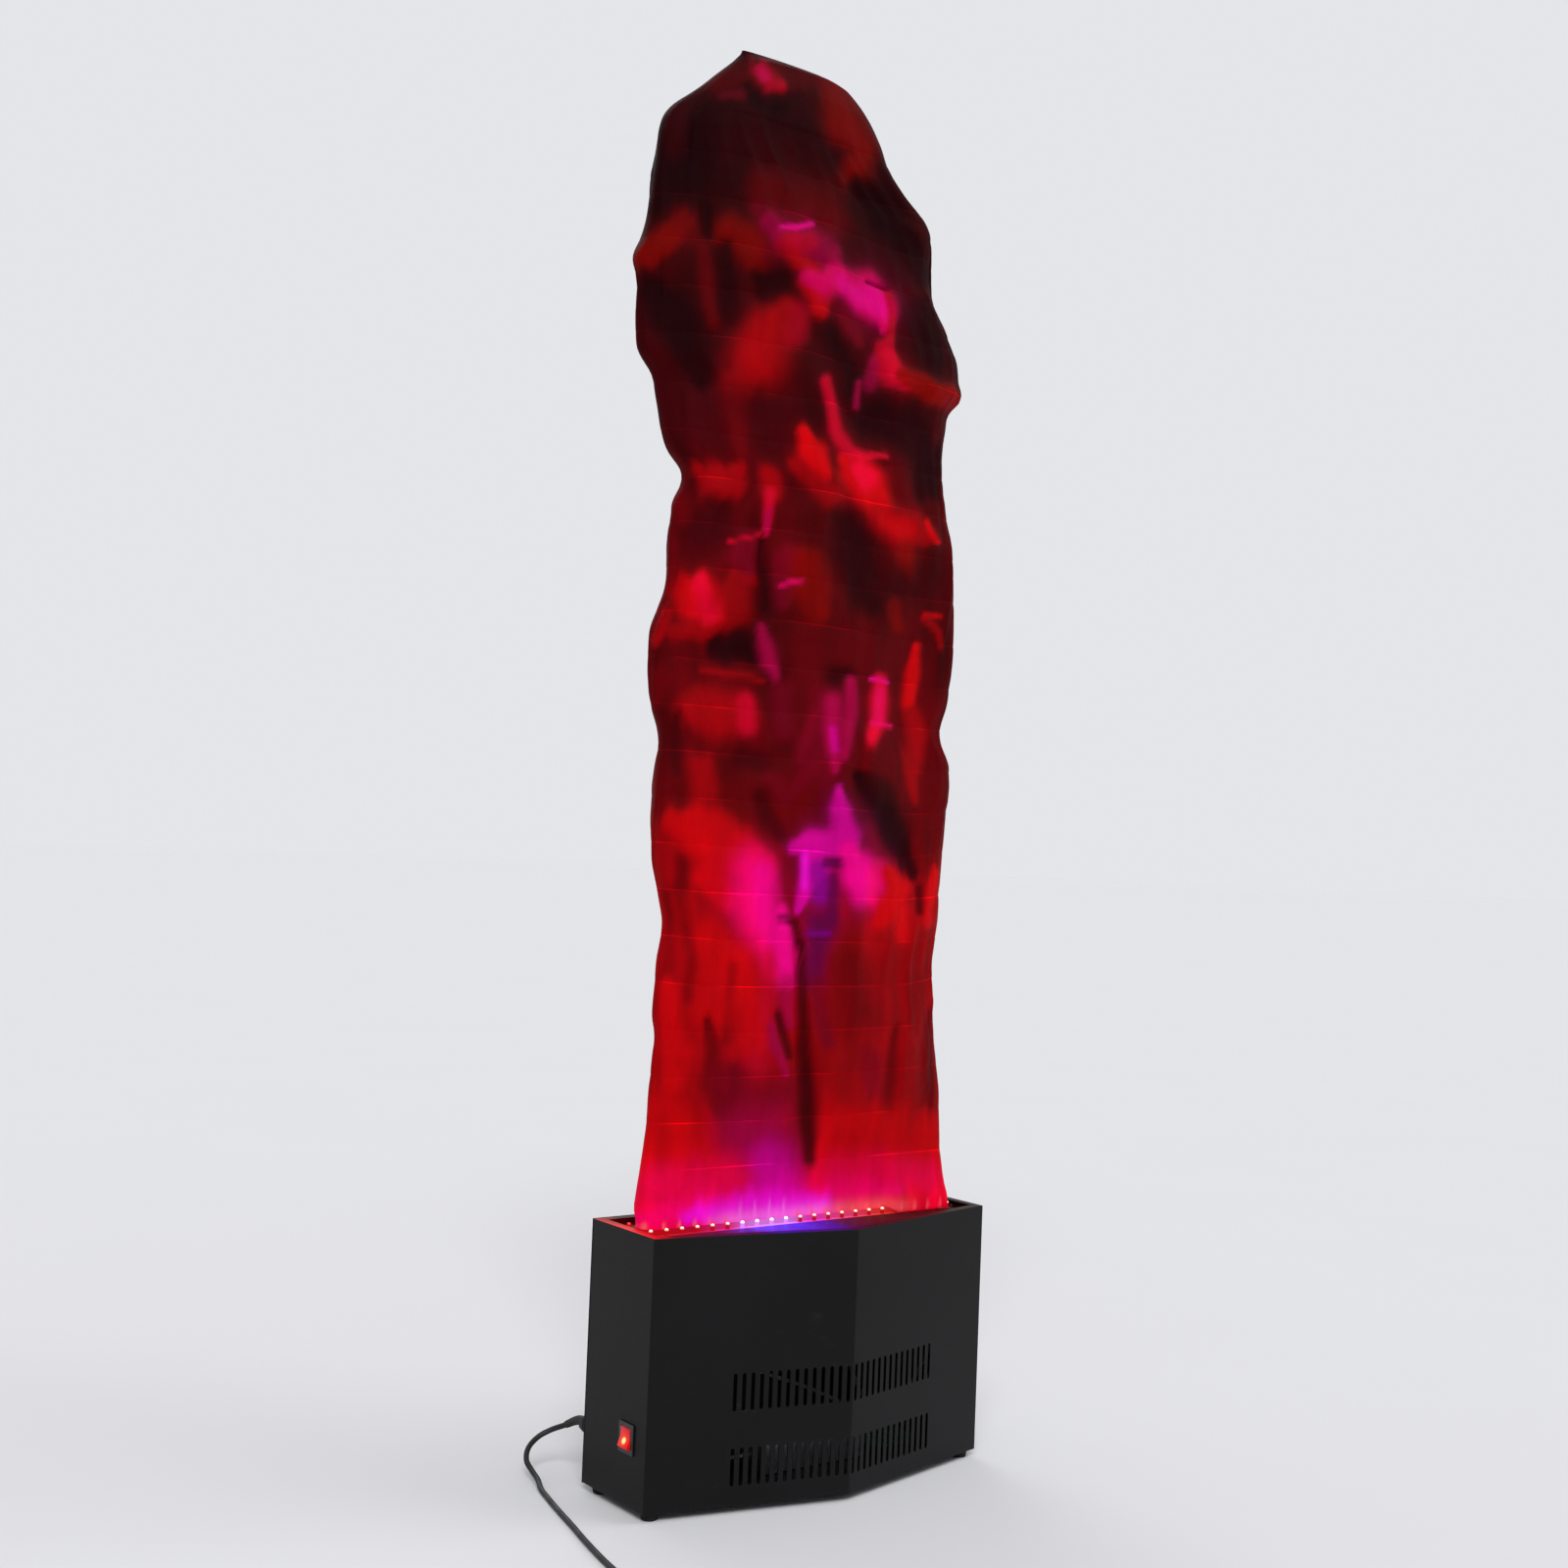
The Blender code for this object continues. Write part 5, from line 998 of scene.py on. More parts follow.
# The flame's swathes of light and shade, in the order that they lie on each other:
# name, tone, strength, softness of the edge, how far they stand out in millimetres,
# and their lines as pixel column, pixel row and half width
SWATHES = (
    ("crown_shade", "ember", 0.85, 0.5, -4, ((715, 140, 18), (692, 170, 24), (674, 215, 12))),
    ("crown_middle_shade", "maroon", 0.60, 0.6, -3, ((760, 140, 30), (812, 168, 24))),
    ("crown_right_red", "brick", 0.85, 0.6, 4,
     ((845, 86, 12), (862, 122, 20), (884, 152, 14), (872, 178, 14))),
    ("crown_top_red", "deep_red", 0.60, 0.6, 2, ((735, 84, 12), (790, 74, 12), (835, 82, 12))),
    ("crown_left_red", "maroon", 0.60, 0.6, 2, ((692, 115, 14), (690, 150, 10))),
    ("crown_low_red", "deep_red", 0.85, 0.6, 3, ((788, 192, 20), (832, 212, 24), (852, 232, 16))),
    ("tip_hollow", "ember", 0.80, 0.5, -3, ((762, 92, 7), (775, 104, 6))),
    ("tip_glow", "crimson", 0.95, 0.5, 4, ((776, 72, 9), (786, 82, 9), (797, 88, 6))),
    ("tip_glow_core", "hot_pink", 0.60, 0.6, 0, ((777, 74, 6), (781, 78, 5))),
    ("tip_left_streak", "wine", 0.60, 0.6, 1, ((735, 98, 4), (756, 97, 5))),
    ("right_shoulder_shade", "ember", 0.90, 0.4, -6,
     ((878, 192, 12), (905, 222, 22), (928, 252, 20), (942, 285, 12))),
    ("right_shoulder_brown", "maroon", 0.75, 0.5, 2, ((888, 262, 20), (915, 292, 18), (925, 320, 12))),
    ("right_shoulder_low", "ember", 0.85, 0.4, -4, ((938, 320, 16), (948, 352, 20), (952, 372, 14))),
    ("right_shoulder_rim", "maroon", 0.60, 0.5, 0, ((928, 225, 4), (944, 242, 5))),
    ("under_crown_red", "brick", 0.85, 0.5, 4, ((742, 235, 16), (765, 248, 22), (772, 268, 12))),
    ("left_brick", "brick", 0.95, 0.35, 7, ((657, 264, 11), (680, 246, 13), (697, 226, 10))),
    ("left_brick_link", "deep_red", 0.60, 0.5, 2, ((697, 222, 12), (706, 240, 10))),
    ("left_shoulder_shade", "ember", 0.95, 0.35, -6,
     ((668, 300, 18), (684, 318, 26), (708, 350, 24), (716, 385, 14))),
    ("left_edge_shade", "maroon", 0.70, 0.5, 0, ((662, 370, 10), (676, 400, 16), (690, 425, 18))),
    ("crown_dark_streak", "ember", 0.80, 0.5, -4, ((720, 212, 6), (722, 240, 5))),
    ("crown_streak", "deep_red", 0.80, 0.6, 3, ((717, 252, 6), (722, 290, 8), (728, 328, 6))),
    ("middle_dark_streak", "ember", 0.80, 0.5, -4, ((740, 252, 7), (744, 300, 9), (748, 332, 8))),
    ("band_under_shade", "ember", 0.90, 0.35, -8, ((778, 282, 10), (800, 290, 13), (782, 298, 12))),
    ("band_head_haze", "wine", 0.75, 0.6, 2, ((776, 208, 8), (790, 220, 12), (815, 222, 10))),
    ("band_head", "rose", 0.95, 0.45, 7, ((788, 225, 9), (806, 243, 16), (836, 252, 14), (850, 262, 10))),
    ("band_head_red", "scarlet", 0.80, 0.5, 6, ((803, 252, 9), (815, 268, 9), (830, 275, 8))),
    ("band_head_core", "crimson", 0.85, 0.5, 6, ((803, 245, 10), (824, 248, 9))),
    ("band_head_line", "bright_pink", 0.90, 0.6, 1, ((797, 231, 2.2), (812, 231, 2.6), (828, 229, 2.2))),
    ("band_root", "scarlet", 0.95, 0.4, 8, ((824, 290, 9), (836, 303, 14), (835, 318, 9))),
    ("band_glow", "hot_pink", 1.00, 0.4, 12,
     ((826, 284, 8), (850, 287, 15), (880, 297, 20), (896, 312, 18), (902, 333, 6))),
    ("band_glow_core", "bright_pink", 0.90, 0.5, 2, ((862, 293, 9), (886, 302, 13), (896, 316, 9))),
    ("band_fold_line", "wine", 0.80, 0.6, -2, ((882, 287, 1.8), (904, 296, 2.0))),
    ("band_edge", "crimson", 0.85, 0.5, 6, ((907, 300, 4), (910, 322, 4), (907, 348, 5))),
    ("band_low_haze", "wine", 0.85, 0.5, 0, ((858, 316, 10), (870, 334, 10), (877, 352, 5))),
    ("band_leg", "crimson", 0.95, 0.35, 10, ((901, 352, 7), (904, 372, 12), (912, 386, 11))),
    ("band_leg_glow", "hot_red", 0.90, 0.4, 4, ((905, 358, 5), (912, 378, 8), (926, 392, 7))),
    ("band_leg_left", "rose", 0.70, 0.5, 4, ((893, 368, 5), (889, 390, 8))),
    ("band_end", "brick", 0.95, 0.3, 9, ((924, 385, 9), (948, 397, 12), (972, 408, 11))),
    ("band_end_tip", "wine", 0.60, 0.5, 0, ((968, 412, 6), (970, 420, 4))),
    ("blob", "red", 0.95, 0.45, 10, ((800, 318, 12), (788, 340, 26), (776, 365, 30), (758, 388, 18))),
    ("blob_glow", "scarlet", 0.35, 0.6, 3, ((785, 332, 14), (772, 368, 16))),
    ("blob_right", "crimson", 0.50, 0.6, 0, ((815, 320, 10), (812, 345, 10))),
    ("blob_tail", "deep_red", 0.70, 0.6, 3, ((752, 402, 14), (752, 432, 10), (753, 460, 8))),
    ("centre_shade", "maroon", 0.90, 0.45, -9,
     ((842, 345, 14), (856, 370, 17), (862, 398, 15), (884, 425, 14))),
    ("centre_shade_deep", "ember", 0.75, 0.5, -3, ((846, 345, 9), (866, 378, 8), (868, 400, 8))),
    ("centre_left_shade", "maroon", 0.80, 0.6, -4, ((775, 415, 20), (800, 430, 14), (790, 455, 14))),
    ("right_middle_shade", "ember", 0.92, 0.35, -8,
     ((890, 428, 20), (925, 438, 24), (944, 462, 18), (946, 500, 14))),
    ("rib", "crimson", 0.85, 0.5, 6,
     ((843, 388, 5), (850, 415, 5), (854, 440, 6), (864, 460, 7), (885, 467, 4), (903, 467, 3))),
    ("rib_small", "rose", 0.65, 0.6, 3, ((876, 390, 3), (874, 415, 3))),
    ("tongue", "scarlet", 0.97, 0.35, 8, ((821, 441, 7), (830, 460, 14), (841, 482, 8))),
    ("tongue_foot", "red", 0.80, 0.5, 3, ((815, 475, 8), (850, 505, 12))),
    ("tongue_right", "scarlet", 0.95, 0.35, 8,
     ((862, 470, 7), (872, 482, 15), (886, 498, 18), (897, 520, 14))),
    ("tongue_right_core", "hot_red", 0.85, 0.5, 2, ((876, 476, 7), (886, 492, 9))),
    ("tongue_far", "red", 0.92, 0.35, 8, ((902, 532, 17), (928, 540, 17), (948, 549, 9))),
    ("tongue_far_glow", "scarlet", 0.60, 0.5, 0, ((905, 530, 9), (925, 540, 9))),
    ("tongue_far_rim", "scarlet", 0.95, 0.5, 3, ((946, 532, 2.5), (952, 547, 3), (958, 554, 2.5))),
    ("tongue_far_tail", "brick", 0.75, 0.5, 3, ((925, 562, 11), (930, 588, 6))),
    ("waist_left", "red", 0.92, 0.4, 6, ((715, 480, 10), (726, 488, 15), (745, 492, 15), (752, 478, 8))),
    ("waist_left_low", "deep_red", 0.90, 0.5, 3, ((693, 512, 10), (699, 530, 8))),
    ("waist_hole", "maroon", 0.90, 0.4, -8, ((730, 520, 13), (718, 545, 22), (712, 568, 18))),
    ("waist_middle", "red", 0.90, 0.5, 6, ((785, 486, 11), (786, 505, 10))),
    ("waist_spine", "crimson", 0.85, 0.5, 4, ((785, 505, 6), (783, 528, 5), (781, 545, 3))),
    ("waist_spine_core", "rose", 0.90, 0.6, 1, ((784, 522, 3), (782, 543, 3))),
    ("panel_left", "wine", 0.92, 0.35, 4, ((762, 553, 12), (757, 570, 14), (764, 590, 8))),
    ("panel_left_line", "crimson", 0.85, 0.6, 1, ((744, 552, 1.8), (774, 547, 1.8))),
    ("panel_left_foot", "red", 0.80, 0.5, 1, ((750, 587, 5), (770, 595, 4))),
    ("panel_right", "wine", 0.85, 0.4, 5, ((804, 568, 12), (802, 600, 13), (800, 615, 9))),
    ("panel_right_brick", "brick", 0.85, 0.5, 4, ((825, 572, 14), (828, 605, 16), (834, 625, 10))),
    ("panel_right_line", "hot_pink", 0.70, 0.7, 1, ((796, 598, 2.0), (808, 594, 2.6), (820, 592, 1.8))),
    ("dark_spine", "maroon", 0.95, 0.4, -8, ((778, 553, 3), (779, 590, 6), (781, 625, 8))),
    ("dark_spine_deep", "ember", 0.60, 0.5, -2, ((778, 585, 4), (779, 618, 5))),
    ("right_waist_shade", "ember", 0.85, 0.45, -7, ((862, 530, 14), (870, 565, 24), (888, 610, 20))),
    ("right_waist_haze", "maroon", 0.80, 0.6, -2, ((905, 600, 16), (945, 590, 16))),
    ("left_fire", "scarlet", 1.00, 0.30, 9, ((706, 598, 12), (712, 612, 25), (724, 622, 22))),
    ("left_fire_core", "hot_red", 0.80, 0.5, 1, ((714, 594, 7), (722, 622, 12))),
    ("left_fire_right", "red", 0.90, 0.4, 5, ((752, 606, 14), (754, 624, 12))),
    ("left_fire_foot", "red", 0.80, 0.4, 4, ((686, 645, 8), (712, 645, 8), (732, 640, 5))),
    ("left_fire_rim", "red", 0.85, 0.5, 3, ((680, 625, 6), (674, 642, 6), (668, 656, 4))),
    ("left_hole", "ember", 0.95, 0.3, -10, ((734, 660, 14), (752, 657, 18), (764, 670, 10))),
    ("small_flame", "rose", 0.85, 0.6, 6, ((776, 640, 4), (781, 658, 8), (784, 676, 7), (791, 692, 4))),
    ("hole_lip", "red", 0.55, 0.7, 2, ((716, 684, 3), (752, 688, 4), (778, 695, 3))),
    ("middle_haze", "wine", 0.70, 0.6, 2, ((798, 705, 10), (800, 745, 10))),
    ("left_panel", "red", 0.92, 0.4, 6, ((712, 722, 18), (738, 728, 24), (758, 732, 18))),
    ("left_panel_core", "crimson", 0.85, 0.5, 2, ((762, 718, 9), (764, 742, 9))),
    ("left_panel_edge", "maroon", 0.80, 0.5, -4, ((692, 728, 4), (690, 765, 6), (692, 785, 5))),
    ("left_panel_low", "red", 0.85, 0.5, 3, ((716, 778, 12), (720, 805, 14))),
    ("left_panel_hollow", "maroon", 0.85, 0.5, -5, ((758, 775, 10), (775, 778, 12))),
    ("left_rim_red", "deep_red", 0.70, 0.5, 0, ((676, 690, 12), (672, 712, 8))),
    ("streak_shade", "ember", 0.80, 0.5, -4, ((852, 690, 12), (866, 690, 8))),
    ("streak_haze", "wine", 0.65, 0.8, 1, ((842, 712, 12), (842, 745, 20), (836, 785, 20))),
    ("streak_one", "rose", 0.92, 0.6, 4, ((850, 716, 9), (850, 745, 10), (852, 768, 8), (853, 786, 4))),
    ("streak_one_core", "magenta", 0.60, 0.6, 0, ((850, 745, 4), (852, 765, 4))),
    ("streak_left", "wine", 0.85, 0.6, 2, ((834, 728, 5), (822, 756, 7), (818, 775, 6))),
    ("streak_two", "rose", 0.85, 0.6, 4, ((869, 696, 5), (868, 730, 6), (863, 755, 5), (861, 774, 4))),
    ("streak_three", "hot_red", 0.90, 0.6, 5, ((898, 694, 6), (897, 715, 9), (896, 738, 8), (890, 760, 5))),
    ("streak_three_core", "hot_pink", 0.55, 0.7, 0, ((898, 706, 5), (896, 735, 5))),
    ("streak_three_foot", "deep_red", 0.70, 0.6, 0, ((888, 765, 6), (884, 785, 6))),
    ("streak_line_high", "bright_pink", 0.55, 0.7, 1, ((888, 693, 1.6), (898, 694, 2.4), (906, 697, 1.6))),
    ("streak_line_low", "hot_pink", 0.50, 0.7, 1, ((889, 737, 1.6), (900, 739, 2.2), (909, 740, 1.6))),
    ("streak_four", "scarlet", 0.95, 0.5, 6, ((936, 662, 4), (931, 688, 7), (926, 716, 6))),
    ("streak_four_low", "red", 0.88, 0.5, 3, ((928, 728, 8), (933, 752, 10), (930, 795, 7), (934, 818, 4))),
    ("right_rim_high", "red", 0.75, 0.5, 2, ((944, 632, 4), (957, 645, 4), (960, 660, 3))),
    ("right_rim_line", "scarlet", 0.90, 0.6, 1, ((942, 629, 1.8), (960, 630, 1.8))),
    ("right_spot", "brick", 0.60, 0.6, 1, ((912, 618, 8), (916, 640, 6))),
    ("valley", "maroon", 0.85, 0.45, -7, ((778, 815, 8), (785, 838, 12), (796, 852, 8))),
    ("valley_right", "deep_red", 0.80, 0.5, -3, ((820, 808, 12), (818, 838, 10))),
    ("valley_haze", "wine", 0.60, 0.6, 1, ((788, 795, 7), (803, 815, 6), (830, 780, 10))),
    ("wing_shade", "ember", 0.95, 0.3, -8,
     ((878, 788, 7), (890, 805, 14), (902, 832, 19), (914, 856, 15), (926, 878, 10), (932, 892, 7))),
    ("wing_lift", "maroon", 0.60, 0.6, 0, ((892, 795, 8), (905, 812, 8))),
    ("left_lobe", "red", 0.90, 0.5, 3, ((680, 850, 14), (676, 880, 10), (682, 900, 8))),
    ("left_shoulder", "scarlet", 1.00, 0.3, 8,
     ((690, 838, 16), (716, 850, 28), (748, 868, 24), (776, 884, 16))),
    ("left_shoulder_low", "scarlet", 0.90, 0.4, 3, ((725, 895, 18), (740, 915, 14))),
    ("left_notch", "maroon", 0.55, 0.65, -4, ((697, 880, 7), (695, 905, 7))),
    ("left_pink", "hot_pink", 1.00, 0.6, 5,
     ((768, 888, 20), (768, 915, 21), (776, 940, 19), (782, 965, 14), (786, 990, 9))),
    ("left_pink_core", "bright_pink", 0.75, 0.65, 1, ((780, 892, 10), (783, 930, 12), (790, 960, 10))),
    ("left_pink_tail", "crimson", 0.80, 0.7, 2,
     ((786, 985, 11), (784, 1015, 12), (772, 1050, 12), (770, 1085, 12))),
    ("magenta_body", "magenta", 0.98, 0.35, 7,
     ((812, 862, 7), (830, 862, 13), (832, 885, 14), (822, 905, 9), (817, 928, 4))),
    ("magenta_violet", "violet", 0.80, 0.5, 0, ((834, 888, 9), (838, 912, 10))),
    ("magenta_rib", "fuchsia", 0.85, 0.6, 2, ((821, 872, 3.5), (821, 905, 3.5))),
    ("magenta_peak", "magenta", 0.98, 0.35, 7,
     ((856, 808, 5), (858, 828, 12), (862, 852, 15), (848, 866, 14))),
    ("right_pink", "bright_pink", 1.00, 0.35, 7, ((866, 872, 12), (876, 892, 20), (884, 906, 18))),
    ("right_pink_edge", "hot_pink", 0.80, 0.5, 1, ((898, 888, 9), (893, 918, 9))),
    ("right_fire", "scarlet", 0.97, 0.35, 5, ((908, 890, 7), (918, 908, 12), (908, 926, 13), (900, 942, 8))),
    ("right_fire_low", "scarlet", 0.85, 0.5, 2, ((922, 930, 8), (922, 954, 7))),
    ("right_rim_fire", "scarlet", 0.90, 0.5, 2, ((954, 885, 3), (951, 908, 5), (946, 940, 6))),
    ("right_gap", "maroon", 0.80, 0.5, -4, ((938, 905, 4), (938, 930, 4))),
    ("speck", "plum", 0.92, 0.5, -3, ((842, 882, 4), (852, 882, 6))),
    ("speck_tail", "plum", 0.75, 0.6, -1, ((850, 898, 5), (848, 935, 6))),
    ("violet_fall", "plum", 0.90, 0.5, -2, ((838, 940, 15), (832, 970, 13), (830, 1000, 11))),
    ("violet_fall_low", "wine", 0.85, 0.5, 0, ((834, 1005, 9), (838, 1040, 9), (846, 1062, 7))),
    ("violet_line", "violet", 0.60, 0.6, 1, ((825, 950, 2.5), (845, 952, 2.5))),
    ("left_body", "scarlet", 0.85, 0.5, 4, ((722, 965, 24), (738, 1000, 34), (728, 1035, 22))),
    ("left_body_shade_high", "deep_red", 0.55, 0.7, -3, ((700, 945, 5), (706, 985, 6), (702, 1020, 5))),
    ("left_body_shade_low", "deep_red", 0.50, 0.7, -3, ((748, 985, 5), (746, 1030, 7), (742, 1062, 6))),
    ("left_body_edge", "scarlet", 0.95, 0.4, 4,
     ((684, 1008, 10), (682, 1040, 12), (690, 1078, 16), (688, 1106, 12))),
    ("left_body_gap", "deep_red", 0.85, 0.5, -4,
     ((722, 1040, 4), (728, 1075, 8), (726, 1108, 11), (735, 1130, 11))),
    ("left_body_right", "scarlet", 0.80, 0.5, 3, ((760, 1020, 14), (766, 1060, 14), (756, 1080, 9))),
    ("dusk_low", "wine", 0.85, 0.7, -2, ((746, 1104, 18), (762, 1126, 28), (796, 1116, 22))),
    ("magenta_line", "bright_pink", 0.90, 0.6, 5, ((799, 930, 6), (802, 960, 9), (804, 1000, 8))),
    ("magenta_line_low", "rose", 0.80, 0.7, 3, ((804, 1000, 7), (803, 1025, 6), (805, 1046, 4))),
    ("line_hollow", "maroon", 0.85, 0.5, -3, ((794, 1034, 4), (798, 1052, 5), (804, 1075, 6))),
    ("magenta_tail", "rose", 0.90, 0.5, 3, ((787, 1045, 4), (790, 1065, 5), (798, 1083, 4), (802, 1096, 3))),
    ("right_body", "deep_red", 0.80, 0.6, 2, ((868, 985, 24), (880, 1030, 26))),
    ("right_body_low", "red", 0.75, 0.6, 3, ((862, 1085, 18), (868, 1120, 18))),
    ("right_body_haze", "wine", 0.60, 0.6, 0, ((890, 1080, 12), (892, 1112, 10))),
    ("right_streak_shade", "maroon", 0.55, 0.65, -4, ((914, 1050, 4), (910, 1085, 6), (904, 1130, 6))),
    ("right_streak", "red", 0.75, 0.5, 2, ((928, 1060, 7), (928, 1110, 10))),
    ("right_edge_shade", "maroon", 0.65, 0.65, -3, ((948, 1030, 4), (948, 1085, 9), (948, 1125, 9))),
    ("low_left_fire", "scarlet", 0.85, 0.6, 2, ((680, 1130, 16), (695, 1165, 26), (705, 1190, 24))),
    ("low_right_fire", "scarlet", 0.92, 0.5, 3, ((868, 1150, 18), (900, 1170, 34), (936, 1165, 20))),
    ("low_rose", "rose", 0.85, 0.8, 2, ((756, 1160, 22), (780, 1158, 26), (796, 1178, 24))),
    ("low_magenta", "magenta", 0.92, 0.5, 3, ((786, 1186, 22), (794, 1206, 22))),
    ("hem_red_left", "pink_red", 0.85, 0.7, 0, ((668, 1212, 18), (710, 1208, 20), (745, 1200, 18))),
    ("hem_red_right", "pink_red", 0.80, 0.7, 0, ((850, 1202, 18), (900, 1197, 18), (945, 1202, 14))),
    ("furrow_high", "maroon", 0.85, 0.6, -5, ((797, 938, 3), (812, 940, 4), (816, 965, 5))),
    ("furrow", "maroon", 0.90, 0.5, -12,
     ((816, 962, 4), (818, 1000, 6), (819, 1045, 6), (822, 1090, 8), (825, 1135, 9), (826, 1180, 7))),
    ("hem_pink_left", "hot_pink", 0.85, 0.7, 0, ((652, 1246, 8), (690, 1240, 12), (730, 1230, 14))),
    ("hem_pink_right", "hot_pink", 0.80, 0.7, 0, ((838, 1222, 12), (880, 1216, 12), (915, 1217, 8))),
    ("hem_fuchsia", "fuchsia", 0.92, 0.7, 0,
     ((700, 1246, 7), (735, 1238, 12), (770, 1231, 15), (806, 1228, 14), (840, 1230, 8))),
)
# Tones of the lit silk between the swathes, by pixel row, from its painted light: darkest near the crown,
# brightest just over the lamps
GROUND = (
    (60, "maroon"), (130, "ember"), (230, "maroon"), (420, "maroon"),
    (520, "dusk"), (640, "dusk"), (760, "dusk"), (860, "deep_red"),
    (950, "red"), (1100, "red"), (1180, "scarlet"), (1240, "hot_red"),
)

# How strongly the flame glows beside its tones, by pixel row
STRENGTHS = (
    (60, 0.50), (130, 0.62), (200, 0.56), (300, 0.66), (380, 0.82), (440, 0.96),
    (560, 0.90), (615, 0.74), (680, 0.94), (760, 0.92), (840, 0.76), (900, 0.90),
    (1000, 0.80), (1100, 0.74), (1160, 0.66), (1200, 0.84), (1235, 1.00),
)


def value_noise(u, v, cells_u, cells_v, seed):
    """Smooth seeded noise from -1 to 1 that closes on itself along u."""
    grid = np.random.default_rng(seed).uniform(-1.0, 1.0, (cells_v + 2, cells_u))
    x = (u % 1.0) * cells_u
    y = np.clip(v, 0.0, 1.0) * cells_v
    i, j = np.floor(x).astype(int), np.floor(y).astype(int)
    fx, fy = smoothstep(x - i), smoothstep(y - j)
    i0, i1 = i % cells_u, (i + 1) % cells_u
    low = grid[j, i0] * (1 - fx) + grid[j, i1] * fx
    high = grid[j + 1, i0] * (1 - fx) + grid[j + 1, i1] * fx
    return low * (1 - fy) + high * fy


def hem_outline(shares):
    """Points at shares of the way round the mouth, from its right end."""
    straight = 2 * (HEM_HALF_X - HEM_HALF_Y)
    arc = math.pi * HEM_HALF_Y
    total = 2 * straight + 2 * arc
    points = []
    for share in shares:
        spot = (share * total + arc / 2) % total
        if spot < arc:
            angle = -math.pi / 2 + spot / HEM_HALF_Y
            points.append((straight / 2 + HEM_HALF_Y * math.cos(angle), HEM_HALF_Y * math.sin(angle)))
        elif spot < arc + straight:
            points.append((straight / 2 - (spot - arc), HEM_HALF_Y))
        elif spot < 2 * arc + straight:
            angle = math.pi / 2 + (spot - arc - straight) / HEM_HALF_Y
            points.append((-straight / 2 + HEM_HALF_Y * math.cos(angle), HEM_HALF_Y * math.sin(angle)))
        else:
            points.append((-straight / 2 + (spot - 2 * arc - straight), -HEM_HALF_Y))
    return np.array(points)


def silk_levels():
    """Heights of the rings, closer together at each crease and towards the tip, and which are creases."""
    rise = np.linspace(0.0, 1.0, SILK_UP)
    spread = SILK_TOP_Z - SILK_LOW.z
    plain = SILK_LOW.z + spread * (0.72 * rise + 0.28 * np.sin(rise * math.pi / 2))
    creases = CREASE_FIRST_Z + CREASE_PITCH * np.arange(CREASES)
    clear = np.min(np.abs(plain[:, None] - creases[None, :]), axis=1) > CREASE_ROOM
    clear &= np.abs(plain - LIGHT_TIP_Z - OVERHANG_MIDDLE) > OVERHANG_ROOM
    folded = LIGHT_TIP_Z + np.array([above for above, _, _ in OVERHANG])
    below, above = creases - CREASE_HALF_WIDTH, creases + CREASE_HALF_WIDTH
    levels = np.concatenate([plain[clear], folded, below, above, creases])
    marks = np.concatenate([np.zeros(levels.size - CREASES), np.ones(CREASES)])
    order = np.argsort(levels)
    return levels[order], marks[order]


def outline_at(levels):
    """Half width, centre, half depth and shift back of the flame at each level."""
    left = np.array([on_plane(left, row, SLOT_Y) for row, left, right in SILHOUETTE])
    right = np.array([on_plane(right, row, SLOT_Y) for row, left, right in SILHOUETTE])
    fine = np.linspace(SILK_LOW.z, SILK_TOP_Z, 900)
    kernel = np.exp(-0.5 * (np.arange(-12, 13) / 4.0) ** 2)
    kernel /= kernel.sum()
    edges = []
    for side in (left, right):
        order = np.argsort(side[:, 1])
        edge = np.interp(fine, side[order, 1], side[order, 0])
        eased = np.convolve(np.pad(edge, 12, mode="edge"), kernel, mode="valid")
        ease = smoothstep((SILK_TOP_Z - fine) / 0.03)
        edges.append(np.interp(levels, fine, eased * ease + edge * (1 - ease)))
    table = np.array(SILK_DEPTHS)
    depth = np.interp(levels, table[:, 0], table[:, 1])
    back = np.interp(levels, table[:, 0], table[:, 2])
    half_seen = np.maximum((edges[1] - edges[0]) / 2, 0.003)
    depth = np.minimum(depth, half_seen)
    half = np.sqrt(np.maximum(half_seen ** 2 - (VIEW_SLOPE * depth) ** 2, (0.6 * half_seen) ** 2))
    centre = (edges[0] + edges[1]) / 2 + VIEW_SLOPE * back
    return half, centre, depth, back, edges[0], edges[1]


def silk_push(u, v, z):
    """How far the silk stands out or in, from its folds, billows, ridges and creases."""
    height = z - RIM_Z
    angle = 2 * math.pi * u
    waves = sum(
        share * np.sin(count * angle + 2 * math.pi * (drift * height + phase))
        for count, drift, phase, share in SILK_FOLDS
    )
    started = smoothstep((height - 0.03) / 0.30)
    push = FOLD_DEPTH * smoothstep((height - 0.06) / 0.69) * waves
    push += BILLOW_DEPTH * started * value_noise(u, v, 9, 11, 3)
    ridges = 1.0 - 2.0 * np.abs(value_noise(u + 0.05 * np.sin(7 * v), v, 34, 9, 5))
    push += RIDGE_DEPTH * started * ridges
    push += PUCKER_DEPTH * smoothstep(height / 0.1) * value_noise(u, v, 84, 22, 8)
    push += CRINKLE_DEPTH * smoothstep(height / 0.1) * value_noise(u, v, 60, 120, 12)
    panel = (z - CREASE_FIRST_Z) / CREASE_PITCH
    push += CREASE_DEPTH * smoothstep(height / 0.05) * (np.abs(np.sin(math.pi * panel)) ** 0.5 - 0.6)
    sag = BILLOW_SAG * started * smoothstep((1.0 - v) / 0.10) * value_noise(u, v, 6, 9, 21)
    return push, sag


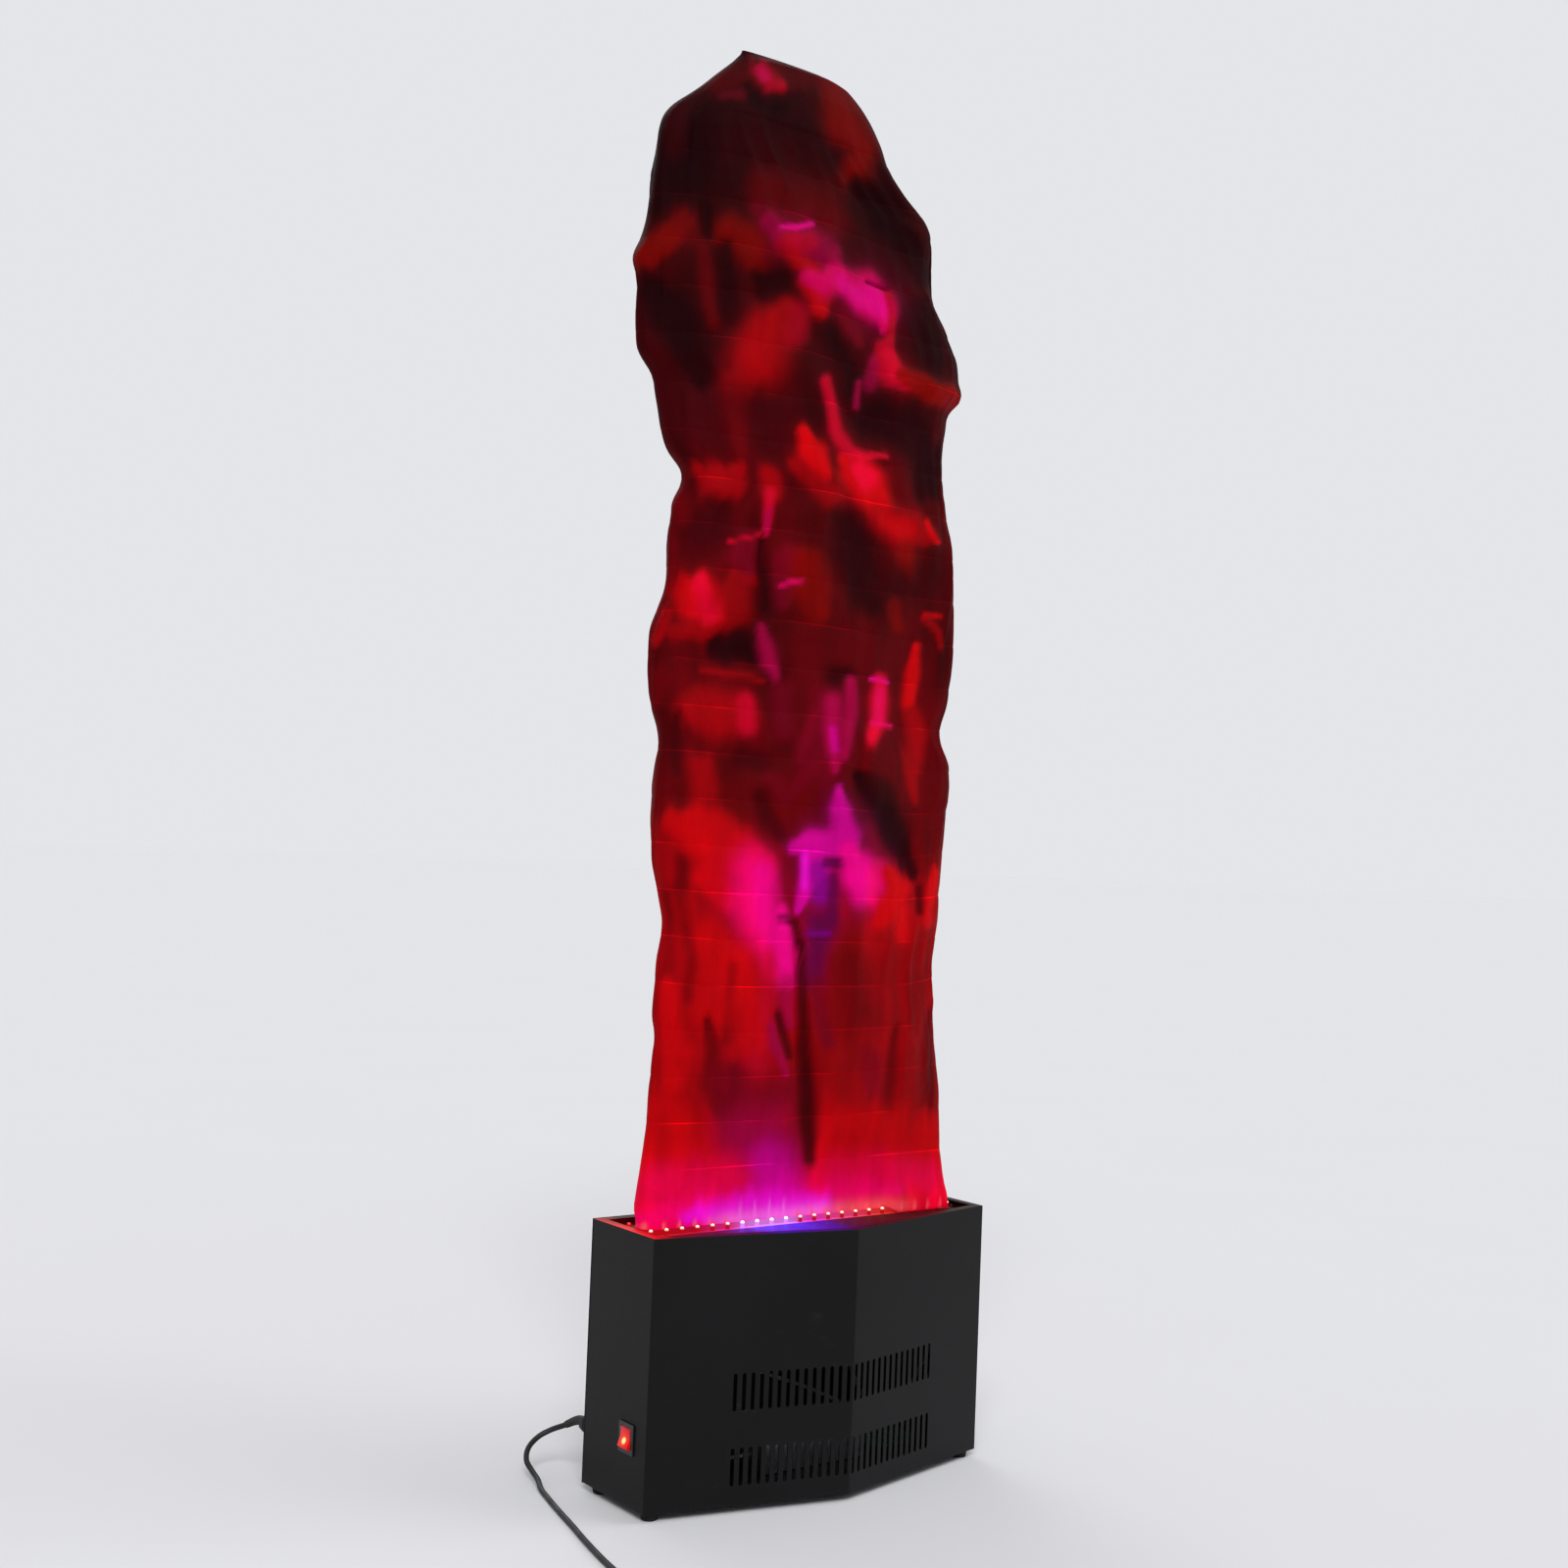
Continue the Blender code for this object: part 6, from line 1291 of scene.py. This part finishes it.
def silk_grid():
    """Rings of the flame as arrays, with what the paint needs to know of them."""
    levels, marks = silk_levels()
    shares = np.arange(SILK_AROUND) / SILK_AROUND
    hem = hem_outline(shares)
    half, centre, depth, back, left, right = (column[:, None] for column in outline_at(levels))
    u, z = np.meshgrid(shares, levels)
    v = (z - SILK_LOW.z) / (SILK_TOP_Z - SILK_LOW.z)
    angle = 2 * math.pi * u
    out_x, out_y = np.cos(angle) / half, np.sin(angle) / depth
    length = np.hypot(out_x, out_y)
    out_x, out_y = out_x / length, out_y / length
    push, sag = silk_push(u, v, z)
    push *= smoothstep((1.0 - v) / 0.10) * (1.0 - 0.75 * out_x ** 2)
    morph = smoothstep((z - COLLAR_TOP_Z) / MORPH_HEIGHT)
    spread_out = smoothstep((z - LIGHT_TIP_Z) / HEM_SPREAD_HEIGHT)
    hem_left = -HEM_HALF_X + (left + HEM_CORNER + HEM_HALF_X) * spread_out
    hem_right = HEM_HALF_X + (right - HEM_CORNER - HEM_HALF_X) * spread_out
    hem_x = (hem_left + hem_right) / 2 + (hem_right - hem_left) / 2 * hem[None, :, 0] / HEM_HALF_X
    x = hem_x * (1 - morph) + (half * np.cos(angle) + centre) * morph
    y = hem[None, :, 1] * (1 - morph) + (depth * np.sin(angle) + back) * morph + SLOT_Y
    x, y = x + out_x * push * morph, y + out_y * push * morph
    facing = -(out_x * math.sin(CAMERA_YAW) + out_y * math.cos(CAMERA_YAW))
    relief = swathe_relief(*turned_to_picture(x, y, z, centre, back, facing)) * morph
    x, y = x + out_x * relief, y + out_y * relief
    forward, droop = overhang(x, z, out_y)
    return x, y - forward, z + sag - droop, u, v, centre, back, facing, marks


def overhang(x, z, out_y):
    """How far the silk lies forward and droops over the lamps at its right."""
    table = np.array(OVERHANG)
    above = z - LIGHT_TIP_Z
    share = smoothstep((x - OVERHANG_START_X) / OVERHANG_EASE_X) * np.maximum(0.0, -out_y) ** 0.5
    forward = np.interp(above, table[:, 0], table[:, 1])
    droop = np.interp(above, table[:, 0], table[:, 2])
    return forward * share, droop * share


def turned_to_picture(x, y, z, centre, back, facing):
    """Where each place is seen, with the hidden side turned half round to show the same flame."""
    front_column, front_row = in_picture(x, y, z)
    back_column, back_row = in_picture(2 * centre - x, 2 * (back + SLOT_Y) - y, z)
    share = (facing > TURN_FACING).astype(float)
    column = front_column * share + back_column * (1 - share)
    row = front_row * share + back_row * (1 - share)
    return column, row, smoothstep((np.abs(facing - TURN_FACING) - TURN_BLANK) / TURN_EASE)


def swathe_weight(column, row, line, softness):
    """From 0 outside to 1 inside a swathe along its line, with a faint haze round it."""
    nearest = np.full(column.shape, np.inf)
    for (ax, ay, start), (bx, by, end) in zip(line, line[1:]):
        dx, dy = bx - ax, by - ay
        t = np.clip(((column - ax) * dx + (row - ay) * dy) / (dx * dx + dy * dy), 0.0, 1.0)
        away = np.hypot(column - ax - t * dx, row - ay - t * dy)
        nearest = np.minimum(nearest, away / (start + (end - start) * t))
    softness = min(SWATHE_BLUR * softness, 0.95)
    body = smoothstep((1 + softness - nearest) / (2 * softness))
    haze = np.exp(-((nearest / 1.3) ** 2))
    return 0.72 * body + 0.28 * haze


def swathe_relief(column, row, clear):
    """How far the swathes stand out or lie in, in metres."""
    relief = np.zeros(column.shape)
    for _, _, _, softness, stand_out, line in SWATHES:
        weight = swathe_weight(column, row, line, max(softness, 0.5))
        relief = relief * (1 - 0.5 * weight) + stand_out / 1000 * weight
    return 0.8 * relief * clear


def paint_map(column, row, u, v):
    """The flame's colour, with its painted light and shade, at places in the photograph."""
    rows = [level for level, _ in GROUND]
    tones = np.array([TONES[tone] for _, tone in GROUND])
    colour = np.stack([np.interp(row, rows, tones[:, k]) for k in range(3)], axis=-1)
    mottle = 0.55 * value_noise(u, v, 26, 14, 31) + 0.45 * value_noise(u, v, 60, 22, 33)
    colour = colour * (1.0 + 0.50 * mottle)[..., None]
    across = 3.0 * value_noise(u, v, 30, 34, 41) + 0.8 * value_noise(u, v, 90, 60, 43)
    along = 4.0 * value_noise(u, v, 44, 20, 47) + 3.0 * value_noise(u, v, 90, 26, 49)
    for _, tone, strength, softness, _, line in SWATHES:
        steady = min(1.0, max(width for _, _, width in line) / 12)
        weight = strength * swathe_weight(column + across * steady, row + along * steady, line, softness)
        colour = layered(colour, tone, weight)
    levels, strengths = zip(*STRENGTHS)
    return colour * np.interp(row, levels, strengths)[..., None]


def layered(colour, tone, weight):
    """A tone laid over colours, as strongly as its weight says."""
    return colour * (1 - weight[..., None]) + np.array(TONES[tone]) * weight[..., None]


def add_glints(colour, x, z):
    """The haze of light low on the silk, and a small streak above each lamp."""
    low = np.exp(-(((z - LIGHT_TIP_Z - 0.001) / HAZE_HEIGHT) ** 2))
    for tone, strength, start, start_ease, end, end_ease in HAZES:
        reach = smoothstep((x - start) / start_ease) * smoothstep((end - x) / end_ease)
        colour = layered(colour, tone, strength * low * reach)
    for i in range(LIGHTS):
        tone, tall = ("blush", VIOLET_STREAK_HEIGHT) if i in VIOLET_LIGHTS else ("coral", RED_STREAK_HEIGHT)
        away = np.hypot((x - light_x(i)) / STREAK_HALF_WIDTH, (z - LIGHT_TIP_Z) / tall)
        colour = layered(colour, tone, 0.85 * smoothstep(1.2 - away))
    return colour


def make_silk():
    """The flame as one closed sheet, with its colours, its painted light and shade, and the marks of its
    crease highlights kept on its points.
    """
    x, y, z, u, v, centre, back, facing, marks = silk_grid()
    column, row, _ = turned_to_picture(x, y, z, centre, back, facing)
    colours = add_glints(paint_map(column, row, u, v), x, z)
    rows, columns = x.shape
    places = np.stack([x, y, z], axis=-1).reshape(-1, 3)
    index = np.arange(rows * columns).reshape(rows, columns)
    across = np.roll(index, -1, axis=1)
    faces = np.stack([index[:-1], across[:-1], across[1:], index[1:]], axis=-1).reshape(-1, 4)
    mesh = bpy.data.meshes.new("silk_flame")
    cap = [int(i) for i in index[-1]]
    mesh.from_pydata(places.tolist(), [], faces.tolist() + [cap])
    shade(mesh)
    paint = mesh.color_attributes.new("silk_paint", "FLOAT_COLOR", "POINT")
    rgba = np.concatenate([colours.reshape(-1, 3), np.ones((rows * columns, 1))], axis=1)
    paint.data.foreach_set("color", np.clip(rgba, 0.0, 1.0).astype(np.float32).ravel())
    # The crease rings, along which the silk's material paints a highlight
    crease_highlight = mesh.attributes.new("crease_highlight", "FLOAT", "POINT")
    crease_highlight.data.foreach_set("value", np.repeat(marks, columns).astype(np.float32))
    silk = new_piece("silk_flame", mesh, SILK, "base")
    thicken(silk, SILK_THICKNESS, -1.0)
    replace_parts(silk, "flame_silk")
    return silk


BAND_SIDE_STEPS = 20
BAND_THICKNESS = 0.0011
# Share of the band's height, and how far its edge is eased in there
BAND_EDGES = ((0.0, 0.0003), (0.12, 0.0), (0.88, 0.0), (1.0, 0.0003))


def make_hem_band():
    """The elastic that grips the silk's hem on the collar."""
    low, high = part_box("silk_band")
    half_x, half_y = (high.x - low.x) / 2, (high.y - low.y) / 2
    outline = []
    for side, start in ((1, -math.pi / 2), (-1, math.pi / 2)):
        for i in range(BAND_SIDE_STEPS + 1):
            angle = start + math.pi * i / BAND_SIDE_STEPS
            outline.append((side * (half_x - half_y) + half_y * math.cos(angle), half_y * math.sin(angle)))
    bm = bmesh.new()
    rings = []
    for share, inward in BAND_EDGES:
        z = low.z + (high.z - low.z) * share
        ring = []
        for px, py in outline:
            scale = 1.0 - inward / math.hypot(px, py)
            ring.append(bm.verts.new((px * scale + (low.x + high.x) / 2, py * scale + SLOT_Y, z)))
        rings.append(ring)
    join_rings(bm, rings)
    band = new_piece("hem_band", mesh_of("hem_band", bm), HEM, "base")
    thicken(band, BAND_THICKNESS, -1.0)
    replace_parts(band, "silk_band")
    return band


# Lights

def light_x(i):
    """How far along the row a lamp stands."""
    return (i - (LIGHTS - 1) / 2) * LIGHT_PITCH


def light_profile():
    """A flange, a straight side and a dome."""
    profile = [
        (LIGHT_FLANGE_RADIUS, 0.0),
        (LIGHT_FLANGE_RADIUS, LIGHT_FLANGE_HEIGHT),
        (LIGHT_RADIUS, LIGHT_FLANGE_HEIGHT),
    ]
    for step in range(LIGHT_DOME_STEPS + 1):
        turn = math.pi / 2 * step / LIGHT_DOME_STEPS
        profile.append((LIGHT_RADIUS * math.cos(turn), LIGHT_HEIGHT - LIGHT_RADIUS * (1 - math.sin(turn))))
    return profile


def make_light_strip(node, name, y, red):
    """A board, and on it the violet lamps as one piece and the others as another."""
    low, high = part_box(node)
    board_top = high.z - LIGHT_HEIGHT
    bm = bmesh.new()
    rounded_block(bm, low, (high.x, high.y, board_top), 0.0003, 2)
    strip = new_piece(name + "_strip", sharpened(mesh_of(name + "_strip", bm)), STRIP, "base")
    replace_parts(strip, node)
    for tone, material, lights in (
        ("red", red, [i for i in range(LIGHTS) if i not in VIOLET_LIGHTS]),
        ("violet", VIOLET_LIGHT, VIOLET_LIGHTS),
    ):
        bm = bmesh.new()
        for i in lights:
            lathe(bm, light_profile(), (light_x(i), y, board_top), (0, 0, 1), LIGHT_SIDES)
        mesh = sharpened(mesh_of(f"{name}_{tone}_lights", bm), 40.0)
        new_piece(f"{name}_{tone}_lights", mesh, material, "base")


# Switch, feet and screws

ROCKER_EDGE = 0.0005
FOOT_RECESS_RADIUS = 0.0034
FOOT_RECESS_DEPTH = 0.0040
FOOT_HOLE_RADIUS = 0.0019
SCREW_HEAD_RADIUS = 0.003
SCREW_HEAD_HEIGHT = 0.0018
SCREW_SHANK_RADIUS = 0.0015
SCREW_SHANK_LENGTH = 0.003
# Share of the head's radius, and height over its seat
SCREW_DOME = (
    (1.0, 0.0), (1.0, 0.0003), (0.95, 0.0009), (0.78, 0.0014), (0.5, 0.0017), (0.0, SCREW_HEAD_HEIGHT),
)
CROSS_HALF_WIDTH = 0.00032
CROSS_HALF_LENGTH = 0.0014
CROSS_LEVELS = (0.0006, 0.0024)


def make_rocker():
    """The rocker's own solid, with rounded edges and a shallow dip, pressed in at the top."""
    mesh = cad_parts["switch_rocker"].data.copy()
    mesh.materials.clear()
    bm = bmesh.new()
    bm.from_mesh(mesh)
    bmesh.ops.remove_doubles(bm, verts=bm.verts, dist=MERGE_DISTANCE)
    bmesh.ops.dissolve_limit(bm, angle_limit=math.radians(1.0), verts=bm.verts, edges=bm.edges)
    sharp = [e for e in bm.edges if len(e.link_faces) == 2 and e.calc_face_angle() > math.radians(40)]
    bmesh.ops.bevel(
        bm, geom=sharp, offset=ROCKER_EDGE, segments=3, affect="EDGES", profile=0.5, clamp_overlap=True
    )
    bm.to_mesh(mesh)
    bm.free()
    shade(mesh)
    sharpened(mesh, 30.0)
    mesh.name = "lit_rocker_cap"
    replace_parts(new_piece("lit_rocker_cap", mesh, ROCKER, "switch_rocker"), "switch_rocker")


def make_feet():
    for i in range(1, 5):
        low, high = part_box(f"foot_{i}")
        radius = (high.x - low.x) / 2
        profile = [
            (FOOT_RECESS_RADIUS, 0.0),
            (radius * 0.84, 0.0),
            (radius * 0.89, 0.0006),
            (radius * 0.91, 0.0016),
            (radius, high.z - 0.0012),
            (radius, high.z),
            (FOOT_HOLE_RADIUS, high.z),
            (FOOT_HOLE_RADIUS, FOOT_RECESS_DEPTH + 0.0002),
            (FOOT_RECESS_RADIUS, FOOT_RECESS_DEPTH),
            (FOOT_RECESS_RADIUS, 0.0),
        ]
        bm = bmesh.new()
        lathe(bm, profile, ((low.x + high.x) / 2, (low.y + high.y) / 2, 0.0), (0, 0, 1), 40)
        bmesh.ops.remove_doubles(bm, verts=bm.verts, dist=MERGE_DISTANCE)
        mesh = sharpened(mesh_of(f"rubber_foot_{i}", bm), 35.0)
        foot = new_piece(f"rubber_foot_{i}", mesh, RUBBER, "base")
        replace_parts(foot, f"foot_{i}")


def cross_mesh(seat, axis):
    """Two crossed bars that cut the recess of a screw's head."""
    side = axis.orthogonal().normalized()
    other = axis.cross(side)
    bm = bmesh.new()
    for first, second in ((side, other), (other, side)):
        corners = []
        for across in (-CROSS_HALF_WIDTH, CROSS_HALF_WIDTH):
            for along in (-CROSS_HALF_LENGTH, CROSS_HALF_LENGTH):
                for level in CROSS_LEVELS:
                    place = Vector(seat) + first * across + second * along + axis * level
                    corners.append(bm.verts.new(place))
        bmesh.ops.convex_hull(bm, input=corners)
    return mesh_of("cross_tool", bm, smooth=False)


def make_screw(node, axis, seat):
    """A domed head with a cross recess, over its shank."""
    axis = Vector(axis)
    shank = [(0.0, -SCREW_SHANK_LENGTH), (SCREW_SHANK_RADIUS, -SCREW_SHANK_LENGTH), (SCREW_SHANK_RADIUS, 0.0)]
    dome = [(SCREW_HEAD_RADIUS * share, height) for share, height in SCREW_DOME]
    bm = bmesh.new()
    lathe(bm, [*shank, *dome], seat, axis, 24)
    screw = new_piece(f"{node}_domed", sharpened(mesh_of(f"{node}_head", bm)), SCREW, "base")
    tool = in_scene("cross_tool", cross_mesh(seat, axis))
    recess = screw.modifiers.new("recess", "BOOLEAN")
    recess.operation = "DIFFERENCE"
    recess.solver = "EXACT"
    recess.use_self = True
    recess.object = tool
    bpy.context.view_layer.update()
    evaluated = screw.evaluated_get(bpy.context.evaluated_depsgraph_get())
    mesh = bpy.data.meshes.new_from_object(evaluated)
    mesh.validate()
    screw.modifiers.clear()
    screw.data = mesh
    bpy.data.objects.remove(tool)
    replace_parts(screw, node)


def make_screws():
    """The screws that show, which hold the back panel and the collar."""
    for i in range(1, 7):
        low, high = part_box(f"back_screw_{i}")
        seat = ((low.x + high.x) / 2, high.y - SCREW_HEAD_HEIGHT, (low.z + high.z) / 2)
        make_screw(f"back_screw_{i}", (0, 1, 0), seat)
    for i in range(1, 5):
        low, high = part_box(f"collar_screw_{i}")
        seat = ((low.x + high.x) / 2, (low.y + high.y) / 2, high.z - SCREW_HEAD_HEIGHT)
        make_screw(f"collar_screw_{i}", (0, 0, 1), seat)


# CAD nodes that keep their shape

FINISHES = {
    "housing_shell": SHELL,
    "back_panel": PAINT,
    "base_plate": PAINT,
    "top_plate": PLATE,
    "fan_deck": ZINC,
    "air_duct": ZINC,
    "silk_collar": ZINC,
    "fan_frame": FAN,
    "fan_rotor": FAN,
    "power_supply": ZINC,
    "control_board": CIRCUIT,
    "mains_inlet": NYLON,
    "fuse_drawer": NYLON,
    "switch_body": NYLON,
    "foot_screw": SCREW,
    "fan_screw": SCREW,
    "inlet_lead": LEAD,
    "switch_lead": LEAD,
    "supply_lead": LEAD,
    "fan_lead": LEAD,
    "led_lead": LEAD,
}


def finish_cad_nodes():
    """Gives each kept solid the material that its name's start calls for."""
    for name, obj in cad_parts.items():
        for start, material in FINISHES.items():
            if name.startswith(start):
                obj.data.materials.clear()
                obj.data.materials.append(material)


# Studio

FLOOR_HALF_SIZE = 120.0
FLOOR_TONE = srgb(0.86, 0.86, 0.87)
FLOOR_DARKER = srgb(0.857, 0.857, 0.867)
FLOOR_LIGHTER = srgb(0.863, 0.863, 0.873)
WORLD_LIGHT = (0.42, 0.425, 0.44)
BACKDROP = srgb(0.895, 0.90, 0.915)
# Lamps: name, place that they shine from, strength, and spread in degrees
LAMPS = (
    ("key_lamp", (-2.1, -2.9, 3.3), 1.9, 26.0),
    ("fill_lamp", (3.0, -2.0, 3.2), 0.7, 40.0),
    ("back_lamp", (0.8, 3.4, 2.6), 0.6, 40.0),
)


def make_stage():
    """The plain pale floor."""
    floor = bpy.data.meshes.new("studio_floor")
    bm = bmesh.new()
    corners = ((-1, -1), (1, -1), (1, 1), (-1, 1))
    bm.faces.new([bm.verts.new((px * FLOOR_HALF_SIZE, py * FLOOR_HALF_SIZE, 0.0)) for px, py in corners])
    bm.to_mesh(floor)
    bm.free()
    look = Shading("studio_floor", FLOOR_TONE, 0.85, 0.0, 0.0)
    look.feed(look.mix(look.noise(2.0, 3.0), FLOOR_DARKER, FLOOR_LIGHTER), "Base Color")
    floor.materials.append(look.material)
    in_scene("studio_floor", floor)


def make_lamp(name, place, strength, spread):
    """A wide soft sun that shines from a place towards the middle of the stage."""
    data = bpy.data.lights.new(name, "SUN")
    data.energy = strength
    data.angle = math.radians(spread)
    lamp = in_scene(name, data)
    lamp.location = place
    lamp.rotation_euler = Vector(place).to_track_quat("Z", "Y").to_euler()


def make_world():
    """Even pale light, which the camera itself sees as a backdrop near the floor's tone."""
    world = bpy.data.worlds.new("studio")
    bpy.context.scene.world = world
    world.use_nodes = True
    nodes, links = world.node_tree.nodes, world.node_tree.links
    background = nodes["Background"]
    background.inputs["Color"].default_value = (*WORLD_LIGHT, 1.0)
    seen = nodes.new("ShaderNodeBackground")
    seen.inputs["Color"].default_value = (*BACKDROP, 1.0)
    path = nodes.new("ShaderNodeLightPath")
    mix = nodes.new("ShaderNodeMixShader")
    links.new(path.outputs["Is Camera Ray"], mix.inputs["Fac"])
    links.new(background.outputs["Background"], mix.inputs[1])
    links.new(seen.outputs["Background"], mix.inputs[2])
    links.new(mix.outputs["Shader"], nodes["World Output"].inputs["Surface"])


def make_studio():
    make_stage()
    for lamp in LAMPS:
        make_lamp(*lamp)
    make_world()


def main():
    make_camera()
    points, route, end = cord_route()
    lead = make_cord(points)
    connector = make_connector(route)
    plug = make_plug(end)
    tie = make_tie()
    silk = make_silk()
    band = make_hem_band()
    make_light_strip("led_board_front", "front", LIGHT_Y, RED_LIGHT)
    make_light_strip("led_board_rear", "rear", (REAR_BOARD_LOW.y + REAR_BOARD_HIGH.y) / 2, DIM_LIGHT)
    make_rocker()
    make_feet()
    make_screws()
    finish_cad_nodes()
    make_studio()
    bpy.context.scene.view_settings.view_transform = "Standard"


main()
